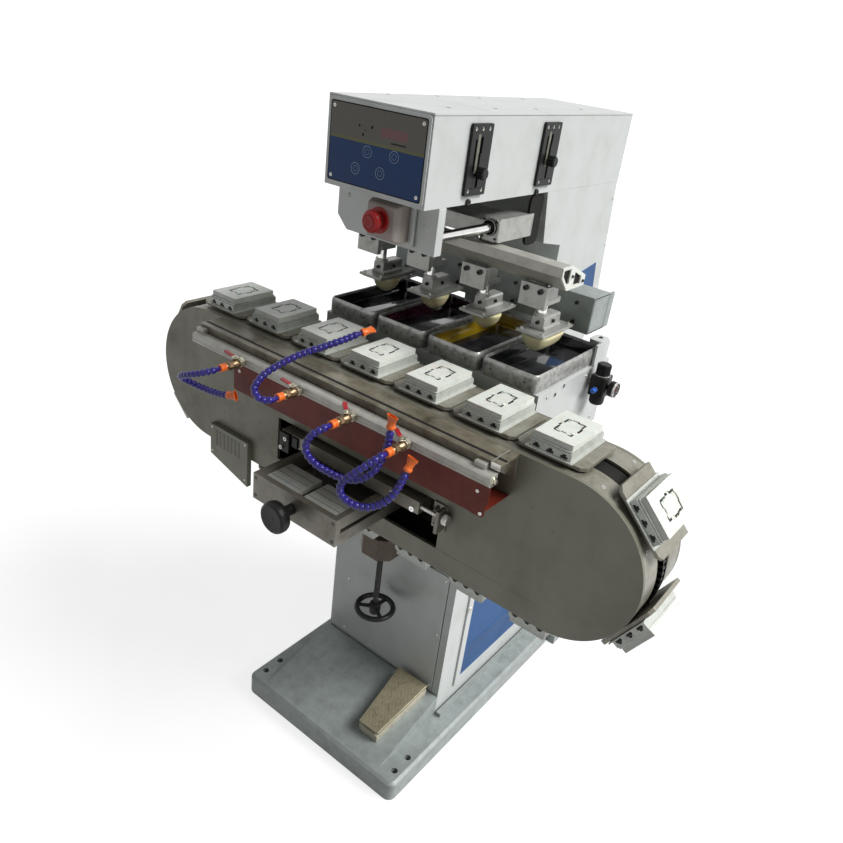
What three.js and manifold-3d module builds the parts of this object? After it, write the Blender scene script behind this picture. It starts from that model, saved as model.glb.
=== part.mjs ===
// Four-colour pad printing machine with open ink trays and an oval indexing conveyor.
// Millimetres, +Z up, +X along the conveyor, the operator stands at -Y.
// The origin lies on the floor, under the middle of the machine.

import * as THREE from 'three';
import { mergeVertices } from 'three/addons/utils/BufferGeometryUtils.js';
import Module from 'manifold-3d';

const wasm = await Module();
wasm.setup();

// Clearances and the one overrun that every cut uses.
const seatGap = 0.3;
const runGap = 0.5;
const overrun = 5;

// Pedestal, its front cover and its side door. The pedestal stands on the base pan.
const baseTop = 58;
const pedestalHalfWidth = 197;
const pedestalFront = -110;
const pedestalDepth = 530;
const pedestalBack = pedestalFront + pedestalDepth;
const pedestalHeight = 822;
const pedestalTop = baseTop + pedestalHeight;
const pedestalWall = 4;
const flangeWidth = 14;
const flangeHeight = 12;
const coverLeftInset = 47;
const coverRightInset = 22;
const coverLeft = -pedestalHalfWidth + coverLeftInset;
const coverRight = pedestalHalfWidth - coverRightInset;
const coverRise = 72;
const coverHeight = 375;
const coverBottom = baseTop + coverRise;
const coverTop = coverBottom + coverHeight;
const coverThick = 3;
const coverLap = 12;
const doorFrontInset = 71;
const doorBackInset = 60;
const doorFront = pedestalFront + doorFrontInset;
const doorBack = pedestalBack - doorBackInset;
const doorRise = 47;
const doorHeight = 535;
const doorBottom = baseTop + doorRise;
const doorTop = doorBottom + doorHeight;
const doorFrame = 22;
const doorThick = 5;
const doorPanel = 2;

// Base pan, its sloping front ramp and its rear cross foot.
const baseReach = 253;
const baseLap = 5;
const baseSide = 61;
const baseHalfWidth = pedestalHalfWidth + baseSide;
const baseFront = pedestalFront - baseReach;
const baseBack = pedestalBack + baseLap;
const baseCorner = 20;
const baseEdge = 7;
const footReach = 23;
const footHalfWidth = baseHalfWidth + footReach;
const footDepth = 45;
const footHeight = 30;
const rampLap = 2;
const rampHalfWidth = pedestalHalfWidth + rampLap;
const rampInset = 18;
const rampFront = baseFront + rampInset;
const rampRise = 62;
const boltHoleRadius = 7;
const boltInset = 25;
const boltX = baseHalfWidth - boltInset;
const boltFrontInset = 41;
const boltPitch = 52;
const boltRearInset = 65;
const boltYs = [baseFront + boltFrontInset, baseFront + boltFrontInset + boltPitch, baseBack - boltRearInset];

// Box frame of the cross slide, and the knob on its lead screw.
const slideTravel = 20;
const frameLeft = -141;
const frameRight = 102;
const frameInset = 40;
const frameBack = pedestalFront + frameInset;
const frameDrop = 75;
const frameHeight = 64;
const frameTop = pedestalTop - frameDrop;
const frameBottom = frameTop - frameHeight;
const frameWall = 14;
const frameFloor = 10;
const frameSlotHeight = 10;
const frameSlotDepth = 6;
const guideWidth = 15;
const guideDepth = 45;
const knobX = -22;
const knobRise = 31;
const knobHeight = frameBottom + knobRise;
const knobRadius = 35;
const knobThick = 26;
const knobStandoff = 32;
const knobNeckRadius = 12;
const leadScrewRadius = 7;

// Oval conveyor: side plates, rims and windows. It keeps its travel clear of the pedestal.
const ovalRise = 52;
const ovalCentreHeight = frameTop + ovalRise;
const ovalRadius = 170;
const ovalSteps = 14;
const ovalDepth = 176.5;
const rearPlateY = pedestalFront - slideTravel - runGap;
const frontPlateY = rearPlateY - ovalDepth;
const plateThick = 8;
const rimThick = 6;
const frontRimWidth = 62;
const chainSlotWidth = 52;
const chainSlotFront = frontPlateY + frontRimWidth;
const chainSlotBack = chainSlotFront + chainSlotWidth;
const seatThick = 12;
const tieRadius = 11;
const tieRise = 75;
const frameReach = 158;
const frameFront = frontPlateY - frameReach;

// Cross saddle between the box frame and the conveyor.
const saddleFrontInset = 17;
const saddleBackInset = 19.5;
const saddleFront = frontPlateY + saddleFrontInset;
const saddleBack = rearPlateY - saddleBackInset;
const saddleHalfWidth = 95;
const saddleRightLap = 1.5;
const saddleRight = frameRight + saddleRightLap;
const saddleThick = 40;
const saddleTop = frameTop + saddleThick;
const saddleRailHalfWidth = 200;
const saddleRailReach = 23;
const saddleRailFront = frontPlateY - saddleRailReach;
const saddleRailLift = 3;
const saddleRailHeight = 30;
const saddleRailBottom = frameTop + saddleRailLift;
const saddleRailTop = saddleRailBottom + saddleRailHeight;
const saddleNutInset = 30;
const saddleNutLength = 40;
const saddleNutFront = saddleFront + saddleNutInset;
const saddleNutBack = saddleNutFront + saddleNutLength;
const saddleNutHalfWidth = 22;
const saddleNutDropShare = 0.7;

// Windows of the side plates, as wide as the saddle's rail and the box frame need.
const windowLeftClear = 37;
const windowRightClear = 40;
const windowLeft = -saddleRailHalfWidth - windowLeftClear;
const windowRight = saddleRailHalfWidth + windowRightClear;
const windowDrop = 6;
const windowBottom = frameBottom - windowDrop;
const windowTop = saddleTop;
const rearWindowClear = 31;
const rearWindowLeft = frameLeft - rearWindowClear;
const rearWindowRight = frameRight + rearWindowClear;

// Side screw, its knob and its bracket on the front plate.
const sideScrewRadius = 5;
const sideScrewY = saddleRailFront + 2 * sideScrewRadius;
const sideScrewHeight = (saddleRailBottom + saddleRailTop) / 2;
const sideKnobRadius = 11;
const sideKnobLength = 15;
const sideBracketGap = 5;
const sideBracketX = windowRight + sideBracketGap;
const sideBracketThick = 8;
const sideBracketRise = 4;
const sideBracketHeight = 52;
const sideBracketTop = saddleRailTop + sideBracketRise;
const sideBracketBottom = sideBracketTop - sideBracketHeight;

// Stations on the chain: slat, slotted block and jig. Angles are counted from the top.
const slatWidth = 145;
const stationGap = 4.2;
const stationPitch = slatWidth + stationGap;
const straightStations = 7;
const straightHalf = (straightStations - 1) / 2 * stationPitch;
const stationShift = -16.5;
const topFirstX = stationShift - straightHalf;
const arcMargin = 46.4;
const ovalArcX = straightHalf + arcMargin;
const tieInset = 64;
const tieX = ovalArcX - tieInset;
const rightAngles = [44.55, 119];
const leftAngles = [135.45, 61];
const slatFrontInset = 22;
const slatBackInset = 27.5;
const slatFront = frontPlateY + slatFrontInset;
const slatBack = rearPlateY - slatBackInset;
const slatThick = 8;
const slatLift = 3;
const slatCorner = 10;
const blockWidth = 85;
const blockLap = 2;
const blockFront = slatFront - blockLap;
const blockBack = slatBack + blockLap;
const blockHeight = 17;
const blockSlots = 3;
const blockSlotWidth = 10;
const blockSlotHeight = 7;
const blockSlotDepth = 12;
const jigWidth = 80;
const jigFrontInset = 5;
const jigBackInset = 6;
const jigFront = blockFront + jigFrontInset;
const jigBack = blockBack - jigBackInset;
const jigThick = 15.6;
const jigRecess = 2;
const jigRecessWidth = 40;
const jigRecessLength = 64;
const chainThick = 8;
const chainMargin = 5;

// Distance from the arc's centre to each layer of a station. The chain reaches half into the slats.
const slatRadius = ovalRadius + slatLift;
const blockRadius = slatRadius + slatThick;
const jigRadius = blockRadius + blockHeight;
const stationTop = jigRadius + jigThick;
const chainInner = slatRadius + seatGap - chainThick;
const chainOuter = slatRadius + slatThick / 2;

// Knee, lift screw and handwheel. The knee passes below the lowest stations.
const screwX = 10;
const screwReach = 72;
const screwY = pedestalFront - screwReach;
const screwRadius = 7.5;
const wheelRise = 296;
const wheelHeight = baseTop + wheelRise;
const wheelRadius = 54;
const wheelRim = 7;
const wheelHubRadius = 14;
const wheelHubHeight = 30;
const wheelSpokes = 3;
const wheelSpokeWidth = 9;
const wheelSpokeThick = 6;
const liftTravel = 10;
const thrustThick = 8;
const thrustCollar = 4;
const kneeClear = 43.4;
const kneeHeight = 60;
const kneeTop = ovalCentreHeight - stationTop - kneeClear;
const kneeBottom = kneeTop - kneeHeight;
const kneeHalfWidth = 47;
const kneeNose = 48;
const kneeFront = screwY - kneeNose;
const kneeTailHalfWidth = 34;
const kneePostInset = 14;
const kneePostDepth = 34;
const kneePostFront = pedestalFront + kneePostInset;
const kneePostBack = kneePostFront + kneePostDepth;

// Drive housing under the left end of the conveyor.
const driveInset = 27;
const driveWidth = 140;
const driveLeft = -ovalArcX + driveInset;
const driveRight = driveLeft + driveWidth;
const driveDrop = 117;
const driveTop = ovalCentreHeight - driveDrop;
const driveLeftHeight = 86;
const driveRightHeight = 126;
const driveDepth = 14;
const driveWall = 3;
const louvreCount = 7;
const louvreWidth = 7;
const louvreHeight = 42;
const louvrePitch = 14;
const louvreInset = 20;
const louvreDrop = 12;
const louvreTop = driveTop - louvreDrop;

// Front ledge, its gusset, the air manifold bar and the guard plate.
const ledgeLeftInset = 54;
const ledgeRightInset = 109;
const ledgeLeft = -ovalArcX + ledgeLeftInset;
const ledgeRight = ovalArcX - ledgeRightInset;
const ledgeReach = 62;
const ledgeFront = frontPlateY - ledgeReach;
const ledgeTop = ovalCentreHeight + ovalRadius;
const ledgeThick = 6;
const ledgeGrooveWidth = 8;
const ledgeGrooveDepth = 3;
const ledgeGrooveInset = 14;
const gussetInset = 24;
const gussetX = ledgeRight - gussetInset;
const gussetThick = 3;
const gussetDrop = 53;
const gussetBottom = ledgeTop - gussetDrop;
const manifoldInset = 3;
const manifoldLeft = ledgeLeft + manifoldInset;
const manifoldRight = ledgeRight - manifoldInset;
const manifoldSize = 24;
const manifoldDrop = 41;
const manifoldBottom = ledgeTop - manifoldDrop;
const manifoldBack = ledgeFront - seatGap;
const manifoldFront = manifoldBack - manifoldSize;
const manifoldBore = 7;
const plugRadius = 8;
const plugThick = 3;
const guardLength = 685;
const guardInset = 5;
const guardRight = ledgeRight - guardInset;
const guardLeft = guardRight - guardLength;
const guardReach = 14;
const guardFront = ledgeFront - guardReach;
const guardThick = 3;
const guardHeight = 71;
const guardBottom = manifoldBottom - guardHeight;
const guardCorner = 18;

// Ball valves and levers. The valves stand at places read from the photograph.
const valveXs = [-264.7, -88.7, 58.4, 196.9];
const valveHeight = manifoldBottom + manifoldSize / 2;
const valveNutRadius = 11;
const valveNutLength = 12;
const valveBodyRadius = 8.5;
const valveBodyLength = 35;
const valveCollarRadius = 8;
const valveCollarLength = 15;
const valveBallRadius = 11;
const valveBallReach = 6.7;
const valveBallY = manifoldFront - valveNutLength - valveBallReach;
const valveFront = manifoldFront - valveNutLength - valveBodyLength - valveCollarLength;
const leverRise = 14;
const leverLength = 34;
const leverWidth = 9;
const leverThick = 3;
const leverPinRadius = 4;
const leverTurns = [180, 180, 140, 149];

// Ribbed hoses and their flat nozzles.
const hoseRadius = 6.2;
const hoseRibRadius = 7.6;
const hoseBoreRadius = 3.4;
const hoseRibPitch = 11;
const hoseRibStartShare = 0.22;
const hoseRibEndShare = 0.62;
const hoseBoreStep = 5;
const nozzleLength = 24;
const nozzleMouthWidth = 26;
const nozzleMouthThick = 9;
const nozzleWall = 2;

// Ink trays, side by side on the bed.
const trayCount = 4;
const trayWidth = 139.2;
const trayGap = 9;
const trayPitch = trayWidth + trayGap;
const trayHeight = 40;
const trayWall = 7;
const trayFloor = 10;
const trayCorner = 16;
const trayShoulder = 5;

// Bed housing under the trays, and its side wings.
const bedMargin = 8.1;
const bedHalfWidth = (trayCount * trayPitch - trayGap) / 2 + bedMargin;
const bedInset = 10;
const bedDepth = 335;
const bedHeight = 165;
const bedFront = pedestalFront + bedInset;
const bedBack = bedFront + bedDepth;
const bedTop = pedestalTop + bedHeight;
const bedWall = 6;
const bedFloor = 8;
const bedHoleRadius = 6;
const wingHoles = [{ inset: 77, drop: 21 }, { inset: 113, drop: 10 }];
const earWidth = 34;
const earInset = 21;
const earLength = 64;
const earBack = bedBack - earInset;
const earFront = earBack - earLength;
const earRise = 46;
const earThick = 9;
const trayLap = 5;
const trayBackInset = 45;
const trayFront = bedFront - trayLap;
const trayBack = bedBack - trayBackInset;
const trayBottom = bedTop + seatGap;
const trayRim = trayBottom + trayHeight;

// Column: its outline steps back round the bed and the rear cross beam.
const columnHalfWidth = 120;
const columnWall = 6;
const columnRise = 356;
const columnTop = bedTop + columnRise;
const columnStepInset = 11;
const columnStepY = bedBack - columnStepInset;
const columnStepDrop = 130;
const columnStepHeight = columnTop - columnStepDrop;
const columnChinReach = 84;
const columnChinY = columnStepY - columnChinReach;
const columnChinDrop = 115;
const columnChinHeight = columnTop - columnChinDrop;
const columnFrontReach = 24;
const columnFrontY = columnChinY - columnFrontReach;
const columnFootGap = 7;
const columnFootY = bedBack + columnFootGap;
const columnRearInset = 4;
const columnRearFootY = pedestalBack - columnRearInset;
const columnRearReach = 99;
const columnRearLowY = columnRearFootY + columnRearReach;
const columnRearLowRise = 147;
const columnRearLow = pedestalTop + columnRearLowRise;
const columnRearTopInset = 47;
const columnRearTopY = columnRearLowY - columnRearTopInset;

// Head on the column, and the control panel on its front.
const headHeight = 159;
const headTop = columnTop + headHeight;
const headOverhang = 440;
const headFront = columnFrontY - headOverhang;
const headLap = 2;
const headBack = columnRearTopY + headLap;
const headWall = 4;
const headFloorInset = 124;
const headFloorFront = headFront + headFloorInset;
const headFloorBackInset = 56;
const headFloorBack = columnFrontY - headFloorBackInset;
const panelInset = 3;
const panelEdge = 4;
const panelHalfWidth = columnHalfWidth - panelInset;
const panelBottom = columnTop + panelEdge;
const panelTop = headTop - panelEdge;
const panelThick = 3;

// Rear cross beam behind the pads.
const beamHalfWidth = 280;
const beamDepth = 80;
const beamHeight = 85;
const beamInset = 24;
const beamBack = columnStepY - beamInset;
const beamFront = beamBack - beamDepth;
const beamLift = 77;
const beamBottom = bedTop + beamLift;
const beamTop = beamBottom + beamHeight;
const beamWall = 6;
const beamSeatHalfWidth = 90;

// Apron plate, emergency stop and guide shafts.
const apronLap = 2;
const apronHalfWidth = columnHalfWidth + apronLap;
const apronInset = 44;
const apronFront = headFront + apronInset;
const apronThick = 22;
const apronHeight = 88;
const apronBottom = columnTop - apronHeight;
const apronChamfer = 26;
const stopBoxReach = 42;
const stopBoxFront = apronFront - stopBoxReach;
const stopBoxLeft = -16;
const stopBoxWidth = 76;
const stopBoxRight = stopBoxLeft + stopBoxWidth;
const stopBoxRise = 12;
const stopBoxHeight = 70;
const stopBoxBottom = apronBottom + stopBoxRise;
const stopBoxTop = stopBoxBottom + stopBoxHeight;
const stopInset = 36;
const stopRise = 37;
const stopX = stopBoxLeft + stopInset;
const stopHeight = stopBoxBottom + stopRise;
const stopHeadRadius = 21;
const stopHeadThick = 16;
const stopStemRadius = 9;
const stopStandoff = 14;
const stopTravel = 5;
const shaftInset = 25;
const shaftX = columnHalfWidth - shaftInset;
const shaftDrop = 63;
const shaftHeight = columnTop - shaftDrop;
const shaftRadius = 10;
const shaftReach = 30;
const shaftBack = columnChinY + shaftReach;

// Slider plates and their knobs on the right side of the head.
const sliderLow = 17;
const sliderHigh = 16;
const sliderBottom = columnTop + sliderLow;
const sliderTop = headTop - sliderHigh;
const sliderWidth = 66;
const sliderThick = 6;
const sliderFrontInset = 142;
const sliderPitch = 260;
const sliderYs = [headFront + sliderFrontInset, headFront + sliderFrontInset + sliderPitch];
const sliderSlotWidth = 7;
const sliderSlotLow = 14;
const sliderSlotHigh = 22;
const sliderSlotBottom = sliderBottom + sliderSlotLow;
const sliderSlotTop = sliderTop - sliderSlotHigh;
const sliderKnobRises = [27, 37];
const sliderHoleRadius = 4.2;
const sliderKnobRadius = 11;
const sliderKnobLength = 18;
const sliderPointerLength = 34;

// Carriage on the guide shafts.
const carriageInset = 35;
const carriageLength = 138;
const carriageBack = columnFrontY - carriageInset;
const carriageFront = carriageBack - carriageLength;
const carriageDrop = 28;
const carriageRise = 20;
const carriageBottom = shaftHeight - carriageDrop;
const carriageTop = shaftHeight + carriageRise;
const bearingWidth = 44;
const sealRadius = 16;
const sealThick = 6;
const bridgeDrop = 11;
const padStrokeRoom = 8;
const strokePostX = 45;
const strokePostInset = 47;
const strokePostRadius = 10;

// Pad beam: its section from the front edge to the nose, and what hangs below it.
const padBeamHalfWidth = 285;
const padBeamGap = 5;
const padBeamTop = carriageBottom - padBeamGap;
const padBeamReach = 18;
const padBeamFront = carriageFront - padBeamReach;
const padBeamTopWidth = 40;
const padBeamDepth = 105;
const padBeamNoseY = padBeamFront + padBeamDepth;
const padBeamNoseDrop = 28;
const padBeamHeight = 50;
const padBeamBottom = padBeamTop - padBeamHeight;
const padBeamHeelDrop = 20;
const padBeamHeelInset = 30;
const strokePostY = padBeamFront + strokePostInset;
const padCentreInset = 95;
const padCentreY = padBeamFront + padCentreInset;
const padBracketWidth = 62;
const padBracketInset = 13;
const padBracketFront = padBeamFront + padBracketInset;
const padBracketHeight = 49;
const padBracketBottom = padBeamBottom - padBracketHeight;
const padBracketThick = 14;
const padRodRadius = 11;
const padRodInset = 69;
const padRodY = padBeamFront + padRodInset;
const padClampWidth = 34;
const padClampLength = 70;
const padClampHeight = 30;
const padPlateWidth = 67;
const padPlateInset = 31;
const padPlateLength = 134;
const padPlateFront = padBeamFront + padPlateInset;
const padPlateBack = padPlateFront + padPlateLength;
const padPlateDrop = 118;
const padPlateBottom = padBeamBottom - padPlateDrop;
const padPlateThick = 10;
const padXs = Array.from({ length: trayCount }, (_, i) => (i - (trayCount - 1) / 2) * trayPitch);

// Silicone pads: reach across and along, and the shares of the crowned form.
const roundPadRadius = 34;
const boatPadHalfWidth = 32;
const boatPadHalfLength = 57;
const padDrop = 40;
const padSides = 16;
const padDropShares = [[0, 1], [0.18, 0.98], [0.45, 0.88], [0.7, 0.66], [0.88, 0.38], [1, 0]];

// Air regulator on the right wing.
const regulatorInset = 85;
const regulatorY = bedBack - regulatorInset;
const regulatorDrop = 35;
const regulatorHeight = bedTop - regulatorDrop;
const regulatorReach = 26;
const regulatorBodyRadius = 19;
const regulatorBodyHeight = 44;
const regulatorKnobRadius = 14;
const regulatorKnobHeight = 30;
const regulatorBowlRadius = 15;
const regulatorBowlHeight = 26;
const gaugeRadius = 17;
const gaugeThick = 22;

// Foot pedal and its cable.
const pedalInset = 21;
const pedalWidth = 113;
const pedalRight = rampHalfWidth - pedalInset;
const pedalLeft = pedalRight - pedalWidth;
const pedalGap = 15;
const pedalLength = 175;
const pedalBack = pedestalFront - pedalGap;
const pedalFront = pedalBack - pedalLength;
const pedalSkirt = 20;
const pedalWall = 5;
const pedalLift = 8;
const pedalTreadThick = 6;
const cableRadius = 3;
const cableInset = 36;

// Shares of the turned profiles: reach across against the radius, and place along against the length.
const knobProfileShares = [[0.8, 0], [1, 0.25], [1, 0.75], [0.8, 1]];
const stopProfileShares = [[0.82, 0], [1, 0.3], [0.95, 0.65], [0.6, 0.95], [0, 1]];
const ballProfileShares = [[0, -1], [0.7, -0.7], [1, 0], [0.7, 0.7], [0, 1]];

// Colours of the finishes.
const paint = { color: 0xb9bcba, roughness: 0.45, metalness: 0.1 };
const steel = { color: 0x9a958c, roughness: 0.35, metalness: 0.8 };
const chrome = { color: 0xd8d8d8, roughness: 0.12, metalness: 1.0 };
const aluminium = { color: 0xc9cbca, roughness: 0.4, metalness: 0.7 };
const blue = { color: 0x1d3c82, roughness: 0.5, metalness: 0.0 };
const black = { color: 0x141414, roughness: 0.4, metalness: 0.0 };
const ivory = { color: 0xe9e8df, roughness: 0.5, metalness: 0.0 };
const copperRed = { color: 0x7a2f22, roughness: 0.5, metalness: 0.3 };
const signalRed = { color: 0xc22222, roughness: 0.4, metalness: 0.0 };
const hoseBlue = { color: 0x1d1a6e, roughness: 0.45, metalness: 0.0 };
const castBrown = { color: 0x4a3a30, roughness: 0.7, metalness: 0.3 };
const padCream = { color: 0xd9d3a8, roughness: 0.5, metalness: 0.0 };
const castGold = { color: 0xb9a06a, roughness: 0.55, metalness: 0.5 };
const nickelBrass = { color: 0xb3a58a, roughness: 0.3, metalness: 0.8 };

// Geometry helpers: every shape starts as a three.js geometry and becomes a solid.

const degree = Math.PI / 180;

function solid(geometry) {
  geometry.deleteAttribute('normal');
  geometry.deleteAttribute('uv');
  const merged = mergeVertices(geometry);
  return new wasm.Manifold(new wasm.Mesh({
    numProp: 3,
    vertProperties: merged.attributes.position.array,
    triVerts: Uint32Array.from(merged.index.array),
  }));
}

// Two limits in rising order, for what is mirrored to the left.
function between(a, b) {
  return [Math.min(a, b), Math.max(a, b)];
}

function block(x0, x1, y0, y1, z0, z1) {
  const geometry = new THREE.BoxGeometry(x1 - x0, y1 - y0, z1 - z0);
  geometry.translate((x0 + x1) / 2, (y0 + y1) / 2, (z0 + z1) / 2);
  return solid(geometry);
}

// The turns that lay a shape drawn in local X, Y and extruded along local Z on a world axis.
function axisMatrix(axis, from, to) {
  const matrix = new THREE.Matrix4();
  if (axis === 'x') {
    matrix.makeBasis(new THREE.Vector3(0, 1, 0), new THREE.Vector3(0, 0, 1), new THREE.Vector3(1, 0, 0));
    matrix.setPosition(from, 0, 0);
  } else if (axis === 'y') {
    matrix.makeBasis(new THREE.Vector3(1, 0, 0), new THREE.Vector3(0, 0, 1), new THREE.Vector3(0, -1, 0));
    matrix.setPosition(0, to, 0);
  } else {
    matrix.setPosition(0, 0, from);
  }
  return matrix;
}

function prism(axis, outline, from, to) {
  const shape = new THREE.Shape(outline.map(([u, v]) => new THREE.Vector2(u, v)));
  const geometry = new THREE.ExtrudeGeometry(shape, { depth: to - from, bevelEnabled: false });
  geometry.applyMatrix4(axisMatrix(axis, from, to));
  return solid(geometry);
}

function rod(axis, u, v, radius, from, to, sides = 20) {
  const outline = arc(u, v, radius, 0, 360, sides).slice(0, sides);
  return prism(axis, outline, from, to);
}

function arc(u, v, radius, fromAngle, toAngle, steps) {
  const points = [];
  for (let i = 0; i <= steps; i += 1) {
    const angle = (fromAngle + (toAngle - fromAngle) * i / steps) * degree;
    points.push([u + radius * Math.cos(angle), v + radius * Math.sin(angle)]);
  }
  return points;
}

function roundedOutline(u0, u1, v0, v1, radius, steps = 4) {
  return [
    ...arc(u1 - radius, v0 + radius, radius, -90, 0, steps),
    ...arc(u1 - radius, v1 - radius, radius, 0, 90, steps),
    ...arc(u0 + radius, v1 - radius, radius, 90, 180, steps),
    ...arc(u0 + radius, v0 + radius, radius, 180, 270, steps),
  ];
}

// A prism whose two ends have chamfered edges, drawn inside the same limits.
function chamferedPrism(axis, outline, from, to, edge) {
  const shape = new THREE.Shape(outline.map(([u, v]) => new THREE.Vector2(u, v)));
  const geometry = new THREE.ExtrudeGeometry(shape, {
    depth: to - from - 2 * edge,
    bevelEnabled: true,
    bevelThickness: edge,
    bevelSize: edge,
    bevelOffset: -edge,
    bevelSegments: 1,
  });
  geometry.translate(0, 0, edge);
  geometry.applyMatrix4(axisMatrix(axis, from, to));
  return solid(geometry);
}

function turned(profile, axis, u, v, from, sides = 24) {
  const points = profile.map(([radius, along]) => new THREE.Vector2(radius, along));
  const geometry = new THREE.LatheGeometry(points, sides);
  geometry.rotateX(90 * degree);
  geometry.applyMatrix4(axisMatrix(axis, from, from).multiply(new THREE.Matrix4().makeTranslation(u, v, 0)));
  return solid(geometry);
}

function join(...solids) {
  return solids.reduce((whole, piece) => whole.add(piece));
}

function cut(body, ...tools) {
  return tools.reduce((whole, tool) => whole.subtract(tool), body);
}

const machine = new THREE.Group();

function piece(name, body, finish) {
  const { vertProperties, triVerts } = body.getMesh();
  const geometry = new THREE.BufferGeometry();
  geometry.setAttribute('position', new THREE.BufferAttribute(vertProperties, 3));
  geometry.setIndex(new THREE.BufferAttribute(triVerts, 1));
  geometry.computeVertexNormals();
  const mesh = new THREE.Mesh(geometry, new THREE.MeshStandardMaterial(finish));
  mesh.name = name;
  machine.add(mesh);
}

// Base pan with ramp, rear foot and the flange strips beside the pedestal.
function baseFrame() {
  const outline = roundedOutline(-baseHalfWidth, baseHalfWidth, baseFront, baseBack, baseCorner);
  const pan = chamferedPrism('z', outline, -baseEdge, baseTop, baseEdge);
  const belowFloor = block(
    -baseHalfWidth - overrun, baseHalfWidth + overrun,
    baseFront - overrun, baseBack + overrun, -baseEdge - overrun, 0,
  );
  const foot = block(-footHalfWidth, footHalfWidth, baseBack - overrun, baseBack + footDepth, 0, footHeight);
  const rampBack = pedestalFront - coverThick - 2 * seatGap;
  const ramp = prism('x', [
    [rampFront, baseTop - overrun],
    [rampBack, baseTop - overrun],
    [rampBack, baseTop + rampRise],
    [rampFront, baseTop],
  ], -rampHalfWidth, rampHalfWidth);
  const inner = pedestalHalfWidth + doorThick + 2 * seatGap;
  const flanges = [-1, 1].map((side) => block(
    ...between(side * inner, side * (inner + flangeWidth)),
    rampBack, pedestalBack, baseTop - overrun, baseTop + flangeHeight,
  ));
  const holes = [];
  for (const y of boltYs) {
    for (const x of [-boltX, boltX]) {
      holes.push(rod('z', x, y, boltHoleRadius, -overrun, baseTop + overrun, 12));
    }
  }
  return cut(join(cut(pan, belowFloor), foot, ramp, ...flanges), ...holes);
}

// Height of the cross slide's slot in the pedestal front, and of the knee's slot below it.
const frameSlotClear = liftTravel + 6 * runGap;
const kneeX0 = screwX - kneeTailHalfWidth;
const kneeX1 = screwX + kneeTailHalfWidth;

// Pedestal shell, open below, with the lift guides for the knee inside its front wall.
function pedestalShell() {
  const bottom = baseTop + seatGap;
  const outer = block(-pedestalHalfWidth, pedestalHalfWidth, pedestalFront, pedestalBack, bottom, pedestalTop);
  const inner = block(
    -pedestalHalfWidth + pedestalWall, pedestalHalfWidth - pedestalWall,
    pedestalFront + pedestalWall, pedestalBack - pedestalWall, bottom - overrun, pedestalTop - 2 * pedestalWall,
  );
  const wallFront = pedestalFront - overrun;
  const wallBack = pedestalFront + pedestalWall + overrun;
  const coverHole = block(
    coverLeft + coverLap, coverRight - coverLap, wallFront, wallBack,
    coverBottom + coverLap, coverTop - coverLap,
  );
  const doorHole = block(
    pedestalHalfWidth - pedestalWall - overrun, pedestalHalfWidth + overrun,
    doorFront + doorFrame, doorBack - doorFrame, doorBottom + doorFrame, doorTop - doorFrame,
  );
  const frameSlot = block(
    frameLeft - runGap, frameRight + runGap, wallFront, wallBack,
    frameBottom - frameSlotClear, frameTop + frameSlotClear,
  );
  const kneeSlot = block(
    kneeX0 - runGap, kneeX1 + runGap, wallFront, wallBack,
    kneeBottom - frameSlotClear, kneeTop + frameSlotClear,
  );
  const guides = [frameLeft - runGap - guideWidth, frameRight + runGap].map((x) => block(
    x, x + guideWidth, pedestalFront + pedestalWall - overrun / 2, pedestalFront + pedestalWall + guideDepth,
    frameBottom - guideDepth, pedestalTop - guideWidth,
  ));
  const thrust = cut(
    block(
      kneeX0, kneeX1, screwY - kneeTailHalfWidth, pedestalFront + pedestalWall / 2,
      kneeTop + frameSlotClear, kneeTop + frameSlotClear + thrustThick,
    ),
    rod('z', screwX, screwY, screwRadius + runGap, kneeTop, kneeTop + frameSlotClear + thrustThick + overrun),
  );
  return join(cut(outer, inner, coverHole, doorHole, frameSlot, kneeSlot), ...guides, thrust);
}

function frontCover() {
  const back = pedestalFront - seatGap;
  return block(coverLeft, coverRight, back - coverThick, back, coverBottom, coverTop);
}

// Side door: a sheet with a raised frame round a sunk panel.
function sideDoor() {
  const x = pedestalHalfWidth + seatGap;
  const sheet = block(x, x + doorThick, doorFront, doorBack, doorBottom, doorTop);
  const sunk = block(
    x + doorPanel, x + doorThick + overrun,
    doorFront + doorFrame, doorBack - doorFrame, doorBottom + doorFrame, doorTop - doorFrame,
  );
  return cut(sheet, sunk);
}

// Cast knee: a bracket that carries the screw's nut, a tail through the pedestal front and a post inside.
function kneeBracket() {
  const outside = pedestalFront - seatGap;
  const bracket = prism('z', [
    [screwX - kneeHalfWidth, outside],
    [screwX - kneeHalfWidth, kneeFront + kneeHalfWidth / 2],
    [screwX - kneeHalfWidth / 2, kneeFront],
    [screwX + kneeHalfWidth / 2, kneeFront],
    [screwX + kneeHalfWidth, kneeFront + kneeHalfWidth / 2],
    [screwX + kneeHalfWidth, outside],
  ], kneeBottom, kneeTop);
  const tail = block(kneeX0, kneeX1, outside - overrun, kneePostBack, kneeBottom, kneeTop);
  const post = block(kneeX0, kneeX1, kneePostFront, kneePostBack, kneeTop - overrun, frameBottom - seatGap);
  const nut = rod('z', screwX, screwY, screwRadius + runGap, kneeBottom - overrun, kneeTop + overrun);
  return cut(join(bracket, tail, post), nut);
}

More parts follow.
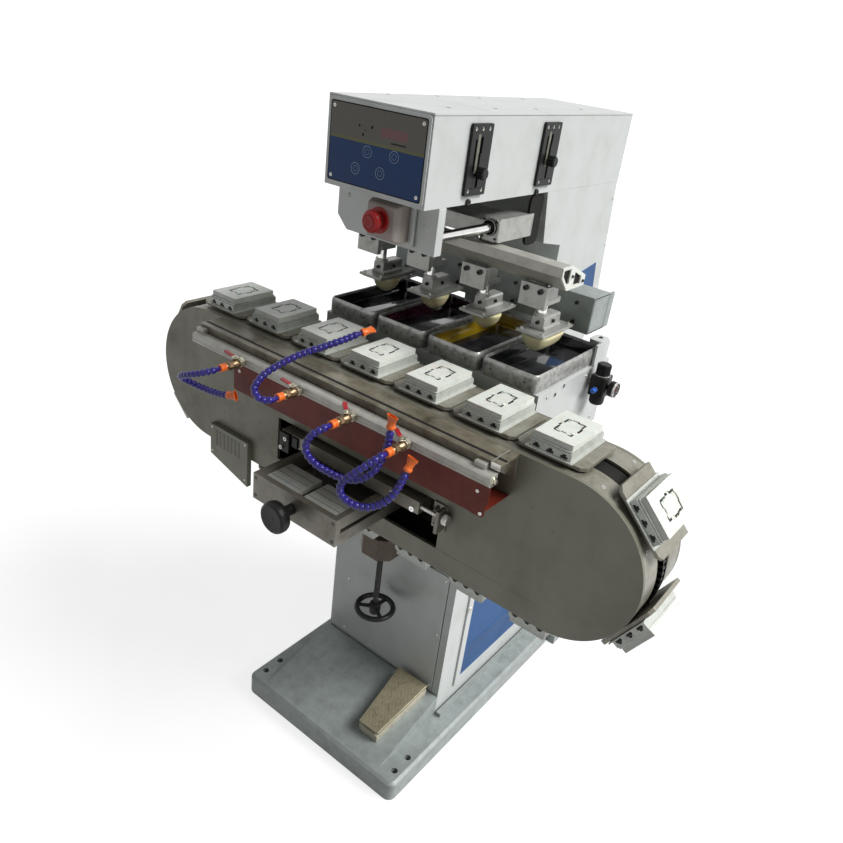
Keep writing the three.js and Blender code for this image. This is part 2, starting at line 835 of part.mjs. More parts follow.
// Spoked handwheel with the lift screw in its hub and a thrust collar at the screw's top.
function liftHandwheel() {
  const rim = turned([
    [wheelRadius - 2 * wheelRim, -wheelRim / 2],
    [wheelRadius - wheelRim / 2, -wheelRim],
    [wheelRadius, 0],
    [wheelRadius - wheelRim / 2, wheelRim],
    [wheelRadius - 2 * wheelRim, wheelRim / 2],
    [wheelRadius - 2 * wheelRim, -wheelRim / 2],
  ], 'z', screwX, screwY, wheelHeight, 28);
  const halfHub = wheelHubHeight / 2;
  const hub = rod('z', screwX, screwY, wheelHubRadius, wheelHeight - halfHub, wheelHeight + halfHub);
  const spokes = [];
  for (let i = 0; i < wheelSpokes; i += 1) {
    const spoke = block(
      0, wheelRadius - wheelRim, -wheelSpokeWidth / 2, wheelSpokeWidth / 2,
      -wheelSpokeThick / 2, wheelSpokeThick / 2,
    );
    spokes.push(spoke.rotate([0, 0, 90 + 360 * i / wheelSpokes]).translate([screwX, screwY, wheelHeight]));
  }
  const thrustTop = kneeTop + frameSlotClear + thrustThick;
  const screw = rod('z', screwX, screwY, screwRadius, wheelHeight, thrustTop + thrustCollar, 16);
  const collar = rod(
    'z', screwX, screwY, screwRadius + thrustCollar, thrustTop + seatGap, thrustTop + thrustCollar, 16,
  );
  return join(rim, hub, ...spokes, screw, collar);
}

// Box frame of the cross slide: open on top, with a slot along its right side and a floor.
function crossSlideFrame() {
  const outer = block(frameLeft, frameRight, frameFront, frameBack, frameBottom, frameTop);
  const inner = block(
    frameLeft + frameWall, frameRight - frameWall, frameFront + frameWall, frameBack - frameWall,
    frameBottom + frameFloor, frameTop + overrun,
  );
  const slotHeight = (frameBottom + frameTop) / 2;
  const slot = block(
    frameRight - frameSlotDepth, frameRight + overrun, frameFront + frameWall, frontPlateY,
    slotHeight - frameSlotHeight / 2, slotHeight + frameSlotHeight / 2,
  );
  const screwHole = rod(
    'y', knobX, knobHeight, leadScrewRadius + runGap, frameFront - overrun, frameFront + frameWall + overrun,
  );
  return cut(outer, inner, slot, screwHole);
}

// Round black knob with its neck and the lead screw behind it.
function inOutKnob() {
  const front = frameFront - seatGap - knobStandoff - knobThick;
  const rounded = knobProfileShares.map(([across, along]) => [knobRadius * across, knobThick * along]);
  const knob = turned([[0, 0], ...rounded, [0, knobThick]], 'y', knobX, knobHeight, front + knobThick, 24);
  const neck = rod('y', knobX, knobHeight, knobNeckRadius, front + knobThick / 2, frameFront - seatGap);
  const screwBack = frameBack - frameWall - overrun;
  const screw = rod('y', knobX, knobHeight, leadScrewRadius, frameFront - overrun, screwBack, 16);
  return join(knob, neck, screw);
}

// Saddle that slides along the box frame and carries the conveyor, with its front rail in the window.
function crossSaddle() {
  const bottom = frameTop + seatGap;
  const body = block(-saddleHalfWidth, saddleRight, saddleFront, saddleBack, bottom, saddleTop);
  const rail = block(
    -saddleRailHalfWidth, saddleRailHalfWidth, saddleRailFront, saddleFront + overrun,
    saddleRailBottom, saddleRailTop,
  );
  const nut = cut(
    block(
      knobX - saddleNutHalfWidth, knobX + saddleNutHalfWidth, saddleNutFront, saddleNutBack,
      knobHeight - saddleNutHalfWidth * saddleNutDropShare, bottom + overrun,
    ),
    rod('y', knobX, knobHeight, leadScrewRadius + runGap, saddleNutFront - overrun, saddleNutBack + overrun),
  );
  const bore = rod(
    'x', sideScrewY, sideScrewHeight, sideScrewRadius + runGap,
    saddleRailHalfWidth - 4 * slideTravel, saddleRailHalfWidth + overrun, 12,
  );
  return cut(join(body, rail, nut), bore);
}

// Chromed knob on the side screw.
function sideKnob() {
  const knobStart = sideBracketX + sideBracketThick + seatGap;
  const head = rod(
    'x', sideScrewY, sideScrewHeight, sideKnobRadius, knobStart, knobStart + sideKnobLength, 16,
  );
  const screw = rod(
    'x', sideScrewY, sideScrewHeight, sideScrewRadius,
    saddleRailHalfWidth - slideTravel, knobStart + overrun, 12,
  );
  return join(head, screw);
}

function ovalOutline(radius) {
  return [
    ...arc(ovalArcX, ovalCentreHeight, radius, -90, 90, ovalSteps),
    ...arc(-ovalArcX, ovalCentreHeight, radius, 90, 270, ovalSteps),
  ];
}

// A conveyor side plate with its rim band, drawn between two Y limits.
function ovalSide(plateFrom, plateTo, rimFrom, rimTo) {
  const plate = prism('y', ovalOutline(ovalRadius), plateFrom, plateTo);
  const band = cut(
    prism('y', ovalOutline(ovalRadius), rimFrom, rimTo),
    prism('y', ovalOutline(ovalRadius - rimThick), rimFrom - overrun, rimTo + overrun),
  );
  return join(plate, band);
}

// Front plate with its window, the seat on the saddle, the tie bars and the side screw's bracket.
function conveyorFrontPlate() {
  const plateBack = frontPlateY + plateThick;
  const side = ovalSide(frontPlateY, plateBack, frontPlateY + plateThick / 2, chainSlotFront);
  const window = block(
    windowLeft, windowRight, frontPlateY - overrun, plateBack + overrun, windowBottom, windowTop,
  );
  const rearFace = rearPlateY - plateThick - seatGap;
  const ties = [];
  for (const x of [-tieX, tieX]) {
    for (const rise of [-tieRise, tieRise]) {
      ties.push(rod('y', x, ovalCentreHeight + rise, tieRadius, plateBack - overrun / 2, rearFace, 12));
    }
  }
  const railOuter = chainInner - 2 * seatGap;
  const chainRail = cut(
    prism('y', ovalOutline(railOuter), chainSlotFront - rimThick, chainSlotBack - chainMargin),
    prism('y', ovalOutline(railOuter - rimThick), chainSlotFront - rimThick - overrun, chainSlotBack + overrun),
  );
  const seat = block(
    -saddleRailHalfWidth, saddleRailHalfWidth, plateBack - overrun / 2, rearFace,
    saddleTop + seatGap, saddleTop + seatGap + seatThick,
  );
  const bracket = cut(
    block(
      sideBracketX, sideBracketX + sideBracketThick,
      saddleRailFront - sideScrewRadius, frontPlateY + overrun / 2, sideBracketBottom, sideBracketTop,
    ),
    rod(
      'x', sideScrewY, sideScrewHeight, sideScrewRadius + runGap,
      sideBracketX - overrun, sideBracketX + sideBracketThick + overrun, 12,
    ),
  );
  return join(cut(side, window), chainRail, ...ties, seat, bracket);
}

function conveyorRearPlate() {
  const plateFront = rearPlateY - plateThick;
  const side = ovalSide(plateFront, rearPlateY, chainSlotBack, rearPlateY - plateThick / 2);
  const window = block(
    rearWindowLeft, rearWindowRight, plateFront - overrun, rearPlateY + overrun, windowBottom, windowTop,
  );
  return cut(side, window);
}

// Drive housing: a shallow folded box on the front plate, open behind, with upright louvres in its face.
function driveHousing() {
  const back = frontPlateY - seatGap;
  const front = back - driveDepth;
  const leftBottom = driveTop - driveLeftHeight;
  const rightBottom = driveTop - driveRightHeight;
  const outer = prism('y', [
    [driveLeft, driveTop],
    [driveLeft, leftBottom],
    [driveRight, rightBottom],
    [driveRight, driveTop],
  ], front, back);
  const inner = prism('y', [
    [driveLeft + driveWall, driveTop - driveWall],
    [driveLeft + driveWall, leftBottom + driveWall],
    [driveRight - driveWall, rightBottom + 2 * driveWall],
    [driveRight - driveWall, driveTop - driveWall],
  ], front + driveWall, back + overrun);
  const louvres = [];
  for (let i = 0; i < louvreCount; i += 1) {
    const x = driveLeft + louvreInset + i * louvrePitch;
    louvres.push(block(
      x, x + louvreWidth, front - overrun, front + driveWall + overrun, louvreTop - louvreHeight, louvreTop,
    ));
  }
  return cut(outer, inner, ...louvres);
}

// Front ledge with its groove and the gusset at its right end.
function conveyorLedge() {
  const back = frontPlateY - seatGap;
  const top = block(ledgeLeft, ledgeRight, ledgeFront, back, ledgeTop - ledgeThick, ledgeTop);
  const groove = block(
    ledgeLeft - overrun, ledgeRight + overrun,
    ledgeFront + ledgeGrooveInset, ledgeFront + ledgeGrooveInset + ledgeGrooveWidth,
    ledgeTop - ledgeGrooveDepth, ledgeTop + overrun,
  );
  const gussets = [ledgeLeft, gussetX].map((x) => prism('x', [
    [back, ledgeTop - ledgeThick / 2],
    [back, gussetBottom],
    [back - gussetThick, gussetBottom],
    [ledgeFront, ledgeTop - ledgeThick - gussetThick],
    [ledgeFront, ledgeTop - ledgeThick / 2],
  ], x, x + gussetThick));
  const lip = block(ledgeLeft, ledgeRight, back - gussetThick, back, gussetBottom, ledgeTop - ledgeThick / 2);
  return join(cut(top, groove), ...gussets, lip);
}

// Square manifold bar with tapped ports for the valves and a plug in its end.
function airManifold() {
  const height = manifoldBottom + manifoldSize / 2;
  const bar = block(
    manifoldLeft, manifoldRight, manifoldFront, manifoldBack, manifoldBottom, manifoldBottom + manifoldSize,
  );
  const ports = valveXs.map((x) => rod(
    'y', x, valveHeight, manifoldBore + runGap, manifoldFront - overrun, manifoldFront + manifoldSize / 2, 12,
  ));
  const middle = manifoldBack - manifoldSize / 2;
  const plug = rod('x', middle, height, plugRadius, manifoldRight - overrun, manifoldRight + plugThick, 12);
  const hooks = [ledgeLeft + gussetThick + seatGap, gussetX - manifoldSize - seatGap].map((x) => block(
    x, x + manifoldSize, manifoldBack - manifoldSize / 2, manifoldBack + manifoldSize,
    manifoldBottom + manifoldSize - overrun, ledgeTop - ledgeThick - seatGap,
  ));
  return join(cut(bar, ...ports), plug, ...hooks);
}

// Guard plate below the manifold, with a rounded lower right corner.
function guardPlate() {
  const top = manifoldBottom - seatGap;
  const outline = [
    [guardLeft, top],
    [guardLeft, guardBottom],
    ...arc(guardRight - guardCorner, guardBottom + guardCorner, guardCorner, -90, 0, 5),
    [guardRight, top],
  ];
  const sheet = prism('y', outline, guardFront, guardFront + guardThick);
  const shelf = guardBottom + guardCorner;
  const flange = block(guardLeft, guardRight, guardFront, frontPlateY - seatGap, shelf, shelf + guardThick);
  return join(sheet, flange);
}

// Ball valve on the manifold, its axis along Y, with the orange socket of the hose at its front.
function ballValve(x) {
  const nutFront = manifoldFront - valveNutLength;
  const spigot = rod('y', x, valveHeight, manifoldBore, nutFront, manifoldFront + manifoldSize / 3, 12);
  const nut = rod('y', x, valveHeight, valveNutRadius, nutFront, manifoldFront - seatGap, 6);
  const body = rod('y', x, valveHeight, valveBodyRadius, nutFront - valveBodyLength, nutFront + seatGap, 12);
  const ballProfile = ballProfileShares.map(([across, along]) => [
    valveBallRadius * across, valveBallRadius * along,
  ]);
  const ball = turned(ballProfile, 'y', x, valveHeight, valveBallY, 12);
  const collarBack = nutFront - valveBodyLength + seatGap;
  const collar = rod('y', x, valveHeight, valveCollarRadius, valveFront, collarBack, 12);
  const stem = rod('z', x, valveBallY, leverPinRadius, valveHeight, valveHeight + leverRise - seatGap, 10);
  return join(spigot, nut, body, ball, collar, stem);
}

function valveLever(x, turn) {
  const z = valveHeight + leverRise;
  const hub = rod('z', 0, 0, leverWidth / 2 + leverThick, z, z + leverThick, 12);
  const arm = block(0, leverLength, -leverWidth / 2, leverWidth / 2, z, z + leverThick);
  return join(hub, arm).rotate([0, 0, turn]).translate([x, valveBallY, 0]);
}

// Ribbed hoses. The route starts on the valve's axis; its points are chosen by hand.
const hoseRoutes = [
  [
    [-264.7, -455.6, 998], [-264.7, -470, 998], [-283, -488, 990], [-315, -496, 977], [-345, -492, 962],
    [-362, -478, 947], [-359, -461, 934], [-338, -449, 926], [-308, -442, 924], [-276, -440, 928],
    [-252, -440, 936],
  ],
  [
    [-88.7, -455.6, 998], [-88.7, -470, 998], [-104, -486, 1000], [-118, -488, 1016], [-116, -470, 1040],
    [-99, -440, 1064], [-76, -405, 1085], [-50, -370, 1101], [-32, -338, 1113], [-22, -312, 1121],
    [-16, -296, 1125],
  ],
  [
    [58.4, -455.6, 998], [58.4, -470, 998], [46, -487, 985], [36, -494, 965], [38, -494, 944],
    [57, -489, 927], [86, -481, 918], [118, -474, 916], [149, -466, 925], [168, -452, 944],
    [174, -436, 968], [176, -428, 990], [178, -426, 1012], [180, -427, 1036],
  ],
  [
    [196.9, -455.6, 998], [196.9, -470, 998], [183, -491, 981], [164, -506, 959], [148, -513, 936],
    [147, -512, 913], [163, -502, 896], [189, -488, 893], [213, -474, 906], [229, -462, 930],
    [237, -452, 957], [241, -444, 981],
  ],
];

function hosePath(route) {
  const points = route.map(([x, y, z]) => new THREE.Vector3(x, y, z));
  return new THREE.CatmullRomCurve3(points, false, 'centripetal');
}

// Rings of eight points along the hose: two for each rib outside, one in five ribs for the bore.
function ribbedHose(route) {
  const sides = 8;
  const path = hosePath(route);
  const length = path.getLength();
  const ribs = Math.round((length - 4 * hoseRadius) / hoseRibPitch);
  const straight = (length - ribs * hoseRibPitch) / 2;
  const outer = [[0, hoseRadius]];
  for (let i = 0; i < ribs; i += 1) {
    outer.push([straight + (i + hoseRibStartShare) * hoseRibPitch, hoseRadius]);
    outer.push([straight + (i + hoseRibEndShare) * hoseRibPitch, hoseRibRadius]);
  }
  outer.push([length - straight / 2, hoseRadius]);
  outer.push([length, hoseRadius]);
  const inner = [[length, hoseBoreRadius]];
  for (let i = ribs; i > 0; i -= hoseBoreStep) {
    inner.push([straight + (i - 1 / 2) * hoseRibPitch, hoseBoreRadius]);
  }
  inner.push([0, hoseBoreRadius]);
  const rings = [...outer, ...inner];
  const positions = [];
  let across = new THREE.Vector3(1, 0, 0);
  const frames = rings
    .map(([along, radius], order) => ({ along, radius, order }))
    .sort((a, b) => a.along - b.along);
  for (const ring of frames) {
    const share = Math.min(Math.max(ring.along / length, 0), 1);
    ring.centre = path.getPointAt(share);
    const tangent = path.getTangentAt(share);
    across = across.clone().addScaledVector(tangent, -across.dot(tangent)).normalize();
    ring.across = across;
    ring.rise = new THREE.Vector3().crossVectors(tangent, across);
  }
  frames.sort((a, b) => a.order - b.order);
  for (const ring of frames) {
    for (let i = 0; i < sides; i += 1) {
      const angle = 360 * degree * i / sides;
      const point = ring.centre.clone()
        .addScaledVector(ring.across, ring.radius * Math.cos(angle))
        .addScaledVector(ring.rise, ring.radius * Math.sin(angle));
      positions.push(point.x, point.y, point.z);
    }
  }
  const index = [];
  for (let r = 0; r < rings.length; r += 1) {
    const next = (r + 1) % rings.length;
    for (let i = 0; i < sides; i += 1) {
      const j = (i + 1) % sides;
      index.push(r * sides + i, r * sides + j, next * sides + j);
      index.push(r * sides + i, next * sides + j, next * sides + i);
    }
  }
  const geometry = new THREE.BufferGeometry();
  geometry.setAttribute('position', new THREE.Float32BufferAttribute(positions, 3));
  geometry.setIndex(index);
  return { body: solid(geometry), path, length };
}

// Least free distance of a hose to itself, away from its own neighbouring stretch.
function leastSelfGap(path, length) {
  const count = Math.ceil(length / hoseRadius);
  const points = path.getSpacedPoints(count);
  const apart = Math.ceil(6 * hoseRadius / (length / count));
  let least = Infinity;
  for (let i = 0; i <= count; i += 1) {
    for (let j = i + apart; j <= count; j += 1) {
      least = Math.min(least, points[i].distanceTo(points[j]) - 2 * hoseRibRadius);
    }
  }
  return least;
}

// Flat flared nozzle over the hose's far end, its bore open into its mouth.
const nozzleSides = 12;

function nozzleLoft(path, sections) {
  const end = path.getPointAt(1);
  const tangent = path.getTangentAt(1);
  const side = new THREE.Vector3(1, 0, 0);
  side.addScaledVector(tangent, -side.dot(tangent)).normalize();
  const flat = new THREE.Vector3().crossVectors(tangent, side);
  const positions = [];
  const index = [];
  for (const [along, wide, thin] of sections) {
    for (let i = 0; i < nozzleSides; i += 1) {
      const angle = 360 * degree * i / nozzleSides;
      const point = end.clone()
        .addScaledVector(tangent, along)
        .addScaledVector(side, wide * Math.cos(angle))
        .addScaledVector(flat, thin * Math.sin(angle));
      positions.push(point.x, point.y, point.z);
    }
  }
  for (let r = 0; r < sections.length - 1; r += 1) {
    const low = r * nozzleSides;
    const high = low + nozzleSides;
    for (let i = 0; i < nozzleSides; i += 1) {
      const j = (i + 1) % nozzleSides;
      index.push(low + i, low + j, high + j);
      index.push(low + i, high + j, high + i);
    }
  }
  const last = (sections.length - 1) * nozzleSides;
  for (let i = 1; i < nozzleSides - 1; i += 1) {
    index.push(0, i + 1, i);
    index.push(last, last + i, last + i + 1);
  }
  const geometry = new THREE.BufferGeometry();
  geometry.setAttribute('position', new THREE.Float32BufferAttribute(positions, 3));
  geometry.setIndex(index);
  return solid(geometry);
}

function flaredNozzle(path) {
  const neck = hoseRadius + nozzleWall;
  const throat = nozzleLength / 3;
  const outer = nozzleLoft(path, [
    [-nozzleWall, neck, neck],
    [throat, neck, neck],
    [nozzleLength, nozzleMouthWidth / 2, nozzleMouthThick / 2],
  ]);
  const inner = nozzleLoft(path, [
    [-overrun, hoseBoreRadius, hoseBoreRadius],
    [throat, hoseBoreRadius, hoseBoreRadius],
    [nozzleLength + seatGap, nozzleMouthWidth / 2 - nozzleWall, nozzleMouthThick / 2 - nozzleWall],
  ]);
  return { outer, inner };
}

// One station at the origin: Z is the distance from the arc's centre.
function station(withJig) {
  const slat = prism('z', [
    [-slatWidth / 2, slatBack],
    [-slatWidth / 2, slatFront + slatCorner],
    [-slatWidth / 2 + slatCorner, slatFront],
    [slatWidth / 2 - slatCorner, slatFront],
    [slatWidth / 2, slatFront + slatCorner],
    [slatWidth / 2, slatBack],
  ], slatRadius, blockRadius);
  if (!withJig) {
    return slat;
  }
  const slots = [];
  for (let i = 0; i < blockSlots; i += 1) {
    const x = (i - (blockSlots - 1) / 2) * blockWidth / blockSlots;
    slots.push(block(
      x - blockSlotWidth / 2, x + blockSlotWidth / 2, blockFront - overrun, blockFront + blockSlotDepth,
      blockRadius + (blockHeight - blockSlotHeight) / 2, blockRadius + (blockHeight + blockSlotHeight) / 2,
    ));
  }
  const base = cut(
    block(-blockWidth / 2, blockWidth / 2, blockFront, blockBack, blockRadius - seatGap, jigRadius),
    ...slots,
  );
  const jigCentre = (jigFront + jigBack) / 2;
  const jig = cut(
    block(-jigWidth / 2, jigWidth / 2, jigFront, jigBack, jigRadius - seatGap, stationTop),
    block(
      -jigRecessWidth / 2, jigRecessWidth / 2, jigCentre - jigRecessLength / 2, jigCentre + jigRecessLength / 2,
      stationTop - jigRecess, stationTop + overrun,
    ),
  );
  return join(slat, base, jig);
}

// A straight run of stations joined by the chain below them.
function straightRun(side) {
  const stations = [];
  for (let i = 0; i < straightStations; i += 1) {
    stations.push(station(true).translate([topFirstX + i * stationPitch, 0, 0]));
  }
  const lastX = topFirstX + (straightStations - 1) * stationPitch;
  const chain = block(
    topFirstX - slatWidth / 4, lastX + slatWidth / 4,
    chainSlotFront + chainMargin, chainSlotBack - chainMargin, chainInner, chainOuter,
  );
  return join(chain, ...stations).rotate([0, side > 0 ? 0 : 180, 0]).translate([0, 0, ovalCentreHeight]);
}

// The stations that go round one end, joined by a stretch of chain. Angles are from the top.
function endRun(side, angles, jigs) {
  const half = Math.atan(slatWidth / 4 / slatRadius) / degree;
  const first = Math.min(...angles) - half;
  const last = Math.max(...angles) + half;
  const chain = prism('y', [
    ...arc(0, 0, chainOuter, 90 - last, 90 - first, ovalSteps),
    ...arc(0, 0, chainInner, 90 - first, 90 - last, ovalSteps),
  ], chainSlotFront + chainMargin, chainSlotBack - chainMargin);
  const bodies = angles.map((angle, i) => station(jigs[i]).rotate([0, angle, 0]));
  const run = join(chain, ...bodies);
  const faced = side > 0 ? run : run.mirror([1, 0, 0]);
  return faced.translate([side * ovalArcX, 0, ovalCentreHeight]);
}

// Bed housing: floor, side wings, front, top and an ear at each side that holds the trays.
function bedHousing() {
  const bottom = pedestalTop + seatGap;
  const earTop = bedTop + earRise + earThick;
  const outer = block(-bedHalfWidth, bedHalfWidth, bedFront, bedBack, bottom, bedTop);
  const inner = block(
    -bedHalfWidth + bedWall, bedHalfWidth - bedWall, bedFront + bedWall, bedBack + overrun,
    bottom + bedFloor, bedTop - bedWall,
  );
  const holes = wingHoles.map(({ inset, drop }) => rod(
    'x', bedFront + inset, bedTop - drop, bedHoleRadius, -bedHalfWidth - overrun, bedHalfWidth + overrun, 12,
  ));
  const ears = [-1, 1].map((side) => join(
    block(
      ...between(side * (bedHalfWidth - bedWall), side * bedHalfWidth),
      earFront, earBack, bedTop - overrun, earTop - earThick / 2,
    ),
    prism('z', roundedOutline(
      ...between(side * (bedHalfWidth - earWidth), side * bedHalfWidth),
      earFront + earWidth / 2, earBack, earWidth / 3,
    ), earTop - earThick, earTop),
  ));
  return join(cut(outer, inner, ...holes), ...ears);
}

// Open ink tray with a rounded rim and a sunk well, standing on the bed.
function inkTray(x) {
  const x0 = x - trayWidth / 2;
  const x1 = x + trayWidth / 2;
  const outer = chamferedPrism(
    'z', roundedOutline(x0, x1, trayFront, trayBack, trayCorner), trayBottom, trayRim, trayShoulder / 2,
  );
  const well = prism(
    'z',
    roundedOutline(
      x0 + trayWall, x1 - trayWall, trayFront + trayWall, trayBack - trayWall, trayCorner - trayWall / 2,
    ),
    trayBottom + trayFloor, trayRim + overrun,
  );
  return cut(outer, well);
}

// Column: a channel of two cut side plates, a back plate, a front wall for the shafts and a foot.
function machineColumn() {
  const top = columnTop - seatGap;
  const foot = bedTop + seatGap;
  const ground = pedestalTop + seatGap;
  const outline = [
    [columnFrontY, top],
    [columnChinY, columnChinHeight],
    [columnStepY, columnStepHeight],
    [columnStepY, foot],
    [columnFootY, foot],
    [columnFootY, ground],
    [columnRearFootY, ground],
    [columnRearLowY, columnRearLow],
    [columnRearTopY, top],
  ];
  const whole = prism('x', outline, -columnHalfWidth, columnHalfWidth);
  const inside = prism('x', [
    [columnFrontY + columnWall, top + overrun],
    [columnChinY + columnWall, columnChinHeight + columnWall],
    [columnStepY + columnWall, columnStepHeight + columnWall],
    [columnStepY + columnWall, foot + columnWall],
    [columnFootY + columnWall, foot + columnWall],
    [columnFootY + columnWall, ground + columnWall],
    [columnRearFootY - columnWall, ground + columnWall],
    [columnRearLowY - columnWall, columnRearLow],
    [columnRearTopY - columnWall, top + overrun],
  ], -columnHalfWidth + columnWall, columnHalfWidth - columnWall);
  const shaftHoles = [-shaftX, shaftX].map((x) => rod(
    'y', x, shaftHeight, shaftRadius + seatGap, columnFrontY - overrun, columnChinY + 2 * columnWall,
  ));
  const shaftBosses = [-1, 1].map((side) => cut(
    block(
      ...between(side * (columnHalfWidth - columnWall / 2), side * (shaftX - 2 * shaftRadius)),
      columnChinY, shaftBack - overrun, shaftHeight - 2 * shaftRadius, shaftHeight + 2 * shaftRadius,
    ),
    rod('y', side * shaftX, shaftHeight, shaftRadius + seatGap, columnChinY - overrun, shaftBack + overrun),
  ));
  return join(cut(whole, inside, ...shaftHoles), ...shaftBosses);
}

// Rear cross beam: a rectangular tube with a seat plate against the column.
function rearCrossbeam() {
  const tube = cut(
    block(-beamHalfWidth, beamHalfWidth, beamFront, beamBack, beamBottom, beamTop),
    block(
      -beamHalfWidth - overrun, beamHalfWidth + overrun, beamFront + beamWall, beamBack - beamWall,
      beamBottom + beamWall, beamTop - beamWall,
    ),
  );
  const seat = block(
    -beamSeatHalfWidth, beamSeatHalfWidth, beamBack - beamWall / 2, columnStepY - seatGap,
    beamBottom, beamTop,
  );
  return join(tube, seat);
}

// Head shell: a hollow box, open below in its middle and slotted at the right for the slider knobs.
function headShell() {
  const x = columnHalfWidth;
  const outer = block(-x, x, headFront, headBack, columnTop, headTop);
  const inner = block(
    -x + headWall, x - headWall, headFront + headWall, headBack - headWall,
    columnTop + headWall, headTop - headWall,
  );
  const mouth = block(
    -x + 3 * headWall, x - 3 * headWall, headFloorFront, headFloorBack,
    columnTop - overrun, columnTop + headWall + overrun,
  );
  const knobSlots = sliderYs.map((y) => block(
    x - headWall - overrun, x + overrun, y - sliderSlotWidth / 2, y + sliderSlotWidth / 2,
    sliderSlotBottom, sliderSlotTop,
  ));
  return cut(outer, inner, mouth, ...knobSlots);
}

function controlPanel() {
  const back = headFront - seatGap;
  return chamferedPrism(
    'y',
    roundedOutline(-panelHalfWidth, panelHalfWidth, panelBottom, panelTop, panelThick * 2, 3),
    back - panelThick, back, panelThick / 4,
  );
}

// Apron plate with the emergency stop's box and the sockets of the guide shafts.
function apronPlate() {
  const top = columnTop - seatGap;
  const back = apronFront + apronThick;
  const plate = prism('y', [
    [-apronHalfWidth, top],
    [-apronHalfWidth, apronBottom + apronChamfer],
    [-apronHalfWidth + apronChamfer, apronBottom],
    [apronHalfWidth, apronBottom],
    [apronHalfWidth, top],
  ], apronFront, back);
  const box = chamferedPrism(
    'y', [
      [stopBoxLeft, stopBoxBottom],
      [stopBoxRight, stopBoxBottom],
      [stopBoxRight, stopBoxTop],
      [stopBoxLeft, stopBoxTop],
    ], stopBoxFront, apronFront + overrun, trayShoulder / 2,
  );
  const stemBore = rod(
    'y', stopX, stopHeight, stopStemRadius + runGap, stopBoxFront - overrun,
    stopBoxFront + stopTravel + stopStandoff + overrun, 16,
  );
  const sockets = [-shaftX, shaftX].map((x) => rod(
    'y', x, shaftHeight, shaftRadius + seatGap, apronFront + apronThick / 3, back + overrun,
  ));
  return cut(join(plate, box), stemBore, ...sockets);
}

function guideShaft(x) {
  return rod('y', x, shaftHeight, shaftRadius, apronFront + apronThick / 3 + seatGap, shaftBack);
}

// Mushroom button with its stem in the box.
function stopButton() {
  const stemBack = stopBoxFront + stopStandoff;
  const headBackY = stopBoxFront - stopStandoff;
  const crown = stopProfileShares.map(([across, along]) => [stopHeadRadius * across, stopHeadThick * along]);
  const head = turned([[0, 0], ...crown], 'y', stopX, stopHeight, headBackY, 24);
  const stem = rod('y', stopX, stopHeight, stopStemRadius, headBackY - overrun, stemBack, 16);
  return join(head, stem);
}

// Slider plate with its slot, two holes above and two below.
function sliderPlate(y) {
  const x = columnHalfWidth + seatGap;
  const plate = block(x, x + sliderThick, y - sliderWidth / 2, y + sliderWidth / 2, sliderBottom, sliderTop);
  const slot = block(
    x - overrun, x + sliderThick + overrun, y - sliderSlotWidth / 2, y + sliderSlotWidth / 2,
    sliderSlotBottom, sliderSlotTop,
  );
  const holes = [];
  for (const side of [-1, 1]) {
    const across = y + side * sliderWidth / 3;
    for (const z of [sliderBottom + 2 * sliderHoleRadius, sliderTop - 2 * sliderHoleRadius]) {
      holes.push(rod('x', across, z, sliderHoleRadius, x - overrun, x + sliderThick + overrun, 10));
    }
  }
  return cut(plate, slot, ...holes);
}

// Knob in the slot: a stem, a round grip and a pointer bar.
function sliderKnob(y, z) {
  const face = columnHalfWidth + sliderThick + 2 * seatGap;
  const stem = rod(
    'x', y, z, sliderSlotWidth / 2 - runGap, columnHalfWidth - headWall - sliderSlotWidth, face + overrun, 10,
  );
  const foot = block(
    columnHalfWidth - headWall - sliderSlotWidth, columnHalfWidth - headWall - runGap,
    y - sliderSlotWidth, y + sliderSlotWidth, z - sliderSlotWidth, z + sliderSlotWidth,
  );
  const grip = rod('x', y, z, sliderKnobRadius, face, face + sliderKnobLength, 16);
  const pointer = block(
    face, face + sliderThick, y - sliderSlotWidth, y + sliderSlotWidth, z, z + sliderPointerLength,
  );
  return join(stem, foot, grip, pointer);
}

// Carriage: two bearing blocks on the shafts, a bridge between them and two posts that the pad beam slides on.
function carriageBlock() {
  const parts = [];
  for (const x of [-shaftX, shaftX]) {
    const body = chamferedPrism('y', [
      [x - bearingWidth / 2, carriageBottom],
      [x + bearingWidth / 2, carriageBottom],
      [x + bearingWidth / 2, carriageTop],
      [x - bearingWidth / 2, carriageTop],
    ], carriageFront, carriageBack, sealThick / 2);
    const seal = rod('y', x, shaftHeight, sealRadius, carriageFront - sealThick, carriageFront + overrun);
    parts.push(body, seal);
  }
  const bridge = block(
    -shaftX, shaftX, carriageFront + sealThick, carriageBack - sealThick,
    padBeamTop + padStrokeRoom, carriageTop - bridgeDrop,
  );
  const bores = [-shaftX, shaftX].map((x) => rod(
    'y', x, shaftHeight, shaftRadius + runGap, carriageFront - sealThick - overrun, carriageBack + overrun,
  ));
  const posts = [-strokePostX, strokePostX].map((x) => rod(
    'z', x, strokePostY, strokePostRadius, padBeamBottom, padBeamTop + padStrokeRoom + overrun, 16,
  ));
  return cut(join(...parts, bridge, ...posts), ...bores);
}

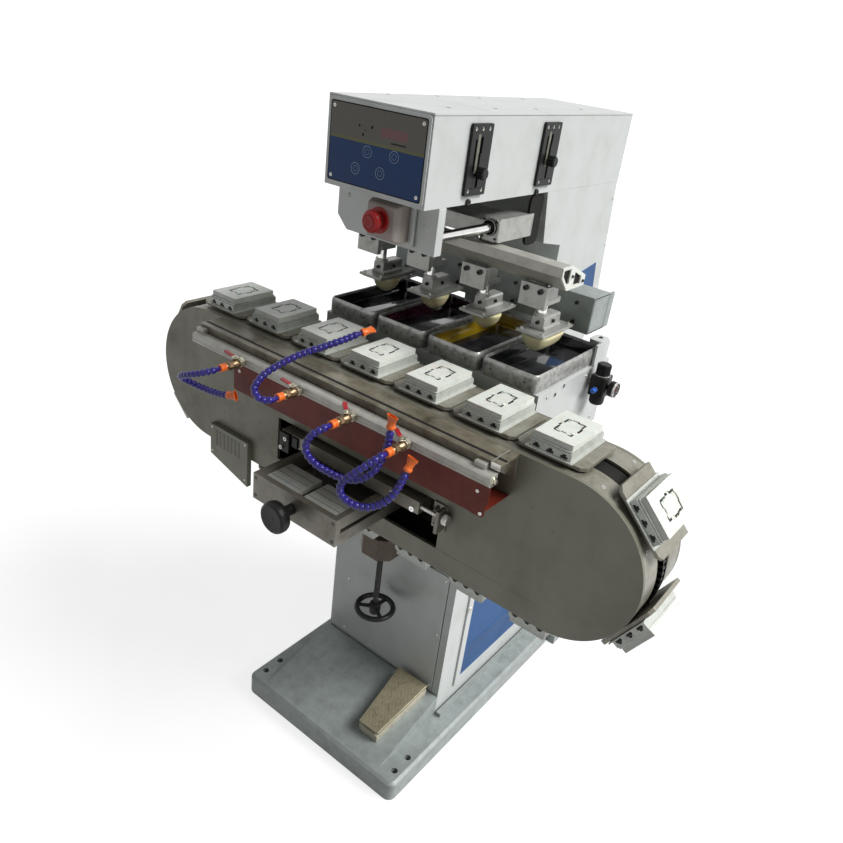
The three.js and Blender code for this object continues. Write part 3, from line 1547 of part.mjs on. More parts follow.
// Sloping pad beam with end plates, and for each pad a bracket, a rod, a clamp and a backing plate.
function padBeam() {
  const profile = [
    [padBeamFront, padBeamTop],
    [padBeamFront, padBeamTop - padBeamHeelDrop],
    [padBeamFront + padBeamHeelInset, padBeamBottom],
    [padBeamNoseY, padBeamBottom],
    [padBeamNoseY, padBeamTop - padBeamNoseDrop],
    [padBeamFront + padBeamTopWidth, padBeamTop],
  ];
  const beam = prism('x', profile, -padBeamHalfWidth, padBeamHalfWidth);
  const postHoles = [-strokePostX, strokePostX].map((x) => rod(
    'z', x, strokePostY, strokePostRadius + runGap, padBeamBottom - overrun, padBeamTop + overrun,
  ));
  const holders = padXs.map((x) => join(
    block(
      x - padBracketWidth / 2, x + padBracketWidth / 2, padBracketFront, padRodY + padRodRadius,
      padBracketBottom + padBracketThick, padBeamBottom + padBracketThick / 2,
    ),
    rod(
      'z', x, padRodY, padRodRadius,
      padPlateBottom + padPlateThick / 2, padBracketBottom + 2 * padBracketThick, 16,
    ),
    block(
      x - padClampWidth / 2, x + padClampWidth / 2,
      padCentreY - padClampLength / 2, padCentreY + padClampLength / 2,
      padPlateBottom + padPlateThick / 2, padPlateBottom + padPlateThick + padClampHeight,
    ),
    block(
      x - padPlateWidth / 2, x + padPlateWidth / 2, padPlateFront, padPlateBack,
      padPlateBottom, padPlateBottom + padPlateThick,
    ),
  ));
  return cut(join(beam, ...holders), ...postHoles);
}

// Silicone pad: a crowned form whose outline follows an oval and whose underside comes to a rounded tip.
function siliconePad(x, halfWidth, halfLength) {
  const top = padPlateBottom - seatGap;
  const profile = padDropShares.map(([drop, reach]) => new THREE.Vector2(reach, -drop)).reverse();
  profile.push(new THREE.Vector2(0, 0));
  const geometry = new THREE.LatheGeometry(profile, padSides);
  geometry.rotateX(90 * degree);
  geometry.scale(halfWidth, halfLength, padDrop);
  geometry.translate(x, padCentreY, top);
  return solid(geometry);
}

// Air regulator: mounting neck, body, bowl, knob and gauge.
function airRegulator() {
  const x = bedHalfWidth + seatGap;
  const centre = x + regulatorReach;
  const bottom = regulatorHeight - regulatorBodyHeight / 2;
  const topZ = regulatorHeight + regulatorBodyHeight / 2;
  return join(
    block(
      x, centre, regulatorY - regulatorBowlRadius, regulatorY + regulatorBowlRadius,
      bottom, regulatorHeight,
    ),
    rod('z', centre, regulatorY, regulatorBodyRadius, bottom, topZ),
    rod('z', centre, regulatorY, regulatorKnobRadius, topZ - overrun, topZ + regulatorKnobHeight, 16),
    rod('z', centre, regulatorY, regulatorBowlRadius, bottom - regulatorBowlHeight, bottom + overrun, 16),
    rod('x', regulatorY, regulatorHeight, gaugeRadius, centre, centre + regulatorBodyRadius + gaugeThick),
  );
}

// Foot pedal on the ramp: a skirted base that follows the slope, and a treadle hinged at its back.
const rampSlope = rampRise / (pedestalFront - coverThick - 2 * seatGap - rampFront);

function rampHeight(y) {
  return baseTop + (y - rampFront) * rampSlope;
}

function pedalBase() {
  const low = (y) => rampHeight(y) + seatGap;
  const outline = (inset, lift) => [
    [pedalFront + inset, low(pedalFront + inset) + lift],
    [pedalBack - inset, low(pedalBack - inset) + lift],
  ];
  const [frontLow, backLow] = outline(0, 0);
  const tub = prism('x', [
    frontLow,
    backLow,
    [pedalBack, backLow[1] + pedalSkirt],
    [pedalFront, frontLow[1] + pedalSkirt],
  ], pedalLeft, pedalRight);
  const [frontIn, backIn] = outline(pedalWall, pedalWall);
  const hollow = prism('x', [
    frontIn,
    backIn,
    [pedalBack - pedalWall, backLow[1] + pedalSkirt + overrun],
    [pedalFront + pedalWall, frontLow[1] + pedalSkirt + overrun],
  ], pedalLeft + pedalWall, pedalRight - pedalWall);
  return cut(tub, hollow);
}

// Hinge line of the treadle, near the pedal's back.
const pedalHingeY = pedalBack - 2 * pedalWall;
const pedalHingeZ = rampHeight(pedalHingeY) + pedalSkirt + pedalLift;

function pedalTreadle() {
  const low = (y) => rampHeight(y) + seatGap + pedalSkirt + pedalLift;
  const plate = prism('x', [
    [pedalFront, low(pedalFront)],
    [pedalBack, low(pedalBack)],
    [pedalBack, low(pedalBack) + pedalTreadThick],
    [pedalFront, low(pedalFront) + pedalTreadThick],
  ], pedalLeft, pedalRight);
  const lug = block(
    pedalLeft + pedalWall + runGap, pedalRight - pedalWall - runGap, pedalHingeY - pedalWall, pedalHingeY,
    pedalHingeZ - pedalLift - pedalWall, pedalHingeZ + seatGap,
  );
  return join(plate, lug);
}

// Short cable from the pedal's back to the front cover, held at both ends.
function pedalCable() {
  const z = rampHeight(pedalBack) + cableRadius * 3;
  const end = pedestalFront - coverThick - 2 * seatGap;
  return rod('y', pedalRight - cableInset, z, cableRadius, pedalBack + seatGap, end, 10);
}

piece('base_frame', baseFrame(), paint);
piece('pedestal_shell', pedestalShell(), paint);
piece('front_cover', frontCover(), paint);
piece('side_door', sideDoor(), blue);
piece('knee_bracket', kneeBracket(), castBrown);
piece('lift_handwheel', liftHandwheel(), black);
piece('cross_slide_frame', crossSlideFrame(), steel);
piece('in_out_knob', inOutKnob(), black);
piece('cross_saddle', crossSaddle(), steel);
piece('side_knob', sideKnob(), chrome);
piece('conveyor_front_plate', conveyorFrontPlate(), steel);
piece('conveyor_rear_plate', conveyorRearPlate(), steel);
piece('drive_housing', driveHousing(), paint);
piece('conveyor_ledge', conveyorLedge(), steel);
piece('air_manifold', airManifold(), aluminium);
piece('guard_plate', guardPlate(), copperRed);

valveXs.forEach((x, i) => {
  piece(`valve_${i + 1}`, ballValve(x), nickelBrass);
  piece(`valve_lever_${i + 1}`, valveLever(x, leverTurns[i]), signalRed);
});

hoseRoutes.forEach((route, i) => {
  const hose = ribbedHose(route);
  const nozzle = flaredNozzle(hose.path);
  piece(`air_hose_${i + 1}`, cut(join(hose.body, nozzle.outer), nozzle.inner), hoseBlue);
  console.log(
    `air_hose_${i + 1}: length ${hose.length.toFixed(0)} mm,`,
    `least gap to itself ${leastSelfGap(hose.path, hose.length).toFixed(1)} mm`,
  );
});

piece('station_run_top', straightRun(1), ivory);
piece('station_run_right', endRun(1, rightAngles, [true, true]), ivory);
piece('station_run_bottom', straightRun(-1), ivory);
piece('station_run_left', endRun(-1, leftAngles, [true, false]), ivory);

piece('bed_housing', bedHousing(), paint);
for (let i = 0; i < trayCount; i += 1) {
  piece(`ink_tray_${i + 1}`, inkTray((i - (trayCount - 1) / 2) * trayPitch), aluminium);
}
piece('machine_column', machineColumn(), paint);
piece('rear_crossbeam', rearCrossbeam(), paint);
piece('head_shell', headShell(), paint);
piece('control_panel', controlPanel(), blue);
piece('apron_plate', apronPlate(), paint);
piece('guide_shaft_left', guideShaft(-shaftX), chrome);
piece('guide_shaft_right', guideShaft(shaftX), chrome);
piece('estop_button', stopButton(), signalRed);
['front', 'rear'].forEach((place, i) => {
  piece(`slider_plate_${place}`, sliderPlate(sliderYs[i]), black);
  piece(`slider_knob_${place}`, sliderKnob(sliderYs[i], sliderSlotBottom + sliderKnobRises[i]), black);
});
piece('carriage_block', carriageBlock(), aluminium);
piece('pad_beam', padBeam(), steel);
padXs.forEach((x, i) => {
  const boat = i === padXs.length - 1;
  const body = boat
    ? siliconePad(x, boatPadHalfWidth, boatPadHalfLength)
    : siliconePad(x, roundPadRadius, roundPadRadius);
  piece(`pad_${i + 1}`, body, padCream);
});
piece('air_regulator', airRegulator(), black);
piece('pedal_base', pedalBase(), castGold);
piece('pedal_treadle', pedalTreadle(), castGold);
piece('pedal_cable', pedalCable(), chrome);

export default machine;
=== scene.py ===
# %% [markdown]
# # A pad printing machine, dressed for the camera
# The machine prints with four soft silicone pads. A head on a column carries the pads from four ink trays
# to small jigs, and the jigs ride round an oval conveyor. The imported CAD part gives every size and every
# place, so this lesson adds what a plain solid lacks: fine shapes, screws, finishes, light and a camera.
# All sizes below are in millimetres. Blender works in metres, so `MM` turns one into the other.

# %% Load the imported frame
import math

import bmesh
import bpy
from mathutils import Euler, Matrix, Vector
from mathutils.geometry import tessellate_polygon


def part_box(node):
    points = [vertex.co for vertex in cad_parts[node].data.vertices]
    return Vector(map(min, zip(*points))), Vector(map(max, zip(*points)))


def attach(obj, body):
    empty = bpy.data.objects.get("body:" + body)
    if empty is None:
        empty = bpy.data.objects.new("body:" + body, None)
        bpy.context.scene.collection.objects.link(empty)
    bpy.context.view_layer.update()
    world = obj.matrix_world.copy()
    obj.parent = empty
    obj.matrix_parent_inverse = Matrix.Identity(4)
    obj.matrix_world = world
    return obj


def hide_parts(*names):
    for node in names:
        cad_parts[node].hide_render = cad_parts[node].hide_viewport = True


MM = 0.001
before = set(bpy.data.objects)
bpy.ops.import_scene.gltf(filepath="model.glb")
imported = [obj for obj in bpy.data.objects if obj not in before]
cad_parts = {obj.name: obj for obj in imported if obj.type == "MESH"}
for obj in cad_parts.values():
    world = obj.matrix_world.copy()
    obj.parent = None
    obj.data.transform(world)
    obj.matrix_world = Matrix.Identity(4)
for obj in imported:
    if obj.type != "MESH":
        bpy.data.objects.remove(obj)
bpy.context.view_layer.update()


def span(node):
    """Limits of a CAD node in millimetres, as x0, x1, y0, y1, z0, z1."""
    low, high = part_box(node)
    return [limit / MM for pair in zip(low, high) for limit in pair]


# %% [markdown]
# ## Camera
# The photo was taken from the right of the operator, well above the conveyor, with the camera tilted a
# little. A camera can be aimed with a constraint, but three known angles give its axes directly, and
# nothing is left for Blender to work out later. The focal length in pixels becomes a lens in millimetres by
# the sensor's width.

# %% Camera
picture_width = 843
focal_pixels = 760.68
sensor_width = 36
camera_place = Vector((914.583, -1400.834, 1680.812))
camera_yaw = math.radians(-34.5046)
camera_pitch = math.radians(-27.1572)
camera_roll = math.radians(7.6928)

forward = Vector((
    math.sin(camera_yaw) * math.cos(camera_pitch),
    math.cos(camera_yaw) * math.cos(camera_pitch),
    math.sin(camera_pitch),
))
level = Vector((math.cos(camera_yaw), -math.sin(camera_yaw), 0))
upright = level.cross(forward)
right = level * math.cos(camera_roll) + upright * math.sin(camera_roll)
up = upright * math.cos(camera_roll) - level * math.sin(camera_roll)

camera_data = bpy.data.cameras.new("camera")
camera_data.sensor_width = sensor_width
camera_data.lens = sensor_width * focal_pixels / picture_width
camera = bpy.data.objects.new("camera", camera_data)
camera_turn = Matrix((right, up, -forward)).transposed().to_4x4()
camera.matrix_world = Matrix.Translation(camera_place * MM) @ camera_turn
bpy.context.scene.collection.objects.link(camera)
bpy.context.scene.camera = camera
print("lens in mm:", round(camera_data.lens, 2))

# %% [markdown]
# ## Nodes written as sums
# A material or a Geometry Nodes tree is a graph, which is tedious to wire by hand. A small class stands for
# one output socket and knows how to add, subtract, multiply and divide, so `1 - mask * 0.5` adds its own
# Math nodes. Colours and vectors have nodes of their own, because a Math node would turn a colour grey.


# %% Wires and trees
class Wire:
    """One output of a node, used in sums like a number."""

    def __init__(self, tree, socket):
        self.tree = tree
        self.socket = socket

    def __add__(self, other):
        return self.tree.math("ADD", self, other)

    def __sub__(self, other):
        return self.tree.math("SUBTRACT", self, other)

    def __rsub__(self, other):
        return self.tree.math("SUBTRACT", other, self)

    def __mul__(self, other):
        return self.tree.math("MULTIPLY", self, other)

    def __truediv__(self, other):
        return self.tree.math("DIVIDE", self, other)

    __radd__ = __add__
    __rmul__ = __mul__


class Tree:
    """Adds nodes to a shader tree or a geometry tree."""

    def __init__(self, graph):
        self.graph = graph
        graph.nodes.clear()

    def add(self, kind, settings=(), inputs=(), output=0):
        """A node of that type: its settings come first, then the values or wires of its sockets."""
        node = self.graph.nodes.new(kind)
        for name, value in dict(settings).items():
            setattr(node, name, value)
        for name, value in dict(inputs).items():
            if isinstance(value, Wire):
                self.graph.links.new(value.socket, node.inputs[name])
            else:
                node.inputs[name].default_value = value
        return Wire(self, node.outputs[output]) if node.outputs else None

    def math(self, operation, *values):
        return self.add("ShaderNodeMath", {"operation": operation}, dict(enumerate(values)))

    def vector(self, operation, *values, output=0):
        return self.add("ShaderNodeVectorMath", {"operation": operation}, dict(enumerate(values)), output)

    def ramp(self, value, low, high, start=0.0, end=1.0):
        """Goes smoothly from start to end while the value goes from low to high."""
        limits = {"Value": value, "From Min": low, "From Max": high, "To Min": start, "To Max": end}
        return self.add("ShaderNodeMapRange", {"interpolation_type": "SMOOTHSTEP"}, limits)


print("wires and trees ready")

# %% [markdown]
# ## Floor and light
# A studio floor is a large plane that takes a soft shadow. The lamp is a wide sun from the right and
# behind, as in the photo, so that the right sides are bright and the fronts lie in soft shade. The world
# gives the fill. What the camera and the metals see of the world is plain white, which Light Path separates
# from the fill, so the background stays white without more light on the machine.

# %% Floor and light
floor_size = 60.0
floor_drop = 0.0005
sun_strength = 4.2
sun_softness = math.radians(32)
sun_from = Vector((0.66, 0.28, 0.74))
fill_strength = 0.13
floor_grey = 0.26
floor_glow = 0.79
white = (1.0, 1.0, 1.0, 1.0)

studio = bpy.context.scene
studio.view_settings.view_transform = "Standard"
sun_data = bpy.data.lights.new("window_light", "SUN")
sun_data.energy = sun_strength
sun_data.angle = sun_softness
sun = bpy.data.objects.new("window_light", sun_data)
sun.matrix_world = sun_from.to_track_quat("Z", "Y").to_matrix().to_4x4()
studio.collection.objects.link(sun)


def seen_directly(tree):
    """1 for rays from the camera, from a gloss or through glass, and 0 for the light that they scatter."""
    path = "ShaderNodeLightPath"
    straight = tree.add(path, output="Is Camera Ray") + tree.add(path, output="Is Glossy Ray")
    return tree.math("MINIMUM", straight + tree.add(path, output="Is Transmission Ray"), 1.0)


studio.world = bpy.data.worlds.new("studio")
studio.world.use_nodes = True
sky = Tree(studio.world.node_tree)
fill = sky.add("ShaderNodeBackground", {}, {"Color": (0.93, 0.97, 1.0, 1.0), "Strength": fill_strength})
backdrop = sky.add("ShaderNodeBackground", {}, {"Color": white, "Strength": 1.0})
both = sky.add("ShaderNodeMixShader", {}, {0: seen_directly(sky), 1: fill, 2: backdrop})
sky.add("ShaderNodeOutputWorld", {}, {"Surface": both})

floor_finish = bpy.data.materials.new("studio_floor")
floor_finish.use_nodes = True
ground = Tree(floor_finish.node_tree)
ground_place = ground.add("ShaderNodeTexCoord", output="Object")
ground_cloud = ground.add("ShaderNodeTexNoise", {}, {"Vector": ground_place, "Scale": 3.0, "Detail": 4.0})
ground_paint = ground.add("ShaderNodeBsdfPrincipled", {}, {
    "Base Color": (floor_grey, floor_grey, floor_grey, 1.0),
    "Roughness": ground.ramp(ground_cloud, 0.3, 0.7, 0.55, 0.7),
})
ground_glow = ground.add("ShaderNodeEmission", {}, {"Color": white, "Strength": floor_glow})
ground_lit = ground.add("ShaderNodeAddShader", {}, {0: ground_paint, 1: ground_glow})
ground_seen = seen_directly(ground)
ground_both = ground.add("ShaderNodeMixShader", {}, {0: ground_seen, 1: ground_paint, 2: ground_lit})
ground.add("ShaderNodeOutputMaterial", {}, {"Surface": ground_both})

floor_mesh = bpy.data.meshes.new("floor")
floor_signs = ((-1, -1), (1, -1), (1, 1), (-1, 1))
floor_corners = [(x * floor_size, y * floor_size, -floor_drop) for x, y in floor_signs]
floor_mesh.from_pydata(floor_corners, [], [(0, 1, 2, 3)])
floor_mesh.materials.append(floor_finish)
floor = bpy.data.objects.new("floor", floor_mesh)
studio.collection.objects.link(floor)
print("sun strength", sun_strength, "fill", fill_strength)

# %% [markdown]
# ## Finishes
# A single flat colour looks like plastic foil, whatever it covers. Real paint has a fine orange peel and
# soft dirty patches, rolled steel has stains and a grain, and every one of them shines unevenly. So each
# finish is a Principled shader whose colour, roughness and relief come from noise of the right size. The
# noise reads Object coordinates, turned into millimetres, because each piece keeps its place in its mesh.


# %% The finish class
class Finish(Tree):
    """One material of the machine, with the record's slot that it belongs to."""

    def __init__(self, name, slot):
        self.material = bpy.data.materials.new(name)
        self.material.use_nodes = True
        self.material["slot"] = slot
        super().__init__(self.material.node_tree)
        metres = self.add("ShaderNodeTexCoord", output="Object")
        self.place = self.add("ShaderNodeVectorMath", {"operation": "SCALE"}, {0: metres, "Scale": 1 / MM})
        self.used = 0

    def axis(self, letter):
        return self.add("ShaderNodeSeparateXYZ", {}, {0: self.place}, "XYZ".index(letter))

    def noise(self, size, detail=3.0, rough=0.5, grain=(1.0, 1.0, 1.0)):
        """Patches about that many millimetres across, from 0 to 1; grain makes them longer along an axis."""
        self.used += 1
        squeezed = self.vector("DIVIDE", self.place, grain)
        moved = self.vector("ADD", squeezed, (self.used * 311.0, self.used * 173.0, self.used * 97.0))
        sockets = {"Vector": moved, "Scale": 1 / size, "Detail": detail, "Roughness": rough}
        return self.add("ShaderNodeTexNoise", {}, sockets)

    def mix(self, share, low, high):
        """One colour at share 0 and the other at share 1."""
        low, high = [value if isinstance(value, Wire) else (*value, 1.0) for value in (low, high)]
        return self.add("ShaderNodeMix", {"data_type": "RGBA"}, {0: share, 6: low, 7: high}, 2)

    def done(self, colour, gloss, metal=0.0, relief=None, depth=0.02, shine=0.5, fixed=()):
        """Joins the Principled shader; relief is a height from 0 to 1, and depth its size in millimetres."""
        sockets = {"Base Color": colour, "Roughness": gloss, "Metallic": metal, "Specular IOR Level": shine}
        sockets.update(fixed)
        if relief is not None:
            sockets["Normal"] = self.add("ShaderNodeBump", {}, {"Height": relief, "Distance": depth * MM})
        shader = self.add("ShaderNodeBsdfPrincipled", {}, sockets)
        self.add("ShaderNodeOutputMaterial", {}, {"Surface": shader})
        return self.material


def surface(
    name, slot, colour, worn, gloss, metal=0.0, patch=45.0, fine=1.5, grain=(1.0, 1.0, 1.0), depth=0.02,
    wear=(0.45, 0.75), shine=0.5, fixed=(),
):
    """A finish of one colour that turns into a worn one in patches, over a fine grain."""
    look = Finish(name, slot)
    cloud = look.noise(patch, 5.0, 0.6)
    speck = look.noise(fine, 2.0, 0.5, grain)
    share = look.ramp(cloud * 0.7 + speck * 0.3, *wear)
    rough = gloss[0] + (cloud * 0.6 + speck * 0.4) * (gloss[1] - gloss[0])
    return look.done(look.mix(share, colour, worn), rough, metal, speck, depth, shine, fixed)


print("finish class ready")

# %% [markdown]
# ## Paints
# The body is sprayed in a light grey with a slight orange peel, and the door and the small side panel in a
# deep blue. The guard under the air rail is a rust-red primer with scratches along its length. Paint
# scratches are long and thin, so their noise is stretched along the rail.

# %% Paints
grey_paint = surface(
    "grey_paint", "grey_paint", (0.56, 0.58, 0.565), (0.44, 0.455, 0.43), (0.30, 0.46), 0.1, 70.0, 1.6,
    depth=0.03, wear=(0.42, 0.85),
)
# The light grey paint again, darker: painted shade for the pan and the rear cross beam, with a coarser
# grain.
base_paint = surface(
    "base_paint", "grey_paint", (0.30, 0.335, 0.325), (0.19, 0.21, 0.20), (0.34, 0.54), 0.15, 30.0, 1.8,
    depth=0.06, wear=(0.35, 0.8),
)
blue_paint = surface(
    "blue_paint", "blue_paint", (0.008, 0.068, 0.21), (0.006, 0.042, 0.13), (0.35, 0.5), 0.0, 60.0, 1.6,
    depth=0.03, shine=0.25,
)
# Near black: for seams, print and dark parts, and as painted shade in slots, holes and hollows.
dark_inside = surface(
    "dark_inside", "black_plastic", (0.012, 0.012, 0.011), (0.022, 0.020, 0.017), (0.6, 0.85), 0.0, 25.0,
    2.0, shine=0.15,
)

guard_look = Finish("guard_primer", "red_guard")
guard_cloud = guard_look.noise(60.0, 5.0, 0.65)
guard_scratch = guard_look.noise(1.1, 3.0, 0.6, (22.0, 22.0, 1.0))
guard_share = guard_look.ramp(guard_cloud, 0.35, 0.7)
guard_base = guard_look.mix(guard_share, (0.17, 0.024, 0.012), (0.105, 0.016, 0.010))
guard_bare = guard_look.ramp(guard_scratch, 0.68, 0.78)
red_guard = guard_look.done(
    guard_look.mix(guard_bare * 0.5, guard_base, (0.30, 0.13, 0.10)), 0.34 + guard_cloud * 0.25, 0.0,
    guard_scratch, 0.02, 0.25,
)
print("paints:", grey_paint.name, base_paint.name, blue_paint.name, red_guard.name)

# %% [markdown]
# ## Steels
# The conveyor's side plates are bare rolled steel, stained brown and grey by years of ink and oil. The
# stains are large soft clouds with a fainter layer of upright runs, and the steel shines more where it is
# clean. The same recipe with other shares gives the deck, the box frame and the polished strips round the
# ends.


# %% Steels
def stained(name, clean, stain, dark, gloss, metal, cloud_size, run, run_grain, lift=0.0):
    """Bare steel with clouds of stain and faint runs; lift paints light on it towards positive X, the lamp's
    side.
    """
    look = Finish(name, "plate_steel")
    cloud = look.noise(cloud_size, 6.0, 0.62)
    patch = look.noise(cloud_size / 4, 4.0, 0.6)
    runs = look.noise(run, 3.0, 0.6, run_grain)
    grain = look.noise(0.9, 2.0, 0.5, (14.0, 1.0, 1.0))
    share = look.ramp(cloud * 0.6 + patch * 0.25 + runs * 0.15, 0.40, 0.66)
    tone = look.mix(share, clean, stain)
    deep = look.ramp(patch * 0.5 + cloud * 0.5, 0.56, 0.74)
    tone = look.mix(deep * 0.7, tone, dark)
    # Painted light: towards positive X the steel turns to its clean colour, as if lit from that side.
    if lift:
        side = look.ramp(look.axis("X"), -200.0, 640.0)
        tone = look.mix(side * lift, tone, clean)
    rough = gloss[0] + (share * 0.6 + patch * 0.4) * (gloss[1] - gloss[0])
    return look.done(tone, rough, metal, grain * 0.6 + patch * 0.4, 0.02)


# Pieces in this steel, the side plates most, get painted light towards positive X, with a lift of 0.55.
plate_steel = stained(
    "plate_steel", (0.185, 0.185, 0.142), (0.125, 0.12, 0.088), (0.08, 0.073, 0.052), (0.38, 0.58), 0.2,
    260.0, 30.0, (1.0, 1.0, 9.0), 0.55,
)
deck_steel = stained(
    "deck_steel", (0.21, 0.19, 0.14), (0.072, 0.058, 0.037), (0.026, 0.02, 0.012), (0.26, 0.48), 0.2, 90.0,
    16.0, (5.0, 1.0, 1.0),
)
frame_steel = stained(
    "frame_steel", (0.25, 0.235, 0.195), (0.16, 0.145, 0.112), (0.08, 0.068, 0.048), (0.3, 0.5), 0.3, 120.0,
    14.0, (1.0, 6.0, 1.0),
)
slat_steel = stained(
    "slat_steel", (0.28, 0.27, 0.225), (0.18, 0.165, 0.125), (0.09, 0.078, 0.056), (0.28, 0.48), 0.3, 55.0,
    12.0, (1.0, 5.0, 1.0),
)
polished_steel = surface(
    "polished_steel", "plate_steel", (0.66, 0.65, 0.62), (0.40, 0.38, 0.34), (0.12, 0.32), 0.85, 35.0, 0.8,
    (1.0, 20.0, 1.0), 0.01,
)
chrome = surface(
    "chrome", "bright_chrome", (0.80, 0.80, 0.79), (0.66, 0.65, 0.63), (0.04, 0.14), 1.0, 30.0, 0.7,
    depth=0.004,
)
zinc = surface(
    "zinc_screw", "bright_chrome", (0.58, 0.57, 0.54), (0.34, 0.32, 0.28), (0.24, 0.42), 0.85, 4.0, 0.5,
)
black_steel = surface(
    "black_screw", "black_plastic", (0.022, 0.021, 0.020), (0.055, 0.052, 0.046), (0.32, 0.55), 0.5, 5.0,
    0.6,
)
print("steels:", plate_steel.name, deck_steel.name, frame_steel.name, slat_steel.name)

# %% [markdown]
# ## Aluminium, brass and castings
# Milled aluminium is pale, with a brushed grain along the cut. The trays are rougher, with knocks on their
# rims. The valves are brass gone brown, the knee is a brown casting, and the pedal is cast with a warm
# tint.

# %% Aluminium, brass and castings
aluminium = surface(
    "milled_aluminium", "bare_aluminium", (0.37, 0.375, 0.35), (0.23, 0.225, 0.20), (0.26, 0.44), 0.4, 24.0,
    0.7, (1.0, 16.0, 1.0), 0.012,
)
rail_aluminium = surface(
    "rail_aluminium", "bare_aluminium", (0.42, 0.415, 0.375), (0.28, 0.265, 0.225), (0.30, 0.5), 0.3, 30.0,
    0.8, (20.0, 1.0, 1.0), 0.012, (0.4, 0.8),
)
block_aluminium = surface(
    "block_aluminium", "jig_plastic", (0.50, 0.52, 0.48), (0.36, 0.37, 0.33), (0.32, 0.5), 0.2, 20.0, 0.8,
    (1.0, 14.0, 1.0), 0.012,
)
tray_aluminium = surface(
    "tray_aluminium", "bare_aluminium", (0.40, 0.40, 0.385), (0.14, 0.135, 0.125), (0.26, 0.5), 0.5, 12.0,
    1.6, depth=0.12, wear=(0.42, 0.7),
)
brass = surface(
    "brown_brass", "valve_brass", (0.27, 0.185, 0.10), (0.11, 0.066, 0.038), (0.22, 0.45), 0.75, 6.0, 0.6,
    wear=(0.35, 0.7),
)
nickel = surface(
    "nickel_plate", "valve_brass", (0.52, 0.49, 0.40), (0.30, 0.26, 0.17), (0.14, 0.32), 0.9, 5.0, 0.6,
)
cast_knee = surface(
    "brown_casting", "cast_knee", (0.085, 0.062, 0.045), (0.045, 0.032, 0.024), (0.45, 0.7), 0.3, 14.0, 1.4,
    depth=0.15,
)
cast_pedal = surface(
    "warm_casting", "cast_pedal", (0.30, 0.27, 0.18), (0.19, 0.17, 0.11), (0.34, 0.56), 0.35, 16.0, 1.3,
    depth=0.1, wear=(0.4, 0.75),
)
cast_skirt = surface(
    "pale_casting", "cast_pedal", (0.46, 0.43, 0.34), (0.32, 0.29, 0.21), (0.36, 0.56), 0.2, 16.0, 1.3,
    depth=0.08, wear=(0.4, 0.75),
)
print("castings:", brass.name, cast_knee.name, cast_pedal.name)

# %% [markdown]
# ## Plastics, rubber and ink
# The jigs are white plastic with a milky depth, which a little subsurface light gives. The pads are cream
# silicone with the same depth and a soft sheen. Ink is a thick wet film: almost black, with a mirror-like
# coat.

# %% Plastics, rubber and ink
jig_white = surface(
    "white_jig", "jig_plastic", (0.74, 0.76, 0.70), (0.56, 0.58, 0.51), (0.26, 0.42), 0.0, 26.0, 1.2,
    depth=0.008, wear=(0.45, 0.8), fixed={"Subsurface Weight": 0.12, "Subsurface Scale": 0.003},
)
silicone = surface(
    "cream_silicone", "silicone", (0.66, 0.62, 0.37), (0.54, 0.50, 0.28), (0.30, 0.44), 0.0, 20.0, 1.5,
    depth=0.01, fixed={"Subsurface Weight": 0.25, "Subsurface Scale": 0.004, "Coat Weight": 0.15},
)
black_plastic = surface(
    "black_plastic", "black_plastic", (0.011, 0.011, 0.011), (0.022, 0.021, 0.020), (0.30, 0.46), 0.0, 9.0,
    0.8, depth=0.02, shine=0.2,
)
black_rubber = surface(
    "black_rubber", "black_plastic", (0.011, 0.011, 0.012), (0.022, 0.021, 0.020), (0.5, 0.7), 0.0, 8.0, 0.9,
    shine=0.2,
)
hose_blue = surface(
    "indigo_hose", "hose_plastic", (0.020, 0.012, 0.20), (0.009, 0.006, 0.09), (0.24, 0.38), 0.0, 12.0, 1.0,
    depth=0.01, shine=0.3, fixed={"Coat Weight": 0.12},
)
orange_plastic = surface(
    "orange_nozzle", "hose_plastic", (0.86, 0.17, 0.018), (0.70, 0.11, 0.012), (0.30, 0.44), 0.0, 9.0, 0.9,
    depth=0.01,
)
signal_red = surface(
    "signal_red", "red_plastic", (0.42, 0.010, 0.010), (0.28, 0.008, 0.008), (0.24, 0.40), 0.0, 9.0, 0.9,
    shine=0.3,
)
lever_red = surface(
    "red_lever_vinyl", "red_plastic", (0.36, 0.012, 0.018), (0.22, 0.010, 0.012), (0.22, 0.40), 0.0, 7.0,
    0.9,
)
fitting_blue = surface(
    "blue_fitting", "hose_plastic", (0.02, 0.12, 0.55), (0.015, 0.08, 0.38), (0.24, 0.38), 0.0, 7.0, 0.9,
)
stop_box_grey = surface(
    "stop_box_grey", "grey_paint", (0.42, 0.365, 0.33), (0.34, 0.285, 0.255), (0.34, 0.5), 0.0, 22.0, 1.2,
)
display_red = surface(
    "display_red", "panel_film", (0.16, 0.010, 0.010), (0.10, 0.008, 0.008), (0.10, 0.2), 0.0, 9.0, 0.9,
    depth=0.004,
)
film_line = surface(
    "film_print", "panel_film", (0.34, 0.42, 0.55), (0.25, 0.32, 0.45), (0.35, 0.5), 0.0, 5.0, 0.6,
    depth=0.004,
)


def ink(name, thick, thin):
    """A wet film of ink: the thick pool mirrors, and the smears near the walls are duller."""
    look = Finish(name, "bare_aluminium")
    smear = look.noise(26.0, 4.0, 0.6, (1.0, 3.0, 1.0))
    share = look.ramp(smear, 0.45, 0.75)
    colour = look.mix(share, thick, thin)
    coat = {"Coat Weight": 0.6, "Coat Roughness": 0.05}
    return look.done(colour, 0.06 + share * 0.2, 0.0, smear, 0.1, fixed=coat)


black_ink = ink("black_ink", (0.010, 0.010, 0.012), (0.030, 0.030, 0.034))
magenta_ink = ink("magenta_ink", (0.040, 0.006, 0.020), (0.12, 0.012, 0.045))
yellow_ink = ink("yellow_ink", (0.52, 0.36, 0.015), (0.34, 0.22, 0.012))
print("plastics and inks ready")

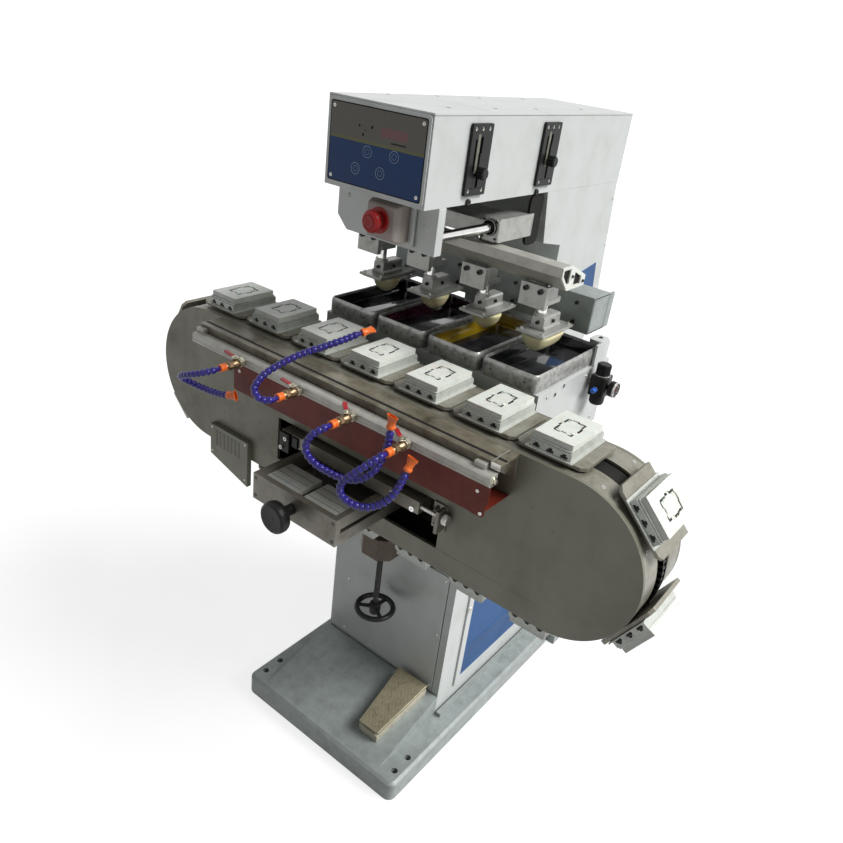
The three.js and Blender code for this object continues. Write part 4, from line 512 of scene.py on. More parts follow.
# %% [markdown]
# ## Outlines and solids
# Turned, drawn-out and lofted forms cover almost every machine part. `Shape` collects them as closed shells
# in millimetres, so a piece is written as a short list of what a workshop would make. A prism may have
# holes: its end faces are then cut into triangles by `tessellate_polygon`, and each hole gets its own
# walls.


# %% Outlines
def arc(u, v, radius, start, end, steps):
    """Points on an arc, in degrees from the first axis towards the second."""
    angles = [math.radians(start + (end - start) * i / steps) for i in range(steps + 1)]
    return [(u + radius * math.cos(a), v + radius * math.sin(a)) for a in angles]


def circle(u, v, radius, sides=32, first=0.0):
    """Points of a circle without the last one, which is the first again."""
    return arc(u, v, radius, first, first + 360.0, sides)[:-1]


def rectangle(u0, u1, v0, v1):
    return [(u0, v0), (u1, v0), (u1, v1), (u0, v1)]


def rounded(u0, u1, v0, v1, radius, steps=6):
    """A rectangle with round corners."""
    u0, u1, v0, v1 = u0 + radius, u1 - radius, v0 + radius, v1 - radius
    corners = ((u1, v0, -90), (u1, v1, 0), (u0, v1, 90), (u0, v0, 180))
    return [point for u, v, start in corners for point in arc(u, v, radius, start, start + 90, steps)]


def shifted(u, v, outline):
    """The outline with its own origin put at u, v."""
    return [(u + across, v + rise) for across, rise in outline]


print("a rounded rectangle has", len(rounded(0, 9, 0, 9, 2)), "points")


# %% The shape class
class Shape:
    """Closed solids, drawn in millimetres."""

    def __init__(self):
        self.points = []
        self.faces = []

    @staticmethod
    def point(axis, u, v, along):
        """A point from two distances across an axis and one along it."""
        return {"x": (along, u, v), "y": (u, along, v), "z": (u, v, along)}[axis]

    def add(self, points, faces):
        first = len(self.points)
        self.points += [Vector(point) for point in points]
        self.faces += [[first + i for i in face] for face in faces]
        return self

    def prism(self, axis, loops, low, high):
        """An outline drawn out along an axis. A list of loops has the outline first, and then its holes."""
        loops = loops if isinstance(loops[0], list) else [loops]
        flat = [point for loop in loops for point in loop]
        count = len(flat)
        points = [self.point(axis, u, v, along) for along in (low, high) for u, v in flat]
        caps = [list(range(count))]
        if len(loops) > 1:
            flat_loops = [[Vector((u, v, 0)) for u, v in loop] for loop in loops]
            caps = [list(face) for face in tessellate_polygon(flat_loops)]
        faces = [face[::-1] for face in caps] + [[i + count for i in face] for face in caps]
        first = 0
        for loop in loops:
            size = len(loop)
            for i in range(size):
                here, following = first + i, first + (i + 1) % size
                faces.append([here, following, following + count, here + count])
            first += size
        return self.add(points, faces)

    def box(self, x0, x1, y0, y1, z0, z1):
        return self.prism("z", rectangle(x0, x1, y0, y1), z0, z1)

    def rod(self, axis, u, v, radius, low, high, sides=32):
        return self.prism(axis, circle(u, v, radius, sides), low, high)

    def tube(self, axis, u, v, outer, inner, low, high, sides=32):
        return self.prism(axis, [circle(u, v, outer, sides), circle(u, v, inner, sides)], low, high)

    def loft(self, rings, closed=False):
        """Rings of equally many points joined in order. A ring of one point is a pole."""
        starts, points, faces = [], [], []
        for ring in rings:
            starts.append(len(points))
            points += ring
        pairs = list(zip(range(len(rings)), range(1, len(rings))))
        if closed:
            pairs.append((len(rings) - 1, 0))
        for low, high in pairs:
            size = max(len(rings[low]), len(rings[high]))
            for i in range(size):
                j = (i + 1) % size
                face = [
                    starts[low] + i % len(rings[low]), starts[low] + j % len(rings[low]),
                    starts[high] + j % len(rings[high]), starts[high] + i % len(rings[high]),
                ]
                faces.append(list(dict.fromkeys(face)))
        if not closed:
            for order in (0, len(rings) - 1):
                if len(rings[order]) > 1:
                    faces.append([starts[order] + i for i in range(len(rings[order]))])
        return self.add(points, faces)

    def lathe(self, axis, u, v, profile, sides=40, closed=False, start=0.0):
        """A profile of (radius, distance from the start along the axis), turned round the axis."""
        rings = []
        for radius, along in profile:
            ring = circle(u, v, radius, sides) if radius else [(u, v)]
            rings.append([self.point(axis, across, rise, start + along) for across, rise in ring])
        return self.loft(rings, closed)

    def moved(self, matrix):
        self.points = [matrix @ point for point in self.points]
        return self


print("shape class ready")

# %% [markdown]
# ## From a shape to a finished piece
# A machined edge is never perfectly sharp: it catches a thin line of light. A Bevel modifier limited by
# angle gives every hard edge that line, and leaves round walls alone. The modifier is applied at once, so
# that the piece is a plain mesh with its place in it. Box-like parts start from a copy of the CAD mesh: its
# loose triangles are merged first, and flat neighbours are dissolved, so that the bevel sees clean edges.


# %% Pieces
def evaluated_mesh(thing):
    bpy.context.view_layer.update()
    graph = bpy.context.evaluated_depsgraph_get()
    return bpy.data.meshes.new_from_object(thing.evaluated_get(graph), depsgraph=graph)


def softened(thing, edge, steps, crease):
    """Soft edges and smooth round walls, as a plain mesh."""
    for polygon in thing.data.polygons:
        polygon.use_smooth = True
    thing.data.set_sharp_from_angle(angle=math.radians(crease))
    if not edge:
        return
    bevel = thing.modifiers.new("edges", "BEVEL")
    bevel.width = edge * MM
    bevel.segments = steps
    bevel.limit_method = "ANGLE"
    bevel.angle_limit = math.radians(crease)
    bevel.harden_normals = True
    mesh = evaluated_mesh(thing)
    thing.modifiers.clear()
    thing.data = mesh


def placed(name, work, finish, edge, body, instead_of, steps, crease=30):
    """Turns a bmesh in metres into a piece that rides on a body."""
    bmesh.ops.recalc_face_normals(work, faces=work.faces)
    mesh = bpy.data.meshes.new(name)
    work.to_mesh(mesh)
    work.free()
    thing = bpy.data.objects.new(name, mesh)
    bpy.context.scene.collection.objects.link(thing)
    softened(thing, edge, steps, crease)
    return dress(thing, finish, body, instead_of)


def dress(thing, finish, body, instead_of=()):
    """Gives a mesh its finish, its body and the CAD nodes that it stands for."""
    thing.data.materials.clear()
    thing.data.materials.append(finish)
    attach(thing, body)
    if instead_of:
        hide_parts(*([instead_of] if isinstance(instead_of, str) else instead_of))
    return thing


def piece(name, shape, finish, edge=0.5, body="machine", instead_of=(), steps=2, crease=30):
    work = bmesh.new()
    corners = [work.verts.new(point * MM) for point in shape.points]
    for face in shape.faces:
        work.faces.new([corners[i] for i in face])
    return placed(name, work, finish, edge, body, instead_of, steps, crease)


def from_node(node, finish, edge=1.0, body="machine", steps=2):
    """A copy of a CAD node with merged corners and soft edges, shown in its place."""
    work = bmesh.new()
    work.from_mesh(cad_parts[node].data)
    bmesh.ops.remove_doubles(work, verts=work.verts, dist=0.02 * MM)
    bmesh.ops.dissolve_limit(work, angle_limit=math.radians(0.5), verts=work.verts, edges=work.edges)
    return placed(node + "_dressed", work, finish, edge, body, node, steps)


print("pieces can be made")

# %% [markdown]
# ## Geometry Nodes for what repeats
# Screws, slats and chain links are the same part many times over. One tree takes a mesh of bare points,
# reads from each point how it is turned and how large it is, puts a copy there, makes the copies real and
# gives them their finish. Copying in Python would work as well, but the tree keeps the rule in one place.


# %% The geometry tree class
class Modeller(Tree):
    """A Geometry Nodes tree with named inputs, run once to give a plain mesh."""

    def __init__(self, name):
        super().__init__(bpy.data.node_groups.new(name, "GeometryNodeTree"))
        self.entry = self.graph.nodes.new("NodeGroupInput")
        self.exit = self.graph.nodes.new("NodeGroupOutput")
        self.graph.interface.new_socket("Result", in_out="OUTPUT", socket_type="NodeSocketGeometry")
        self.base = self.input("Base", "NodeSocketGeometry")
        self.finish = self.input("Finish", "NodeSocketMaterial")

    def input(self, name, kind="NodeSocketFloat"):
        self.graph.interface.new_socket(name, in_out="INPUT", socket_type=kind)
        return Wire(self, self.entry.outputs[name])

    def close(self, geometry):
        """Ends the tree: copies made real, then the finish."""
        real = self.add("GeometryNodeRealizeInstances", {}, {"Geometry": geometry})
        coated = self.add("GeometryNodeSetMaterial", {}, {"Geometry": real, "Material": self.finish})
        self.graph.links.new(coated.socket, self.exit.inputs["Result"])

    def run(self, name, mesh, finish, sizes):
        """What the tree makes of a mesh, as an object with a plain mesh of its own."""
        thing = bpy.data.objects.new(name, mesh)
        bpy.context.scene.collection.objects.link(thing)
        modifier = thing.modifiers.new(name, "NODES")
        modifier.node_group = self.graph
        values = {"Finish": finish, **sizes}
        for item in self.graph.interface.items_tree:
            if item.in_out == "INPUT" and item.name in values:
                modifier[item.identifier] = values[item.name]
        made = evaluated_mesh(thing)
        thing.modifiers.clear()
        thing.data = made
        for extra in ("turn", "size"):
            if extra in made.attributes:
                made.attributes.remove(made.attributes[extra])
        return thing


copies = Modeller("copies_on_points")
part = copies.input("Part", "NodeSocketObject")
part_mesh = copies.add("GeometryNodeObjectInfo", {}, {"Object": part}, "Geometry")
point_turn = copies.add("GeometryNodeInputNamedAttribute", {"data_type": "FLOAT_VECTOR"}, {"Name": "turn"})
point_size = copies.add("GeometryNodeInputNamedAttribute", {"data_type": "FLOAT_VECTOR"}, {"Name": "size"})
turned_by = copies.add("FunctionNodeEulerToRotation", {}, {"Euler": point_turn})
copies.close(copies.add("GeometryNodeInstanceOnPoints", {}, {
    "Points": copies.base, "Instance": part_mesh, "Rotation": turned_by, "Scale": point_size,
}))


def repeated(name, shape, places, finish, edge=0.3, body="machine", instead_of=(), steps=1):
    """Copies of a shape at places, each a point, a turn in radians and a size."""
    source = piece(name + "_source", shape, finish, edge, body, steps=steps)
    mesh = bpy.data.meshes.new(name)
    mesh.from_pydata([Vector(point) * MM for point, turn, size in places], [], [])
    for label, values in (("turn", [turn for point, turn, size in places]),
                          ("size", [(size, size, size) for point, turn, size in places])):
        layer = mesh.attributes.new(label, "FLOAT_VECTOR", "POINT")
        layer.data.foreach_set("vector", [number for value in values for number in value])
    thing = copies.run(name, mesh, finish, {"Part": source})
    bpy.data.objects.remove(source)
    return dress(thing, finish, body, instead_of)


print("copies tree has", len(copies.graph.nodes), "nodes")

# %% [markdown]
# ## Screws
# Three kinds of head cover the machine: a cap with a hexagon socket, a round head with a cross, and a
# countersunk head that lies flush. Each is drawn once, 10 mm across and facing up, and the copies are
# turned to face out.

# %% Screws
quarter = math.pi / 2
facing = {
    "up": (0.0, 0.0, 0.0), "down": (math.pi, 0.0, 0.0), "front": (quarter, 0.0, 0.0),
    "back": (-quarter, 0.0, 0.0), "right": (0.0, quarter, 0.0), "left": (0.0, -quarter, 0.0),
}
drawn_radius = 5.0


def cap_head():
    """Socket cap: the hexagon is a hole in the upper part."""
    shape = Shape()
    shape.rod("z", 0, 0, drawn_radius, -1.0, 1.6, 20)
    return shape.prism("z", [circle(0, 0, drawn_radius, 20), circle(0, 0, 2.6, 6)], 1.6, 5.0)


def round_head():
    """Low dome with a cross of two slots, which are sunk between four raised quarters."""
    shape = Shape()
    shape.lathe("z", 0, 0, [(5.0, -1.0), (5.0, 0.8), (4.2, 2.2), (2.9, 2.9)], 20)
    for turn in range(4):
        wedge = [(0.6, 0.6), *arc(0.6, 0.6, 2.3, 0, 90, 4)]
        cosine, sine = round(math.cos(turn * quarter)), round(math.sin(turn * quarter))
        shape.prism("z", [(u * cosine - v * sine, u * sine + v * cosine) for u, v in wedge], 2.6, 3.6)
    return shape


def flush_head():
    """Countersunk head with a hexagon socket, just proud of the sheet."""
    shape = Shape()
    shape.rod("z", 0, 0, drawn_radius, -1.0, -0.3, 20)
    return shape.prism("z", [circle(0, 0, drawn_radius, 20), circle(0, 0, 2.2, 6)], -0.3, 0.5)


heads = {"cap": cap_head, "round": round_head, "flush": flush_head}


def screws(name, places, radius=3.5, kind="round", finish=None, body="machine"):
    """Screw heads at places, each x, y, z and the way that it faces."""
    spots = [((x, y, z), facing[way] if isinstance(way, str) else way, radius / drawn_radius)
             for x, y, z, way in places]
    return repeated(name, heads[kind](), spots, finish or zinc, body=body)


def grid(xs, y, zs, way):
    """Places for screws at each x and z of a face."""
    return [(x, y, z, way) for x in xs for z in zs]


def both_sides(x, spots):
    """Places for screws at the same y and z on the left side and on the right side."""
    return [(side * x, y, z, "right" if side > 0 else "left") for side in (-1, 1) for y, z in spots]


print("screw heads:", ", ".join(heads))

# %% [markdown]
# ## Air hoses
# Each hose is a chain of snapped-together beads, so it keeps the curve that it is bent to. Its route is a
# short list of points, joined by a smooth curve that passes through them all. A tree then samples the curve
# every 0.8 mm and sweeps a circle along it, whose radius swells and shrinks once for each bead: a curve, a
# profile and one rule, where a row of separate beads would be far heavier.

# %% Hose routes
hose_routes = {
    "air_hose_1": [
        (-264.7, -455.6, 998), (-264.7, -470, 998), (-283, -488, 990), (-315, -496, 977), (-345, -492, 962),
        (-362, -478, 947), (-359, -461, 934), (-338, -449, 926), (-308, -442, 924), (-276, -440, 928),
        (-252, -440, 936),
    ],
    "air_hose_2": [
        (-88.7, -455.6, 998), (-88.7, -470, 998), (-104, -486, 1000), (-118, -488, 1016), (-116, -470, 1040),
        (-99, -440, 1064), (-76, -405, 1085), (-50, -370, 1101), (-32, -338, 1113), (-22, -312, 1121),
        (-16, -296, 1125),
    ],
    "air_hose_3": [
        (58.4, -455.6, 998), (58.4, -470, 998), (46, -487, 985), (36, -494, 965), (38, -494, 944),
        (57, -489, 927), (86, -481, 918), (118, -474, 916), (149, -466, 925), (168, -452, 944),
        (174, -436, 968), (176, -428, 990), (178, -426, 1012), (180, -427, 1036),
    ],
    "air_hose_4": [
        (196.9, -455.6, 998), (196.9, -470, 998), (183, -491, 981), (164, -506, 959), (148, -513, 936),
        (147, -512, 913), (163, -502, 896), (189, -488, 893), (213, -474, 906), (229, -462, 930),
        (237, -452, 957), (241, -444, 981),
    ],
}


def smooth_route(route, steps=12):
    """Points on a centripetal Catmull-Rom curve through the route's points."""
    points = [Vector(point) for point in route]
    points = [2 * points[0] - points[1], *points, 2 * points[-1] - points[-2]]
    line = []
    for before, start, end, after in zip(points, points[1:], points[2:], points[3:]):
        gaps = (start - before, end - start, after - end)
        first, middle, last = [math.sqrt(gap.length) for gap in gaps]
        leave = (start - before) / first - (end - before) / (first + middle) + (end - start) / middle
        arrive = (end - start) / middle - (after - start) / (middle + last) + (after - end) / last
        leave, arrive = leave * middle, arrive * middle
        for i in range(steps):
            t = i / steps
            bend = (3 * (end - start) - 2 * leave - arrive) * t ** 2
            line.append(start + leave * t + bend + (2 * (start - end) + leave + arrive) * t ** 3)
    return line + [Vector(route[-1])]


def line_length(line):
    return sum((b - a).length for a, b in zip(line, line[1:]))


for hose_name, route in hose_routes.items():
    print(hose_name, "length in mm:", round(line_length(smooth_route(route)), 1))

# %% Beaded hoses
hose_waist = 4.9
hose_bead_rise = 2.7
hose_bead_pitch = 11.0
hose_straight = 9.0
hose_sample = 0.8

beads = Modeller("beaded_hose")
waist = beads.input("Waist radius")
bead_rise = beads.input("Bead rise")
bead_pitch = beads.input("Bead pitch")
first_bead = beads.input("First bead")
last_bead = beads.input("Last bead")
sample = beads.input("Sample length")
hose_line = beads.add("GeometryNodeMeshToCurve", {}, {"Mesh": beads.base})
fine_curve = {"Curve": hose_line, "Length": sample}
hose_line = beads.add("GeometryNodeResampleCurve", {"mode": "LENGTH"}, fine_curve)
along = beads.add("GeometryNodeSplineParameter", output="Length")
phase = beads.math("FRACT", (along - first_bead) / bead_pitch)
swell = beads.math("POWER", beads.math("SINE", phase * math.pi), 0.55)
inside = beads.math("GREATER_THAN", along, first_bead) * beads.math("LESS_THAN", along, last_bead)
hose_ring = {"Resolution": 18, "Radius": 1.0}
round_profile = beads.add("GeometryNodeCurvePrimitiveCircle", {"mode": "RADIUS"}, hose_ring)
hose_radius = waist + bead_rise * swell * inside
beads.close(beads.add("GeometryNodeCurveToMesh", {}, {
    "Curve": hose_line, "Profile Curve": round_profile, "Scale": hose_radius, "Fill Caps": True,
}))


def nozzle(name, line):
    """Flat flared nozzle: a ribbed neck over the last bead, opening into a wide thin mouth."""
    end = line[-1]
    ahead = (line[-1] - line[-2]).normalized()
    side = (Vector((1, 0, 0)) - ahead * ahead.x).normalized()
    flat = ahead.cross(side)
    outer = [
        (-3, 7.6, 7.6), (-1.5, 8.7, 8.7), (2.5, 8.7, 8.7), (4, 7.7, 7.7), (8, 7.6, 7.0), (12, 8.6, 5.8),
        (18, 10.8, 4.8), (24, 13, 4.4),
    ]
    inner = [(24, 12, 3.0), (18, 9.6, 3.2), (10, 5.0, 3.6), (6, 3.4, 3.4), (-3, 3.4, 3.4)]
    rings = []
    for distance, wide, thin in outer + inner:
        rings.append([
            end + ahead * distance + side * wide * math.cos(a) + flat * thin * math.sin(a)
            for a in (math.tau * i / 28 for i in range(28))
        ])
    return piece(name, Shape().loft(rings, closed=True), orange_plastic, 0.4, "conveyor")


for hose_name, route in hose_routes.items():
    line = smooth_route(route)
    length = line_length(line)
    line_mesh = bpy.data.meshes.new(hose_name + "_line")
    line_mesh.from_pydata([point * MM for point in line], [(i, i + 1) for i in range(len(line) - 1)], [])
    beads_fit = math.floor((length - 2 * hose_straight) / hose_bead_pitch)
    start = (length - beads_fit * hose_bead_pitch) / 2
    hose = beads.run(hose_name + "_beads", line_mesh, hose_blue, {
        "Waist radius": hose_waist * MM, "Bead rise": hose_bead_rise * MM,
        "Bead pitch": hose_bead_pitch * MM, "First bead": start * MM,
        "Last bead": (length - start) * MM, "Sample length": hose_sample * MM,
    })
    softened(hose, 0, 1, 50)
    dress(hose, hose_blue, "conveyor", hose_name)
    mouth = nozzle(hose_name + "_nozzle", line)
    line[0] * MM
    [point * MM for point in line]
    print(hose_name, beads_fit, "beads", len(hose.data.polygons), "faces")

# %% [markdown]
# ## Ball valves and their levers
# Each hose starts at a small ball valve, screwed into the air rail by a nickel nut. Valve bodies are turned
# parts, so a lathe profile gives the body, the ball's bulge and the threaded neck. The lever is a bent
# strip with a thick vinyl sleeve, and turns about the valve's stem.

# %% Valves
rail_x0, rail_x1, _, _, rail_z0, _ = span("air_manifold")
rail_size = 24.0
rail_front = -393.3
valve_height = rail_z0 + rail_size / 2
valve_xs = [(span(f"valve_{i}")[0] + span(f"valve_{i}")[1]) / 2 for i in range(1, 5)]
valve_front = span("valve_1")[2]
ball_y = -412.0
collar_length = 15.0

for i, x in enumerate(valve_xs, 1):
    body = Shape()
    body.lathe("y", x, valve_height, [
        (7.4, rail_front - 6), (8.4, rail_front - 8), (8.4, ball_y + 9), (11, ball_y + 4), (11.4, ball_y),
        (11, ball_y - 4), (8.6, ball_y - 9), (8.6, ball_y - 12),
    ], 32)
    body.prism("y", circle(x, valve_height, 10.2, 6), ball_y - 22, ball_y - 12)
    body.lathe("y", x, valve_height, [(7.2, -28), (7.8, -26), (7.8, -22)], 28, start=ball_y)
    body.rod("z", x, ball_y, 4.4, valve_height, valve_height + 12, 24)
    piece(f"valve_{i}_body", body, brass, 0.5, "conveyor", f"valve_{i}")
    nut = Shape().prism("y", circle(x, valve_height, 11.5, 6, 30), rail_front - 8, rail_front - 0.3)
    nut.tube("y", x, valve_height, 9.4, 8.0, rail_front - 11, rail_front - 8)
    piece(f"valve_{i}_nut", nut, nickel, 0.7, "conveyor")
    collar_back = valve_front + collar_length + 1.5
    collar = Shape().lathe("y", x, valve_height, [
        (7.2, valve_front), (8.8, valve_front + 1.2), (8.8, valve_front + 6.5), (7.4, valve_front + 8),
        (7.4, valve_front + 9.5), (8.8, valve_front + 11), (8.8, collar_back - 1.5), (7.6, collar_back),
    ], 32)
    piece(f"valve_{i}_collar", collar, orange_plastic, 0.3, "conveyor")

lever_turns = [180.0, 180.0, 140.0, 149.0]
lever_z = span("valve_lever_1")[4]
for i, (x, turn) in enumerate(zip(valve_xs, lever_turns), 1):
    swing = Matrix.Translation((x, ball_y, lever_z)) @ Matrix.Rotation(math.radians(turn), 4, "Z")
    strip = Shape().prism("z", [
        (-6.5, -6.0), (2, -6.0), (8, -4.0), (12, -4.0), (12, 4.0), (8, 4.0), (2, 6.0), (-6.5, 6.0),
    ], 0.2, 1.8)
    strip.prism("z", circle(0, 0, 3.6, 6), 1.8, 4.4)
    strip.rod("z", 0, 0, 1.8, 4.4, 5.6, 16)
    piece(f"lever_{i}_strip", strip.moved(swing), nickel, 0.3, f"lever_{i}", f"valve_lever_{i}")
    rings = []
    for distance, wide, low, high in ((9, 3.6, -0.2, 2.6), (10, 4.4, -0.6, 3.2), (18, 4.6, 0.0, 4.2),
                                      (28, 4.9, 1.4, 5.8), (33, 4.5, 2.2, 6.4), (34, 3.2, 2.9, 6.0)):
        middle, half = (low + high) / 2, (high - low) / 2
        rings.append([(distance, wide * u, middle + half * v) for u, v in rounded(-1, 1, -1, 1, 0.45, 4)])
    piece(f"lever_{i}_sleeve", Shape().loft(rings).moved(swing), lever_red, 0.2, f"lever_{i}")
print("valves at x:", [round(x, 1) for x in valve_xs])

# %% [markdown]
# ## Air rail, guard and deck
# The air rail is a square aluminium bar with broken edges and shallow ridges, closed by a screw plug. Below
# it hangs the guard, a folded sheet with a round corner and a small ear. Behind the rail the deck, a
# stained strip with a dark groove, carries the rail on two gussets.

# %% Air rail
rail_back = rail_front + rail_size
rail_top = rail_z0 + rail_size
break_edge = 4.0
ridge = 0.8
near, far = 2 * break_edge, rail_size - 2 * break_edge
rail_outline = [
    (break_edge, 0), (rail_size - 1, 0), (rail_size, 1), (rail_size, rail_size - 1),
    (rail_size - 1, rail_size), (near, rail_size), (near - 2 * ridge, rail_size - ridge),
    (break_edge, rail_size - ridge),
    (0, rail_size - break_edge), (0, far), (ridge, far - ridge), (ridge, near + ridge), (0, near),
    (0, break_edge),
]
rail = Shape().prism("x", shifted(rail_front, rail_z0, rail_outline), rail_x0, rail_x1 - 3)
ledge_x0, ledge_x1, ledge_y0, ledge_y1, ledge_z0, ledge_top = span("conveyor_ledge")
foot_top = span("air_manifold")[5]
for x in (ledge_x0 + 3.3, ledge_x1 - 24 - rail_size - 0.3):
    rail.box(x, x + rail_size, rail_back - rail_size / 2, rail_back + rail_size, rail_top - 1, foot_top)
piece("air_rail", rail, rail_aluminium, 0.8, "conveyor", "air_manifold")
plug_y = rail_back - rail_size / 2
plug = Shape().lathe("x", plug_y, valve_height, [(8.6, -4), (8.6, -1.4), (7.8, -0.6)], 28, start=rail_x1)
piece("air_rail_plug", plug, nickel, 0.3, "conveyor")
plug_place = [(rail_x1 - 0.8, plug_y, valve_height, "right")]
screws("air_rail_plug_screw", plug_place, 4.4, "cap", nickel, "conveyor")
print("rail from", rail_x0, "to", rail_x1)

# %% Guard
guard_x0, guard_x1, guard_y0, guard_y1, guard_z0, guard_z1 = span("guard_plate")
guard_thick = 2.4
guard_corner = 14.0
ear_radius = 8.0
guard_outline = [
    (guard_x0, guard_z1), (guard_x0, guard_z0 + 4), (guard_x0 + 4, guard_z0),
    (guard_x1 - 40, guard_z0 + 2), (guard_x1 - 30, guard_z0),
    *arc(guard_x1 - ear_radius - 4, guard_z0 + ear_radius, ear_radius, 250, 360, 8),
    (guard_x1 - 3, guard_z0 + 2 * guard_corner), (guard_x1, guard_z0 + 2.6 * guard_corner),
    (guard_x1, guard_z1),
]
guard = Shape().prism("y", guard_outline, guard_y0, guard_y0 + guard_thick)
guard.box(guard_x0, guard_x1, guard_y0 + 1, guard_y1, guard_z0 + 19, guard_z0 + 21)
piece("guard_sheet", guard, red_guard, 0.8, "conveyor", "guard_plate")
screws("guard_screws", [
    (guard_x1 - 25, guard_y0, guard_z1 - 20, "front"), (guard_x0 + 20, guard_y0, guard_z1 - 20, "front"),
    (guard_x1 - ear_radius - 4, guard_y0, guard_z0 + ear_radius, "front"),
], 4.0, "round", zinc, "conveyor")
print("guard length:", round(guard_x1 - guard_x0, 1))

# %% Deck and its gussets
from_node("conveyor_ledge", deck_steel, 0.8, "conveyor")
fascia = Shape().box(ledge_x0 + 26, ledge_x1 - 50, ledge_y0 + 1, ledge_y0 + 3, rail_top - 8, ledge_top - 3)
piece("deck_fascia", fascia, deck_steel, 0.3, "conveyor")
groove_y0, groove_y1 = ledge_y0 + 14.2, ledge_y0 + 21.8
groove = Shape().box(ledge_x0 + 1, ledge_x1 - 1, groove_y0, groove_y1, ledge_top - 2.9, ledge_top - 1.6)
piece("deck_groove_strip", groove, black_rubber, 0.2, "conveyor")
gusset_x = ledge_x1 - 24
gusset = Shape().prism("x", [
    (ledge_y1 - 1, ledge_top + 0.2), (ledge_y1 - 1, ledge_z0 + 2), (ledge_y1 - 5, ledge_z0 + 2),
    (ledge_y0 + 1, ledge_top - 13), (ledge_y0 + 1, ledge_top + 0.2),
], gusset_x + 3.1, gusset_x + 5.3)
gusset.box(gusset_x + 4, ledge_x1, ledge_y0 - 2, ledge_y0 - 0.4, ledge_top - 14, ledge_top - 0.4)
piece("deck_gusset_plate", gusset, polished_steel, 0.4, "conveyor")
print("deck top at", ledge_top)

# %% [markdown]
# ## The oval conveyor
# Two side plates of bent steel carry the track. Each is an oval plate with a rim band, and between the two
# bands lies the slot of the chain, whose dark is painted shade: a near-black rail in it. The rounds are
# drawn with many steps, because they form the machine's outline. Countersunk screws hold the bands at the
# ends, and they follow the round, so the copies tree places them.

# %% Conveyor side plates
oval_x = 494.0
oval_z = 857.0
oval_radius = (span("conveyor_front_plate")[5] - span("conveyor_front_plate")[4]) / 2
plate_front = -307.0
plate_thick = 8.0
band_thick = 6.0
slot_front, slot_back = -245.0, -193.0
rear_face = span("conveyor_rear_plate")[3]
window_x0, window_x1 = -237.0, 240.0
window_z0, window_z1 = 735.0, 845.0
rear_window_x0, rear_window_x1 = -172.0, 133.0


def oval(radius, steps=45):
    return [*arc(oval_x, oval_z, radius, -90, 90, steps), *arc(-oval_x, oval_z, radius, 90, 270, steps)]


def band(radius, thick, low, high):
    return Shape().prism("y", [oval(radius), oval(radius - thick)], low, high)


front_window = rounded(window_x0, window_x1, window_z0, window_z1, 3)
front_plate = Shape().prism("y", [oval(oval_radius), front_window], plate_front, plate_front + plate_thick)
tie_x, tie_rise = oval_x - 64, 75
for x in (-tie_x, tie_x):
    for rise in (-tie_rise, tie_rise):
        front_plate.rod("y", x, oval_z + rise, 11, plate_front + 6, rear_face - 8.3, 20)
front_plate.box(-200, 200, plate_front + 6, rear_face - 8.3, 845.3, 857.3)
piece("conveyor_front_side", front_plate, plate_steel, 0.5, "conveyor", "conveyor_front_plate", 1)
rear_window = rounded(rear_window_x0, rear_window_x1, window_z0, window_z1, 3)
rear_plate = Shape().prism("y", [oval(oval_radius), rear_window], rear_face - plate_thick, rear_face)
piece("conveyor_rear_side", rear_plate, plate_steel, 0.5, "conveyor", "conveyor_rear_plate", 1)
band_radius = oval_radius - 0.2
front_band = band(band_radius, band_thick, plate_front + plate_thick + 0.1, slot_front)
rear_band = band(band_radius, band_thick, slot_back, rear_face - plate_thick - 0.1)
piece("front_rim_band", front_band, slat_steel, 0.6, "conveyor")
piece("rear_rim_band", rear_band, slat_steel, 0.6, "conveyor")
# The near-black rail under the chain is painted shade for the deep slot between the bands.
chain_rail = band(164.7, band_thick, slot_front - band_thick, slot_back - 5)
piece("chain_rail", chain_rail, dark_inside, 0, "conveyor")
print("oval", round(2 * (oval_x + oval_radius)), "mm long")

# %% Rim screws and small plate screws
rim_angles = [16, 26, 62, 96, 148, 164]


def rim_places(y, side):
    places = []
    for angle in rim_angles:
        turn = math.radians(angle)
        across, rise = side * math.sin(turn) * band_radius, math.cos(turn) * band_radius
        places.append((side * oval_x + across, y, oval_z + rise, (0.0, side * turn, 0.0)))
    return places


for label, y in (("front", plate_front + 26), ("rear", rear_face - 20)):
    screws(f"{label}_rim_screws", rim_places(y, 1) + rim_places(y, -1), 4.2, "flush", zinc, "conveyor")
plate_spots = [(-430, 932), (430, 932), (-430, 782), (430, 782), (480, 905), (-300, 800), (300, 800)]
front_places = [(x, plate_front, z, "front") for x, z in plate_spots]
rear_places = [(x, rear_face, z, "back") for x, z in plate_spots[:4]]
screws("front_plate_screws", front_places, 3.4, "flush", plate_steel, "conveyor")
screws("rear_plate_screws", rear_places, 3.4, "flush", plate_steel, "conveyor")
print("rim screws:", 4 * len(rim_angles))

# %% [markdown]
# ## Stations of the conveyor
# A station is a slat on the chain, a block with three T-slots and a white jig. The jig has a recess like a
# frame, where the work is held, and four small screws. Each part of a station is drawn once, with its
# height as the distance from the centre of the oval's end, and a copy goes to each place: a straight run
# needs a shift, and an end needs a turn about that centre. Four bodies carry them, since the CAD part moves
# the runs one by one.

# %% Station places
slat_radius, block_radius, jig_radius, station_radius = 173.0, 181.0, 198.0, 213.6
slat_wide, block_wide, jig_wide = 145.0, 85.0, 80.0
slat_y0, slat_y1 = -285.0, -158.0
block_y0, block_y1 = span("station_run_top")[2], span("station_run_top")[3]
jig_y0, jig_y1 = block_y0 + 5, block_y1 - 6
station_pitch = 149.2
first_x = span("station_run_top")[0] + slat_wide / 2
first_back_x = span("station_run_bottom")[1] - slat_wide / 2

